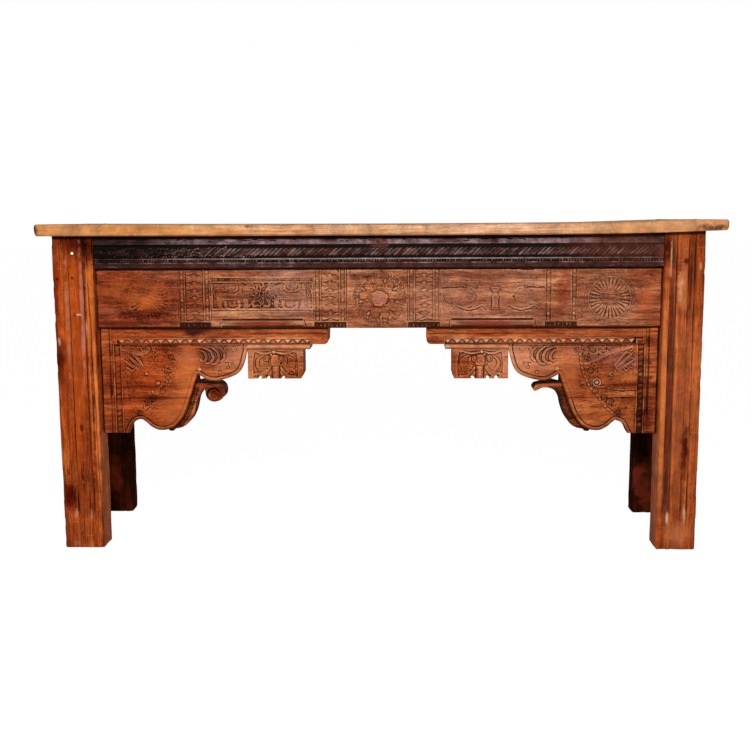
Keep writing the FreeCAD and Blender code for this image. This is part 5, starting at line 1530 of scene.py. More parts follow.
beastForm = {
    "body": ((-118, 22), (-119, 40), (-108, 52), (-88, 52), (-66, 50), (-54, 54), (-40, 46), (-34, 30),
             (-46, 17), (-74, 12), (-102, 14)),
    "back": ((-136, 53), (-118, 54), (-104, 56), (-88, 55), (-72, 57), (-58, 54)), "head": (-49, 50, 15, 9),
    "muzzle": (-36, 47, 7, 5), "hind": ((-116, 34), (-112, 20), (-98, 14), (-86, 20)),
    "feet": ((-100, -2), (-92, 5), (-84, 10), (-73, 5), (-56, 0), (-40, 1), (-27, 6), (-17, 10), (-8, 4),
             (-2, -2)),
    "breast": ((-36, 40), (-32, 30), (-38, 19)), "ear": ((-58, 55), (-64, 60), (-60, 52)),
}


def paintBeastPanel(canvas, cx, look):
    left, right = paintPanelFrame(canvas, cx, look, 0.25)
    base, ground = look["panelLow"] + 1, look["ground"]
    sinkBox(canvas, left + 4, right - 4, base - 4, look["panelHigh"] - 11, ground + 1.0, 3.5, dirtAndShade=0.0)
    for flip, shift in ((1, -10), (-1, 24)):
        at = partial(placed, x=cx + shift, z=base, flip=flip)
        spine = at(beastForm["back"])
        spine[:, 0] = np.clip(spine[:, 0], left + 1, right - 1)
        plateau(canvas, at(beastForm["body"]), ground + 0.7, 1.5, 14)
        stroke(canvas, at(beastForm["feet"]), 6.0, ground + 0.6, 1.6, (0.5, 0.5))
        groove(canvas, at([(x, z - 4.2) for x, z in beastForm["feet"][1:-1]]), 2.8, 1.7, (0.5, 0.5))
        for key, height in (("head", 3.3), ("muzzle", 2.9)):
            hx, hz, rx, rz = beastForm[key]
            (px, pz), = at([(hx, hz)])
            dome(canvas, px, pz, rx, rz, ground + 0.5, height, -flip * 0.3, 0.4)
        for curve in (spine, at(beastForm["hind"]), at(beastForm["breast"])):
            groove(canvas, curve, 2.8, 1.7, (0.8, 0.5))
        line = lineDistance(canvas["x"], canvas["z"], smoothLine(spine, 4))
        canvas["dirtAndShade"] += 0.5 * unit(1.5 - line / 1.6)
        stroke(canvas, at(beastForm["ear"]), 3.4, ground, 3.0, (0.8, 0.5))
        (px, pz), = at([(-45, 51)])
        sinkDisc(canvas, px, pz, 1.8, ground + 1.8, 0.8, dirtAndShade=0.7)
        stroke(canvas, at([(-44, 58), (-41, 63), (-35, 62), (-37, 57)]), 2.6, ground, 2.6, (1, 1))
        # painted sheen round each head
        canvas["haze"] += 0.5 * unit(1 - np.hypot(canvas["x"] - px, canvas["z"] - pz) / 17)
    vase = [(-4, 2), (19, 2), (18, 12), (17, 26), (20, 36), (14, 46), (24, 58), (22, 63), (-7, 63),
            (-8, 58), (2, 46),
            (-4, 36), (-2, 26), (-3, 12)]
    vase = placed(vase, cx, base - 5, 1, (0.88, 1.0))
    plateau(canvas, vase, ground + 0.2, 3.2, 4)
    line = lineDistance(canvas["x"], canvas["z"], np.vstack([vase, vase[:1]]))
    canvas["dirtAndShade"] += 0.55 * unit(1.4 - line / 1.8) * (0.7 + 0.5 * cloud(canvas["x"], canvas["z"], 14, 5))
    for z in (3, 25, 31, 41, 52):
        groove(canvas, placed([(-3, z), (18, z)], cx, base), 2.2, 1.3, (1, 1), smooth=False)
    # painted sheen on the vase
    canvas["haze"] += 0.35 * unit(1 - np.abs(canvas["x"] - cx - 7) / 14) * (canvas["z"] > base) * (
        canvas["z"] < base + 56)
    sinkDisc(canvas, cx + 54, base + 32, 3.2, ground, 1.2, dirtAndShade=0.9)
    # faint painted sheen over the whole panel
    canvas["haze"] += 0.18 * (np.abs(canvas["x"] - cx) < 135)


def friezeCanvas(look):
    canvas = newCanvas(look["left"] - 2, look["right"] + 2, look["low"] - 2, look["high"] + 2,
                       look["plain"])
    x, z = canvas["x"], canvas["z"]
    canvas["h"] += grainField(x, z, 21) * 0.5 * (np.abs(x - look["middle"]) > 662)
    for k, offset in enumerate(look["rosettes"]):
        paintWheel(canvas, look["middle"] + offset, look["centreZ"], look, 1 - k * 0.75, 5 + k)
    for k, offset in enumerate(look["bands"]):
        paintBand(canvas, look["middle"] + offset, look, look["bandWear"][k], 12 + k)
    paintMedallion(canvas, look["middle"] + 6, look["centreZ"] + 0.5, look)
    paintElephantPanel(canvas, look["middle"] - look["panelOffset"], look)
    paintBeastPanel(canvas, look["middle"] + look["panelOffset"], look)
    # painted shadow of the rail along the top of the frieze
    sinkBox(canvas, look["left"], look["right"], look["high"] - 3.6, look["high"] + 3, look["ground"], 1.4,
            dirtAndShade=1.0)
    under = look["middle"] + np.array([-1, 1]) * 140
    # painted shade along the bottom edge, over the beams
    canvas["dirtAndShade"] += 1.2 * unit((593.5 - z) / 2.5) * ((x < under[0]) | (x > under[1]))
    worn = np.clip(cloud(x, z, 40, 17) * 0.7, 0, 0.5) * (z > look["barHigh"] + 5) * (z < look["high"] - 4)
    for offset in (*look["rosettes"], 6):
        worn *= np.clip((np.hypot(x - look["middle"] - offset, z - look["centreZ"]) - 60) / 20, 0.15, 1)
    wornDown(canvas, worn, look["ground"] + 1.4)
    lumpy(canvas, (z > look["barHigh"] + 5) * 1.0, 25, 0.42, 0.3)
    canvas["dirtAndShade"] += 0.9 * unit((4 - np.minimum(x - look["left"], look["right"] - x)) / 3)
    # grey streak near the left end, a split near the right end
    streak = unit(1 - np.hypot((x + 716) / 46, (z - 634) / 9))
    canvas["haze"] += streak * 1.6
    # four leaves with a painted highlight
    for px, pz in look["brightLeaves"]:
        stroke(canvas, [(px - 10, pz - 2), (px, pz), (px + 10, pz + 3)], 6.0, look["ground"], 3.6,
               (0.4, 0.4))
        canvas["haze"] += 1.6 * unit(1.2 - np.hypot((x - px) / 11, (z - pz - (x - px) * 0.2) / 4))
    groove(canvas, [(321, 742), (360, 739), (436, 736)], 1.8, 3.0, (0.6, 0.2))
    weather(canvas, 31, 0.3, 0.26)
    nicked(canvas, 190, 8)
    canvas["dirtAndShade"] += 0.10 * np.clip(cloud(x, z, 60, 9), -0.2, 1)
    return canvas


def friezePearls(look):
    y = look["front"] + 1.7
    middle, half = look["middle"], look["bandWidth"] / 2
    strips, rings, tops, wreath = [], [], [], []
    for offset in look["bands"]:
        for side in (-1, 1):
            x = middle + offset + side * (half - look["stripWidth"] / 2)
            strips.append([(x, y + 1.2, look["bandLow"] + 5), (x, y + 1.2, look["high"] - 8)])
    for offset in look["rosettes"]:
        rings.append(flatLine(arcPoints(middle + offset, look["centreZ"], 62.0, 0, 360, 80), y + 1.1))
    for radius in (look["medallionRadius"] - 13, look["medallionRadius"] - 4):
        wreath.append(flatLine(arcPoints(middle + 6, look["centreZ"] + 0.5, radius, 0, 360, 80), y + 0.4))
    near, far = look["bands"][2] + half + 8, look["bands"][3] - half - 8
    tops.append([(middle - far, y + 0.9, look["panelHigh"] + 7.6),
                 (middle - near, y + 0.9, look["panelHigh"] + 7.6)])
    return [chipRow("stripPearls", strips, "bead", look["pearl"], friezeWood),
            chipRow("ringDashes", rings, "bead", look["ringDash"], friezeWood),
            chipRow("wreathDashes", wreath, "bead", look["wreathDash"], friezeWood),
            chipRow("topPearls", tops, "bead", look["topPearl"], friezeWood)]


def makeFrieze(look):
    outline = [(look["left"], look["low"]), (look["right"], look["low"]),
               (look["right"], look["high"]), (look["left"], look["high"])]
    board = carvedBoard("frieze_board_wood", np.array(outline, float), friezeCanvas(look), look["front"],
                        look["back"], look)
    board.data.materials.append(friezeWood)
    joined(board, *friezePearls(look))
    settle(board, friezeWood, "frieze_wood", "frieze_board")


makeFrieze(friezeShape)
print("frieze made")


# Corbel brackets, each measured from its post (along) and from the underside of the frieze (down)

bracketShape = {
    "reach": 605.0, "drop": 280.0, "top": 588.0, "left": (-738.5, 1), "right": (728.0, -1),
    "stile": 34.0, "plateFront": -182.0, "plateBack": -160.0, "bodyBack": -97.0, "beamFront": -186.0,
    "beamLow": 545.0, "beadLow": 531.0, "joint": 402.0, "pendantStart": 390.8, "pendantFront": -178.0,
    "endBlock": 49.0, "endRadius": 12.0, "backing": 25.0,
    "lobe": ((0.646, 0.204), (0.640, 0.254), (0.633, 0.314), (0.621, 0.382), (0.603, 0.429), (0.572, 0.464),
             (0.532, 0.489), (0.496, 0.500), (0.466, 0.486), (0.443, 0.457), (0.425, 0.432)),
    "edge": ((0.425, 0.432), (0.417, 0.479), (0.407, 0.543), (0.395, 0.621), (0.388, 0.664)),
    "belly": ((0.388, 0.664), (0.379, 0.725), (0.365, 0.804), (0.345, 0.875), (0.319, 0.935),
              (0.284, 0.968),
              (0.248, 0.970), (0.217, 0.940), (0.195, 0.898), (0.180, 0.872)),
    "leftNotch": ((0.180, 0.872), (0.165, 0.868), (0.150, 0.880)),
    "rightNotch": ((0.180, 0.872), (0.167, 0.884), (0.152, 0.898)),
    "leftFoot": ((0.150, 0.880), (0.137, 0.903), (0.126, 0.945), (0.114, 1.0)),
    "rightFoot": ((0.152, 0.898), (0.142, 0.935), (0.135, 0.968), (0.127, 1.0)),
    "scroll": ((0.413, 0.521), (0.433, 0.514), (0.456, 0.521), (0.483, 0.529), (0.509, 0.529),
               (0.526, 0.550),
               (0.536, 0.589), (0.537, 0.636), (0.529, 0.675), (0.511, 0.704), (0.488, 0.714),
               (0.468, 0.700),
               (0.456, 0.671), (0.451, 0.636), (0.450, 0.604)),
    "scrollUnder": ((0.450, 0.604), (0.446, 0.591), (0.440, 0.600), (0.431, 0.629), (0.423, 0.654)),
    "stub": ((0.413, 0.536), (0.433, 0.524), (0.456, 0.521), (0.483, 0.529), (0.504, 0.543), (0.521, 0.554),
             (0.532, 0.582), (0.530, 0.609), (0.521, 0.611)),
    "stubUnder": ((0.521, 0.611), (0.499, 0.586), (0.486, 0.579), (0.464, 0.582), (0.447, 0.596),
                  (0.432, 0.625), (0.423, 0.654)),
    "bodyEdge": ((0.423, 0.654), (0.415, 0.686), (0.410, 0.729), (0.403, 0.793), (0.390, 0.864),
                 (0.370, 0.925),
                 (0.344, 0.961), (0.314, 0.975)),
    "nub": ((0.314, 0.975), (0.307, 0.993), (0.291, 0.996), (0.281, 0.979)),
    "bodyBottom": ((0.281, 0.979), (0.248, 0.975), (0.220, 0.954), (0.195, 0.918), (0.179, 0.875)),
    "bodyFoot": ((0.179, 0.875), (0.172, 0.829), (0.145, 0.829), (0.099, 0.921), (0.099, 0.986)),
    "backingEdge": ((0.636, 0.204), (0.630, 0.250), (0.617, 0.354), (0.598, 0.411), (0.569, 0.446),
                    (0.529, 0.471), (0.496, 0.482), (0.469, 0.468), (0.446, 0.439), (0.426, 0.407)),
    "bodySide": 0.413, "eye": (0.488, 0.646), "eyeRadius": 15.0,
}


# places given as (along from the post, height) on a corbel
def alongBracket(side, points):
    start, way = bracketShape[side]
    p = np.asarray(points, float)
    return np.column_stack([start + way * p[:, 0], p[:, 1]])


# smooth runs of a corbel's outline, each stretch through its own points
def bracketRun(*names):
    out = []
    for name in names:
        p = np.array(bracketShape[name]) * (bracketShape["reach"], -bracketShape["drop"])
        p[:, 1] += bracketShape["top"]
        out.append(smoothLine(p, 6) if len(p) > 2 else p)
    return np.vstack(out)


plateLook = {
    "gap": 1.75, "top": 4.4, "ease": 1.6, "sideRows": 4, "seed": 14, "sideDarkening": 0.25, "calm": 0.85,
    "bandClear": {"left": 0.25, "right": 0.8}, "plain": 3.1, "ground": 1.5, "rim": 8.0,
    "strip": (36.5, 56.0), "chainGap": 14.5,
    "chainDepth": {"left": 0.8, "right": 1.0}, "stripDirt": {"left": 0.2, "right": 0.34},
    "fieldWear": {"left": 0.8, "right": 0.5}, "commas": {"left": 84, "right": 60},
    "rimEdgeShade": {"left": 0.3, "right": 0.5},
}
leafWork = {
    "band": ((206, 541), (203, 512), (199, 486), (190, 459), (174, 428), (152, 402), (128, 371),
             (104, 354)),
    "sweep": {"left": ((57, 532), (80, 527), (104, 521), (122, 524), (132, 534)),
              "right": ((190, 492), (160, 505), (121, 524), (89, 532), (70, 538))},
    "flower": {"left": (152, 442), "right": (159.5, 443)},
    "curls": ((129, 534, 6), (213, 528, 7), (173, 531, 7), (188, 511, 6), (176, 474, 6), (139, 402, 7),
              (123, 391, 8), (163, 420, 6), (101, 361, 7)),
    "sprays": (((109, 482), (94, 496), (72, 517)), ((112, 488), (102, 504), (84, 524)),
               ((104, 478), (86, 487), (64, 503))),
    "scallops": ((112, 474), (106, 481), (99, 473), (91, 481), (84, 474), (76, 481), (69, 483)),
    "tendrils": (((146, 517), (156, 523), (168, 517), (176, 521)),
                 ((150, 507), (164, 511), (178, 505), (192, 507)),
                 ((196, 470), (186, 462), (188, 450)), ((168, 452), (176, 446), (172, 436)),
                 ((120, 470), (126, 464), (118, 460)), ((136, 424), (142, 417), (132, 414))),
    "lowLeaves": (((150, 398), (138, 384), (124, 380), (112, 368)), ((128, 392), (116, 386), (106, 392)),
                  ((92, 366), (104, 358), (116, 352), (126, 354)), ((84, 352), (96, 346), (104, 350))),
    "lobeArcs": (((262, 530), (276, 524), (282, 510), (276, 500), (268, 503)),
                 ((276, 536), (294, 526), (300, 508), (291, 496), (280, 495)),
                 ((296, 538), (312, 524), (315, 506), (306, 494), (296, 492)),
                 ((318, 538), (329, 524), (329, 508), (321, 500))),
    "lobeRings": ((316, 470, 5.0), (339, 483, 4.2), (350, 495, 3.2)), "knob": (263, 479, 5.6),
    "lobeCurls": ((337, 532, 7), (356, 532, 5)),
    "volute": ((214, 534), (238, 537), (256, 524), (256, 496), (250, 450), (240, 410), (220, 404),
               (196, 412),
               (204, 450), (212, 490)),
}


# outlines of the upper and the lower carved board, and their free edge
def plateOutlines(side):
    shape = bracketShape
    lobe, edge, belly = bracketRun("lobe"), bracketRun("edge"), bracketRun("belly")
    notch, foot = bracketRun(side + "Notch"), bracketRun(side + "Foot")
    lobe[0, 0] = shape["pendantStart"]
    edge[-1, 1] = belly[0, 1] = shape["joint"]
    upper = np.vstack([[(shape["stile"], shape["beamLow"]), (shape["pendantStart"], shape["beamLow"])],
                       lobe, edge[1:], [(shape["stile"], shape["joint"])]])
    low = foot[-1, 1]
    lower = np.vstack([[(shape["stile"], shape["joint"])], belly, notch[1:], foot[1:],
                       [(shape["stile"], low)]])
    free = np.vstack([[(shape["pendantStart"], shape["beamLow"])], lobe, edge[1:], belly[1:], notch[1:],
                      foot[1:]])
    return upper, lower, free


# border strip: scales with a drop between them, on a dark ground, some of them gone
def paintChain(canvas, line, look, depth, seed):
    shake = np.random.RandomState(seed)
    gap = look["chainGap"]
    line = spread(line, gap)
    for x, z in line[:-1]:
        lean = shake.uniform(0.25, 0.7)
        x, z = x + shake.uniform(-1.2, 1.2), z + shake.uniform(-1.2, 1.2)
        height = depth * shake.choice((0.6, 0.9, 1.0))
        size = shake.uniform(0.9, 1.15)
        dome(canvas, x, z, 8.4 * size, gap * 0.42 * size, look["ground"] - 0.4, 3.0 * height, lean, 0.8)


def plateCanvas(side, look, work, free):
    shape = bracketShape
    ends = alongBracket(side, [(28, 300), (396, 550)])
    canvas = newCanvas(ends[:, 0].min(), ends[:, 0].max(), 300, 550, look["plain"])
    x, z = canvas["x"], canvas["z"]
    start, way = shape[side]
    along = (x - start) * way
    ground, top = look["ground"], look["top"]
    shake = np.random.RandomState(3 if side == "left" else 8)

    def at(points):
        return alongBracket(side, points)

    def within(loop, soft):
        loop = at(loop)
        inside = lineDistance(x, z, np.vstack([loop, loop[:1]])) * insideLoop(x, z, loop)
        return unit(inside / soft)

    away = lineDistance(x, z, at(free)[::2])
    # carved field between the border strip and the smooth fan
    field = within([(60, 543), (208, 543), (204, 500), (196, 470), (176, 430), (150, 398), (124, 366),
                    (98, 348), (84, 352), (70, 400), (62, 470)], 3)
    wornDown(canvas, field, ground + 0.6)
    canvas["dirtAndShade"] += field * (0.02 if side == "left" else 0.06)
    lobe = within([(262, 543), (372, 543), (362, 508), (346, 480), (316, 468), (290, 470), (262, 486)], 4)
    wornDown(canvas, lobe, ground + 1.0)
    # border strip by the stile
    near, far = look["strip"]
    depth = look["chainDepth"][side]
    sinkBox(canvas, *sorted(at([(near, 0), (far, 0)])[:, 0]), 300, 545, ground + 0.8 * (1 - depth), 1.5,
            dirtAndShade=look["stripDirt"][side])
    for u in (near, far):
        line = [(u + shake.uniform(-0.6, 0.6), w) for w in np.linspace(300, 544, 14)]
        stroke(canvas, at(line), 3.4, ground, 2.2 + depth, (1, 1))
    paintChain(canvas, at([((near + far) / 2, 316), ((near + far) / 2, 538)]), look, depth, 4)
    # leaf work
    for _ in range(look["commas"][side]):
        u, w = shake.uniform(64, 206), 541 - abs(shake.normal(0, 26))
        if shake.uniform(0, 1) < 0.5:
            k = shake.randint(1, len(work["band"]) - 1)
            u, w = work["band"][k][0] - abs(shake.normal(6, 10)), work["band"][k][1] + shake.normal(0, 10)
        (cx, cz), = at([(u, w)])
        comma(canvas, cx, cz, shake.uniform(3.0, 5.5), shake, ground + 0.5, shake.uniform(1.4, 2.6))
    sweep = at(work["sweep"][side])
    stroke(canvas, sweep, 13, ground + 0.3, 2.8, (0.45, 0.45), power=0.4)
    groove(canvas, sweep + (0, 1.5), 2.2, 1.0)
    for line in work["sprays"]:
        stroke(canvas, at(line), 9.5, ground, 3.4, (0.8, 0.3))
        groove(canvas, at(line), 2.4, 1.6, (0.8, 0.3))
        # painted sheen along the sprays
        canvas["haze"] += 0.5 * unit(1 - lineDistance(x, z, smoothLine(at(line), 4)) / 3)
    stroke(canvas, at(work["scallops"]), 5.0, ground, 3.0, (0.9, 0.7))
    for line in work["tendrils"] + work["lowLeaves"]:
        stroke(canvas, at(line), 6.0, ground, 2.7, (1, 0.4))
        groove(canvas, at(line), 1.8, 1.0, (1, 0.4))
    band = at(work["band"])
    clear = look["bandClear"][side]
    stroke(canvas, band, 12, ground + 0.2, 1.0 + 1.4 * clear, (1, 0.8), power=0.3)
    dense = spread(smoothLine(band, 6), 3.0)
    step = np.gradient(dense, axis=0)
    normal = np.column_stack([step[:, 1], -step[:, 0]]) / (np.linalg.norm(step, axis=1)[:, None] + 1e-9)
    for shift in (-4.0, 4.0):
        groove(canvas, dense[::3] + normal[::3] * shift, 2.4, 1.5 * clear, (1, 1), smooth=False)
    for k in range(4, len(dense) - 3, 4):
        px, pz = dense[k] + shake.uniform(-1, 1, 2)
        dome(canvas, px, pz, 3.2, 2.4, ground + 1.8, 0.5 + 1.1 * clear, math.atan2(step[k, 1], step[k, 0]))
        sinkDisc(canvas, *(dense[k + 2]), 2.4, ground + 1.2, 1.0, dirtAndShade=0.24 * clear)
    for u, w, r in work["curls"]:
        (cx, cz), = at([(u, w)])
        stroke(canvas, spiral(cx, cz, r, 1.6, 1.4, shake.uniform(0, 6), way), 3.8, ground, 3.2, (0.7, 0.9))
        dome(canvas, cx, cz, 2.2, 2.2, ground + 0.5, 2.8)
        canvas["dirtAndShade"] += 0.35 * unit((r + 4 - np.hypot(x - cx, z - cz)) / 4)
    (cx, cz), = at([work["flower"][side]])
    if side == "right":
        sinkDisc(canvas, cx, cz, 13, ground, 1.5, dirtAndShade=0.16)
        stroke(canvas, arcPoints(cx, cz, 9.5, 0, 360, 30), 4.2, ground, 2.7, (1, 1), smooth=False)
        dome(canvas, cx, cz, 5.2, 5.2, ground, 3.2)
        # painted highlight on the flower
        canvas["haze"] += 0.5 * unit((12.5 - np.hypot(x - cx, z - cz)) / 3)
    else:
        for (px, pz), r in zip(at([work["flower"][side], (122, 467), (137, 419)]), (5.5, 5.0, 4.0)):
            sinkDisc(canvas, px, pz, r + 3, ground + 0.2, 1.5, dirtAndShade=0.1)
            dome(canvas, px, pz, r, r * 0.8, ground, 3.2, 0.5)
            # painted highlights on the small domes
            canvas["haze"] += 0.9 * unit((r - np.hypot(x - px, z - pz)) / 2.5)
    # hanging lobe
    for line in work["lobeArcs"]:
        stroke(canvas, at(line), 8.0, ground + 0.2, 3.4, (0.5, 0.8), power=0.45)
        groove(canvas, at(line), 1.8, 1.0, (0.6, 0.8))
    leafy = within([(262, 542), (334, 542), (336, 512), (322, 496), (296, 486), (270, 494)], 5)
    canvas["dirtAndShade"] += 0.28 * leafy
    for u, w, r in work["lobeRings"]:
        (cx, cz), = at([(u, w)])
        groove(canvas, arcPoints(cx, cz, r, 0, 360, 18), 2.2, 1.5, (1, 1), smooth=False)
    groove(canvas, at([(331, 496), (348, 497)]), 2.4, 1.4, (0.8, 0.8))
    groove(canvas, at([(340, 496), (339, 488)]), 2.4, 1.4, (0.8, 0.8))
    u, w, r = work["knob"]
    (cx, cz), = at([(u, w)])
    dome(canvas, cx, cz, r, r, ground + 1.4, 2.6)
    # painted highlight on the knob
    canvas["haze"] += 0.9 * unit((r - np.hypot(x - cx, z - cz)) / 2)
    for u, w, r in work["lobeCurls"]:
        (cx, cz), = at([(u, w)])
        stroke(canvas, spiral(cx, cz, r, 2.0, 1.3, 2.0, way), 3.8, ground, 3.0, (0.8, 0.9))
    # smooth fan between the band and the edge
    plateau(canvas, at(work["volute"]), ground + 0.8, top - ground - 1.2, 9)
    if side == "right":
        groove(canvas, spiral(*at([(197, 433)])[0], 6, 1.5, 1.5, 0.5), 2.6, 1.6, (0.8, 0.8))
    worn = look["fieldWear"][side] * unit(cloud(x, z, 24, 12) * 1.3 + 0.15)
    wornDown(canvas, worn * unit((200 - along) / 20), ground + 1.7)
    lumpy(canvas, field * 0.8 + 0.2, 33, 0.4, 0.55)
    settledDirt(canvas, field, ground + 0.7, 0.16)
    # raised rim on the free edge, with its groove; painted highlight along the rim, painted shade on the
    # outer arris
    sunk = unit((12.5 - away) / 1.2) * unit((away - 8.2) / 1.2)
    canvas["h"] -= sunk * 0.8
    rim = unit((look["rim"] - away) / 1.2)
    wornDown(canvas, rim, top - 0.25)
    canvas["dirtAndShade"] *= 1 - rim
    canvas["dirtAndShade"] += 0.3 * sunk * unit(0.8 + 0.5 * cloud(x, z, 22, 5))
    # painted shade on the outer arris, darker towards the bottom
    canvas["dirtAndShade"] += look["rimEdgeShade"][side] * unit((4 - away) / 2.5) * np.clip((450 - z) / 40, 0.25, 1)
    # painted highlight along the rim
    canvas["haze"] += 0.35 * unit(1 - np.abs(away - 6.6) / 1.4) * unit(cloud(x, z, 30, 9) + 0.5)
    # painted shade under the beam along the top of the board
    upperRow = unit((z - 538) / 3)
    canvas["dirtAndShade"] += upperRow * 0.25
    canvas["h"] -= upperRow * 1.2
    # painted sheen on the lobe's top, along the sweep and on the fan
    canvas["haze"] += 0.3 * unit((along - 262) / 40) * unit((z - 470) / 40)
    canvas["haze"] += 0.35 * unit(1 - lineDistance(x, z, smoothLine(sweep, 4)) / 9)
    canvas["haze"] += 0.25 * unit(1 - np.hypot(along - 232, z - 505) / 40)
    if side == "right":
        crack = at([(151, 427), (126, 424), (96, 420), (60, 422)])
        groove(canvas, crack, 2.8, 3.4, (0.6, 0.5))
        canvas["dirtAndShade"] += 0.9 * unit(1.3 - lineDistance(x, z, smoothLine(crack, 4)) / 1.8)
        crumbled = np.clip(0.5 + 0.7 * cloud(x, z, 9, 8), 0, 1.2) * unit((505 - z) / 40)
        canvas["dirtAndShade"] += 0.5 * unit(1.2 - np.abs(along - 48) / 18) * crumbled
    seam = unit(1.5 - np.abs(z - shape["joint"]) / 1.6) * (along > 58)
    canvas["dirtAndShade"] += seam * (0.5 + 0.4 * np.clip(cloud(x, z, 50, 4), -1, 1))
    canvas["dirtAndShade"] += 0.16 * unit(cloud(x, z, 34, 6)) * (along < 205)
    weather(canvas, 41 if side == "left" else 47, 0.3, 0.24)
    nicked(canvas, 70, 21 if side == "left" else 22)
    return canvas


def makePlates(side, look):
    upper, lower, free = plateOutlines(side)
    canvas = plateCanvas(side, look, leafWork, free)
    for name, outline in (("bracket_upper_board_", upper), ("bracket_lower_board_", lower)):
        board = carvedBoard(name + side + "_wood", anticlockwise(alongBracket(side, outline)), canvas,
                            bracketShape["plateFront"], bracketShape["plateBack"], look)
        settle(board, bracketWood, "bracket_wood", name + side)


beamLook = {
    "gap": 2.2, "top": 5.2, "ease": 1.8, "sideRows": 12, "seed": 16, "sideDarkening": 0.2,
    "rowStart": {"left": 61.0, "right": 74.0},
    # pale teeth: painted highlight on their faces
    "tooth": {"gap": 24.6, "size": (21.0, 7.0, 12.5), "jitter": 0.08, "seed": 5, "hollowness": -0.9,
              "haze": 1.3, "uneven": 0.6},
    "chevron": {"gap": 24.6, "size": (21.0, 5.0, 12.0), "turn": 180.0, "jitter": 0.06, "seed": 7,
                "hollowness": -0.1, "haze": 0.25, "uneven": 0.25},
}


# level arm: plain band above, row of pointed teeth below, rounded far end
def makeBeam(side, look):
    shape = bracketShape
    far, low, high, r = shape["reach"], shape["beamLow"], shape["top"], shape["endRadius"]
    corner = [(far - r + r * math.cos(a), low + r - r * math.sin(a))
              for a in np.linspace(0, math.pi / 2, 7)]
    outline = [(shape["stile"], high), (far, high)] + corner + [(shape["stile"], low)]
    ends = alongBracket(side, [(30, 0), (610, 0)])[:, 0]
    canvas = newCanvas(ends.min(), ends.max(), 540, 592, look["top"] - 0.5)
    x, z = canvas["x"], canvas["z"]
    start = look["rowStart"][side]
    stepEnds = sorted(alongBracket(side, [(start - 13, 0), (far - shape["endBlock"], 0)])[:, 0])
    sinkBox(canvas, *stepEnds, 530, 559.5, 0.3, 1.2, dirtAndShade=0.6)
    canvas["dirtAndShade"] *= 1 - 0.5 * unit((550 - z) / 3)
    if side == "right":
        groove(canvas, alongBracket(side, [(44, 546), (44, 588)]), 1.8, 1.0, (1, 1), smooth=False)
        groove(canvas, alongBracket(side, [(46, 561), (80, 560)]), 4.4, 1.8, (1, 0.3), smooth=False)
        jointLine = alongBracket(side, [(46, 561), (76, 560)])
        canvas["dirtAndShade"] += 0.7 * unit(1.4 - lineDistance(x, z, jointLine) / 2)
    # painted shadow of the frieze along the top of the beam
    canvas["dirtAndShade"] += 1.1 * unit((z - 583.5) / 2.5)
    groove(canvas, alongBracket(side, [(34, 563), (far - 30, 563)]), 2.4, 1.1, (1, 0.2), smooth=False)
    groove(canvas, alongBracket(side, [(34, 572), (far - 4, 573)]), 1.6, 0.5, (1, 0.4), smooth=False)
    canvas["dirtAndShade"] += 0.14 * unit(1 - np.abs(z - 563) / 4)
    weather(canvas, 51 if side == "left" else 55, 0.4, 0.4)
    beam = carvedBoard("bracket_beam_" + side + "_wood", anticlockwise(alongBracket(side, outline)), canvas,
                       shape["beamFront"], shape["bodyBack"], look)
    y = shape["beamFront"] + look["top"] - 0.8
    length = far - shape["endBlock"] - 6 - start
    half = length / int(length / look["tooth"]["gap"]) / 2
    teeth = flatLine(alongBracket(side, [(start, 554.6), (start + length, 554.6)]), y)
    points = flatLine(alongBracket(side, [(start + half, 551.2), (start + length - half, 551.2)]), y + 0.9)
    if side == "right":
        teeth, points = teeth[::-1], points[::-1]
    beam.data.materials.append(bracketWood)
    joined(beam, chipRow("beamTeeth", [teeth], "tooth", look["tooth"], bracketWood),
           chipRow("beamPoints", [points], "tooth", look["chevron"], bracketWood))
    settle(beam, bracketWood, "bracket_wood", "bracket_beam_" + side)


# half-round moulding over the hanging block, with a painted highlight along its crown
def makeBead(side):
    shape = bracketShape
    x0, x1 = sorted(alongBracket(side, [(shape["pendantStart"], 0),
                                        (shape["reach"] - shape["endBlock"], 0)])[:, 0])
    middle, radius, front = 538.0, 5.4, shape["pendantFront"]
    half = [(front - radius * math.cos(a), middle + radius * math.sin(a))
            for a in np.linspace(-1.57, 1.57, 11)]
    back = [(y, 544.9) for y in np.linspace(front + 1, shape["bodyBack"], 14)]
    back += [(y, 531.1) for y in np.linspace(shape["bodyBack"], front + 1, 14)]
    section = np.array(half + back)
    rings, carve, haze = [], [], []
    # painted highlight along the crown of the bead
    crown = np.where(np.arange(len(section)) < 11, np.exp(-((np.arange(len(section)) - 6) / 1.7) ** 2), 0)
    for x in np.linspace(x0 + 0.2, x1 - 0.2, 70):
        haze.append(crown * (0.8 + 0.5 * float(cloud(x, 0, 22, 6))))
        dent = (cloud(x, section[:, 1] * 2, 14, 3) - 1) * 0.2
        ring = np.column_stack([np.full(len(section), x), section[:, 0] - dent, section[:, 1]])
        rings.append(ring)
        carve.append(np.where(np.arange(len(section)) < 11, -0.35, 0.4))
    bead = sweptBar("bracket_bead_" + side + "_wood", rings, np.concatenate(carve), 50)
    keepLayer(bead.data, "haze", np.concatenate(haze))
    settle(bead, bracketWood, "bracket_wood", "bracket_bead_" + side)


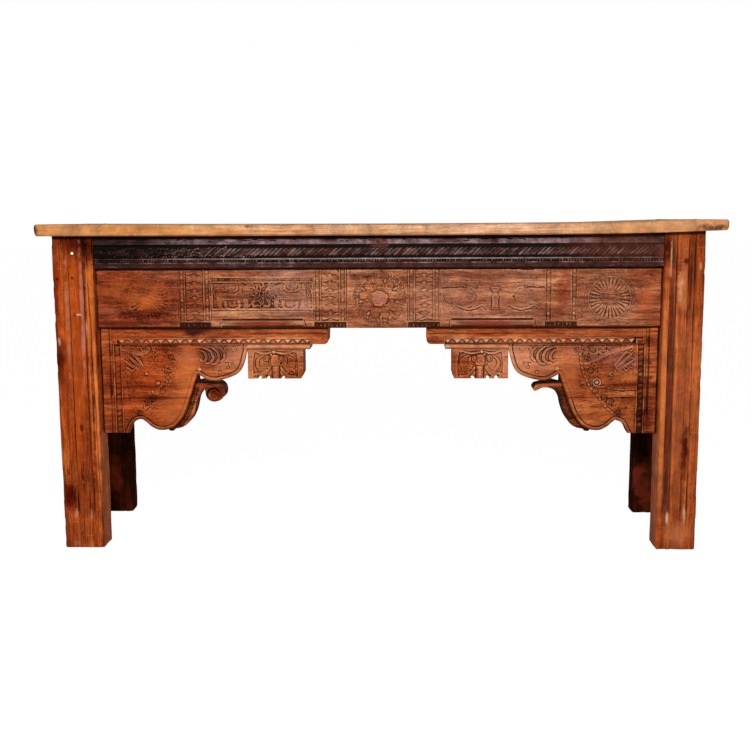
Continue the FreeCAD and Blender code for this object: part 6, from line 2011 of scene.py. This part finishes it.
def makeStile(side):
    low, high = nodeBox("bracket_stile_" + side)
    way = bracketShape[side][1]

    def shape(points):
        nearPost = low[0] if way > 0 else high[0]
        fromPost = np.abs(points[:, 0] - nearPost)
        fromFront = points[:, 1] - low[1]
        cut = np.clip(6.0 - fromPost - fromFront, 0, None) * 0.5
        points[:, 0] += way * cut
        points[:, 1] += cut
        line = (np.abs(fromPost - 27) < 2.5) & (fromFront < 2)
        points[:, 1] += line * 1.2
        # the chamfer beside the post is darkened as painted shade in the gap
        return points, line * 0.5 + (cut > 0) * 0.7

    stile = block("bracket_stile_" + side + "_wood", low, high, 4.0, 17 if way > 0 else 19,
                  {"shape": shape, "sideGap": 2.2, "wear": 0.4})
    settle(stile, bracketWood, "bracket_wood", "bracket_stile_" + side)


bodyLook = {
    "gap": 2.0, "top": 3.6, "ease": 2.0, "sideRows": 20, "seed": 19, "sideWear": 0.5, "sharp": 60,
    "dark": {"left": 17.0, "right": 40.0}, "edgeDarkening": {"left": 0.2, "right": 0.55},
    "between": {"left": 0.66, "right": 0.5},
}


# leaves and scales cut along the edge of the thick timber
def bodySideCarve(run, y):
    cell = 26.0
    across = y / 63.0
    phase = run / cell + 0.18 * np.sin(y / 5)
    leaf = np.abs(((phase % 1.0) - 0.5)) * 2
    deep = 2.6 * unit(leaf - 0.55) / 0.45
    rib = 0.5 * unit(np.sin(run / 2.1 + y * 0.35) - 0.2)
    lines = 2.0 * (np.abs(across - 0.2) < 0.045) + 2.0 * (np.abs(across - 0.84) < 0.045)
    inside = (across > 0.24) & (across < 0.8)
    return (deep + rib) * inside + lines


def makeBody(side, look):
    shape = bracketShape
    arm, under = ("scroll", "scrollUnder") if side == "left" else ("stub", "stubUnder")
    sideAlong = shape["reach"] * shape["bodySide"]
    foot = np.array(shape["bodyFoot"]) * (shape["reach"], -shape["drop"]) + (0, shape["top"])
    chain = np.vstack([[(shape["stile"], shape["beamLow"]), (sideAlong, shape["beamLow"])],
                       bracketRun(arm), bracketRun(under)[1:], bracketRun("bodyEdge")[1:],
                       bracketRun("nub")[1:],
                       bracketRun("bodyBottom")[1:], foot[1:], [(shape["stile"], foot[-1, 1])]])
    ends = alongBracket(side, [(30, 0), (340, 0)])[:, 0]
    canvas = newCanvas(ends.min(), ends.max(), 300, 550, look["top"] - 0.4)
    x, z = canvas["x"], canvas["z"]
    if side == "left":
        (cx, cz), = alongBracket(side, [(shape["reach"] * shape["eye"][0],
                                         shape["top"] - shape["drop"] * shape["eye"][1])])
        r = shape["eyeRadius"]
        groove(canvas, arcPoints(cx, cz, r + 2, 5, 200, 30), 6.5, 8.5, (0.3, 1.0), smooth=False)
        dome(canvas, cx, cz, r, r, look["top"] - 2.2, 1.9, 0, 0.5)
        groove(canvas, alongBracket(side, [(262, 431), (284, 434), (300, 430)]), 2.2, 0.9)
        fromEye = np.hypot(x - cx, z - cz)
        # painted shade on the top of the eye disc and round it
        canvas["dirtAndShade"] += 0.5 * unit((z - cz - 2) / 8) * unit((r - fromEye) / 2)
        canvas["dirtAndShade"] += 0.6 * unit(1 - np.abs(fromEye - r - 2) / 4)
    # painted shadow of the lobe on the top of the arm
    canvas["dirtAndShade"] += 0.85 * unit((z - 435) / 8)
    weather(canvas, 61, 0.3, 0.3)
    inner = spread(bracketRun("edge", "belly"), 2.0)
    outer = spread(bracketRun("bodyEdge", "nub", "bodyBottom"), 2.0)
    inner = inner[inner[:, 1] < 452]
    away = lineDistance(x, z, alongBracket(side, inner[::4]))
    band = unit((look["dark"][side] - away) / 5) * unit((437 - z) / 14)
    canvas["dirtAndShade"] += 0.62 * band + 0.6 * unit(1 - away / 5)
    nearer = look["between"][side]
    line = spread(inner[np.linspace(0, len(inner) - 1, 60).astype(int)] * nearer
                  + outer[np.linspace(0, len(outer) - 1, 60).astype(int)] * (1 - nearer), 14.0)
    shake = np.random.RandomState(9)
    for k in range(1, len(line) - 4):
        (px, pz), (qx, qz) = alongBracket(side, [line[k], line[k + 1]])
        turn = math.atan2(qz - pz, qx - px)
        turn += shake.uniform(0.2, 0.6)
        dome(canvas, px, pz, 8.0, 6.4, look["top"] - 3.4, 3.2, turn, 0.5)
        groove(canvas, [(px - 7 * math.cos(turn), pz - 7 * math.sin(turn)), (px + shake.uniform(-1, 1), pz),
                        (px + 7 * math.cos(turn), pz + 7 * math.sin(turn))], 2.2, 1.6, (0.8, 0.3))
    carvedLook = dict(look, sideCarve=bodySideCarve, sideDarkening=look["edgeDarkening"][side])
    body = carvedBoard("bracket_body_" + side + "_wood", anticlockwise(alongBracket(side, chain)), canvas,
                       shape["plateBack"], shape["bodyBack"], carvedLook)
    edge = bracketRun("backingEdge")
    backing = np.vstack([[(sideAlong + 0.2, shape["beamLow"]), (edge[0, 0], shape["beamLow"])], edge,
                         [(sideAlong + 0.2, edge[-1, 1])]])
    reach = np.sort(alongBracket(side, [(30, 0), (400, 0)])[:, 0])
    flat = newCanvas(reach[0], reach[1], 300, 550, look["top"] - 0.3)
    extra = carvedBoard("backing", anticlockwise(alongBracket(side, backing)), flat, shape["plateBack"],
                        shape["plateBack"] + shape["backing"], dict(look, gap=5.0, sideRows=5))
    settle(joined(body, extra), bracketWood, "bracket_wood", "bracket_body_" + side)


pendantLook = {
    "gap": 1.6, "top": 5.0, "ease": 1.8, "sideRows": 10, "seed": 23, "sideDarkening": 0.3, "plain": 3.6,
    "ground": 1.3,
    "size": (147.0, 78.0), "notches": ((0.18, 0.24), (0.33, 0.39), (0.60, 0.66)), "notchDepth": 7.0,
    "cornerShare": 0.16, "calm": 0.85,
    "waves": (((21, 73), (34, 68), (50, 67), (62, 71)), ((74, 70), (90, 67), (106, 68), (122, 74))),
    "bellies": ((37, 42, 17, 23, 0.12), (110, 42, 19, 24, -0.12)),
    "arcs": (((40, 64), (26, 56), (19, 42), (22, 28), (29, 21)), ((46, 60), (35, 53), (30, 42), (34, 30)),
             ((104, 64), (119, 58), (127, 45), (125, 30), (119, 23)),
             ((98, 60), (104, 54), (105, 42), (100, 32))),
    "curls": ((49, 53, 8, 0.4), (88, 53, 8, 2.7)),
    "knobs": ((49.5, 53, 3.4), (88, 53, 3.4), (69, 71, 4.4), (62, 64, 3)),
    "hub": ((63, 59), (70, 63), (78, 62), (84, 58), (84, 36), (63, 36)), "stem": (64.5, 83.5, 33.0),
    "leaves": (((57, 28), (46, 14), (35, 3)), ((50, 24), (39, 15), (29, 9)), ((30, 14), (20, 12), (13, 8)),
               ((43, 31), (50, 33), (57, 30)), ((88, 28), (98, 15), (109, 7), (127, 7)),
               ((86, 18), (93, 8), (100, 3)),
               ((104, 24), (112, 26), (120, 22))),
}


# hanging block: two curling leaves beside a round stem, smaller leaves under them
def makePendant(side, look):
    shape = bracketShape
    width, height = look["size"]
    low, high = shape["beadLow"] - height, shape["beadLow"]
    corner = height * look["cornerShare"]
    outline = [(0, 0)]
    for near, farther in look["notches"]:
        a, b, d = width * near, width * farther, look["notchDepth"]
        outline += [(a, 0), (a, d), (b, d), (b, 0)]
    outline += [(width - corner / 2, 0), (width, corner), (width, height), (0, height)]

    def place(points):
        return alongBracket(side, [(shape["pendantStart"] + a, low + b) for a, b in points])

    ends = np.sort(place([(-4, 0), (width + 4, 0)])[:, 0])
    canvas = newCanvas(ends[0], ends[1], low - 4, high + 4, look["plain"])
    ground = look["ground"]
    field = place([(14, 4), (133, 4), (135, 40), (130, 70), (66, 76), (16, 70), (12, 40)])
    x, z = canvas["x"], canvas["z"]
    share = unit(lineDistance(x, z, np.vstack([field, field[:1]])) * insideLoop(x, z, field) / 2.5)
    wornDown(canvas, share, ground)
    canvas["dirtAndShade"] += share * 0.04
    way = shape[side][1]
    shake = np.random.RandomState(19)
    for _ in range(26):
        (cx, cz), = place([(shake.uniform(16, 130), shake.uniform(5, 30))])
        comma(canvas, cx, cz, shake.uniform(2.5, 4.5), shake, ground + 0.3, 2.0)
    for a, b, rx, rz, lean in look["bellies"]:
        (cx, cz), = place([(a, b)])
        dome(canvas, cx, cz, rx, rz, ground, 3.0, way * lean, 0.4)
    for line in look["arcs"]:
        groove(canvas, place(line), 3.4, 2.0, (0.5, 0.5))
        groove(canvas, place([(a + 3, b) for a, b in line]), 1.8, 0.6, (0.5, 0.5))
    for line in look["waves"]:
        stroke(canvas, place(line), 7.0, ground, 3.6, (0.6, 0.6))
    for line in look["leaves"]:
        stroke(canvas, place(line), 8.0, ground, 3.1, (0.8, 0.3))
        groove(canvas, place(line), 2.0, 1.3, (0.8, 0.3))
    for a, b, r, turn in look["curls"]:
        (cx, cz), = place([(a, b)])
        sinkDisc(canvas, cx, cz, r + 2, ground + 0.4, 1.5, dirtAndShade=0.35)
        stroke(canvas, spiral(cx, cz, r, 3.0, 1.2, turn, way), 5.0, ground, 3.5, (0.6, 0.8))
    plateau(canvas, place(look["hub"]), ground, 2.7, 3)
    for a, b, r in look["knobs"]:
        (cx, cz), = place([(a, b)])
        dome(canvas, cx, cz, r, r, ground + 0.6, 3.3)
        # painted highlight on each knob
        canvas["haze"] += 0.7 * unit((r - np.hypot(x - cx, z - cz)) / 2)
    near, far, tall = look["stem"]
    sinkBox(canvas, *np.sort(place([(near - 3, 0), (far + 3, 0)])[:, 0]), low, low + tall + 2, ground - 0.9,
            1.4, dirtAndShade=0.8)
    middle = place([((near + far) / 2, 0)])[0, 0]
    barrel = np.sqrt(unit(1 - ((x - middle) / ((far - near) / 2)) ** 2)) * (z < low + tall)
    canvas["h"] = np.maximum(canvas["h"], np.where(barrel > 0, ground - 0.8 + 4.4 * barrel, 0))
    canvas["dirtAndShade"] *= 1 - barrel
    # painted highlight down the stem, and a painted sheen along the top
    canvas["haze"] += 0.9 * unit(1 - np.abs(x - middle) / 4) * (z < low + tall)
    canvas["haze"] += 0.25 * unit((z - low - 58) / 8)
    weather(canvas, 71 if side == "left" else 77, 0.3, 0.24)
    nicked(canvas, 14, 27)
    pendant = carvedBoard("bracket_pendant_" + side + "_wood", anticlockwise(place(outline)), canvas,
                          shape["pendantFront"], shape["bodyBack"], look)
    settle(pendant, bracketWood, "bracket_wood", "bracket_pendant_" + side)


for bracketSide in ("left", "right"):
    makePlates(bracketSide, plateLook)
    makeBeam(bracketSide, beamLook)
    makeBead(bracketSide)
    makeStile(bracketSide)
    makeBody(bracketSide, bodyLook)
    makePendant(bracketSide, pendantLook)
print("brackets made")


# Pegs and nails: a low head over a shank at each place, made with Geometry Nodes

pegWork = {
    "leg_pegs": {
        "head": (4.0, 3.4, 0.8), "shank": 3.9, "slot": "peg_wood", "finish": pegWood,
        "rows": (((0, -1, 0), 52.0, ((-792, -210, 785), (-792, -210, 625))),
                 ((0, 1, 0), 52.0, ((780, -130, 785), (780, -130, 625))))},
    "side_rail_pegs": {
        "head": (4.0, 3.4, 0.8), "shank": 3.9, "slot": "peg_wood", "finish": pegWood,
        "rows": (((-1, 0, 0), 42.0, ((-845.5, -149, 767.6), (-845.5, 172, 767.6))),
                 ((1, 0, 0), 42.0, ((832, -149, 767.6), (832, 172, 767.6))))},
    "rear_rail_pegs": {
        "head": (4.0, 3.4, 0.8), "shank": 3.9, "slot": "peg_wood", "finish": pegWood,
        "rows": (((0, 1, 0), 42.0, ((-777, 215, 723.6), (763.5, 215, 723.6))),)},
    "top_pegs": {
        "head": (7.0, 6.2, 0.8), "shank": 6.9, "slot": "peg_wood", "finish": pegWood,
        "rows": (((0, 0, 1), 63.2, ((-818.5, -190, 859.88), (-818.5, 204, 859.88))),
                 ((0, 0, 1), 67.9, ((805, -190, 864.55), (805, 204, 864.55))))},
    "iron_nails": {
        "head": (3.6, 1.7, 1.6), "shank": 1.5, "slot": "iron", "finish": nailIron,
        "rows": (((0, -1, 0), 35.6, ((-2.25, -206.6, 812),)),
                 ((0, -1, 0), 35.6, ((-714.7, -183.6, 441), (704.2, -183.6, 494))))},
}


def pegTree():
    tree, given, result = blankTree("pegs", {
        "Places": "Geometry", "Aim": (0.0, 0.0, 1.0), "Head Radius": 0.004, "Head Tip": 0.003,
        "Head Height": 0.001, "Shank Radius": 0.003, "Length": 0.04, "Seed": 1, "Finish": "Material"},
        "Pegs")
    add = partial(outputsOf, tree)
    both = addNode(tree, "GeometryNodeJoinGeometry")
    # the shank ends a little under the top of the head
    for radius, tip, depth, sink in (("Head Radius", "Head Tip", "Head Height", -1.0),
                                     ("Shank Radius", "Shank Radius", "Length", -1.004)):
        sockets = {"Vertices": 10, "Radius Top": given[tip], "Radius Bottom": given[radius],
                   "Depth": given[depth]}
        cone = add("GeometryNodeMeshCone", sockets)["Mesh"]
        down = add("CombineXYZ", {"Z": sums(tree, "MULTIPLY", given[depth], sink)})[0]
        tree.links.new(add("GeometryNodeTransform", {"Geometry": cone, "Translation": down})[0],
                       both.inputs[0])
    spin = add("FunctionNodeRandomValue", {3: 6.28, "Seed": given["Seed"]}, data_type="FLOAT")[1]
    spin = add("FunctionNodeEulerToRotation", {0: add("CombineXYZ", {"Z": spin})[0]})[0]
    aim = add("FunctionNodeAlignRotationToVector", {"Vector": given["Aim"]}, axis="Z")[0]
    turned = add("FunctionNodeRotateRotation", {0: aim, 1: spin}, rotation_space="LOCAL")[0]
    dots = add("GeometryNodeMeshToPoints", {"Mesh": given["Places"]})[0]
    pegs = add("GeometryNodeInstanceOnPoints",
               {"Points": dots, "Instance": both.outputs[0], "Rotation": turned})[0]
    pegs = add("GeometryNodeRealizeInstances", {0: pegs})[0]
    pegs = add("GeometryNodeSetMaterial", {"Geometry": pegs, "Material": given["Finish"]})[0]
    tree.links.new(pegs, result[0])
    return tree


def pegRow(name, tree, aim, length, places, look):
    mesh = bpy.data.meshes.new(name + "_places")
    mesh.from_pydata([tuple(c * mm for c in p) for p in places], [], [])
    radius, tip, height = look["head"]
    values = {"Aim": aim, "Head Radius": radius * mm, "Head Tip": tip * mm, "Head Height": height * mm,
              "Shank Radius": look["shank"] * mm, "Length": (length - 0.4) * mm, "Finish": look["finish"]}
    return grown(name, mesh, tree, values)


def makePegs():
    tree = pegTree()
    for nodeName, look in pegWork.items():
        rows = [pegRow(nodeName + "_row", tree, *row, look) for row in look["rows"]]
        rows[0].name = nodeName + "_set"
        settle(joined(*rows), look["finish"], look["slot"], nodeName)


makePegs()
print("pegs and nails made")


# Finishes of the pieces that keep their own shape

cadFinish = {
    "rear_rail": plainWood, "side_rail_left": plainWood, "side_rail_right": plainWood,
    "top_cleat_left": plainWood, "top_cleat_middle": plainWood, "top_cleat_right": plainWood,
    "cleat_screws": screwSteel, "bracket_dowels": pegWood,
}
for nodeName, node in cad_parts.items():
    finishOf = cadFinish.get(nodeName, bracketWood)
    node.data.materials.clear()
    node.data.materials.append(finishOf)


# Floor, light and camera

studio = {
    "floorTone": 0.8, "floorGlow": 0.93, "floorWhite": 1.06, "worldLight": 0.13, "worldWhite": 1.0,
    "keyPlace": (-0.15, -3.3, 1.78), "keySize": (1.4, 0.45), "keyPower": 112.0,
    "aim": (0.0, 0.0, 0.5),
}
cameraShape = {
    "place": (0.0715, -2.9931, 0.8698), "yaw": 1.673, "pitch": 8.252, "roll": -0.3,
    "lens": 51.83, "sensor": 36.0,
}


# what the camera and mirror-like finishes see is part plain white, the rest is lit as it stands
def cameraSeesWhite(tree, shader, glow, white):
    path = addNode(tree, "LightPath")
    seen = sums(tree, "MAXIMUM", path.outputs["Is Camera Ray"], path.outputs["Is Glossy Ray"])
    seen = sums(tree, "MAXIMUM", seen, path.outputs["Is Transmission Ray"])
    plain = addNode(tree, "Emission", {"Color": (1, 1, 1, 1), "Strength": white})
    mix = addNode(tree, "MixShader", {0: sums(tree, "MULTIPLY", seen, glow)})
    tree.links.new(shader, mix.inputs[1])
    tree.links.new(plain.outputs[0], mix.inputs[2])
    return mix.outputs[0]


def makeFloor():
    bpy.ops.mesh.primitive_plane_add(size=60, location=(0, 0, 0))
    floor = bpy.context.object
    floor.name = "floor"
    material = bpy.data.materials.new("floorPaper")
    material.use_nodes = True
    tree = material.node_tree
    tree.nodes.clear()
    level = studio["floorTone"]
    paper = addNode(tree, "BsdfDiffuse", {"Color": (level, level, level, 1)})
    output = addNode(tree, "OutputMaterial")
    seen = cameraSeesWhite(tree, paper.outputs[0], studio["floorGlow"], studio["floorWhite"])
    tree.links.new(seen, output.inputs["Surface"])
    floor.data.materials.append(material)


def makeWorld():
    world = bpy.data.worlds.new("studioWorld")
    bpy.context.scene.world = world
    world.use_nodes = True
    tree = world.node_tree
    tree.nodes.clear()
    light = addNode(tree, "Background", {"Color": (1, 1, 1, 1), "Strength": studio["worldLight"]})
    output = addNode(tree, "OutputWorld")
    tree.links.new(cameraSeesWhite(tree, light.outputs[0], 1.0, studio["worldWhite"]),
                   output.inputs["Surface"])


def softBox(name, place, size, power):
    lamp = bpy.data.lights.new(name, "AREA")
    lamp.shape = "RECTANGLE"
    lamp.size, lamp.size_y = size
    lamp.energy = power
    holder = bpy.data.objects.new(name, lamp)
    holder.location = place
    holder.rotation_euler = (Vector(studio["aim"]) - Vector(place)).to_track_quat("-Z", "Y").to_euler()
    bpy.context.scene.collection.objects.link(holder)


def makeCamera():
    data = bpy.data.cameras.new("camera")
    data.lens = cameraShape["lens"]
    data.sensor_width = cameraShape["sensor"]
    data.clip_start, data.clip_end = 0.05, 100
    yaw, pitch, roll = (math.radians(cameraShape[k]) for k in ("yaw", "pitch", "roll"))
    ahead = Vector((-math.sin(yaw) * math.cos(pitch), math.cos(yaw) * math.cos(pitch), -math.sin(pitch)))
    right = Vector((math.cos(yaw), math.sin(yaw), 0))
    up = right.cross(ahead)
    side = right * math.cos(roll) + up * math.sin(roll)
    above = up * math.cos(roll) - right * math.sin(roll)
    camera = bpy.data.objects.new("camera", data)
    turn = Matrix((side, above, -ahead)).transposed().to_4x4()
    camera.matrix_world = Matrix.Translation(cameraShape["place"]) @ turn
    bpy.context.scene.collection.objects.link(camera)
    bpy.context.scene.camera = camera


makeFloor()
makeWorld()
softBox("keyLight", studio["keyPlace"], studio["keySize"], studio["keyPower"])
makeCamera()
bpy.context.scene.view_settings.view_transform = "Standard"
print("stage, light and camera set")
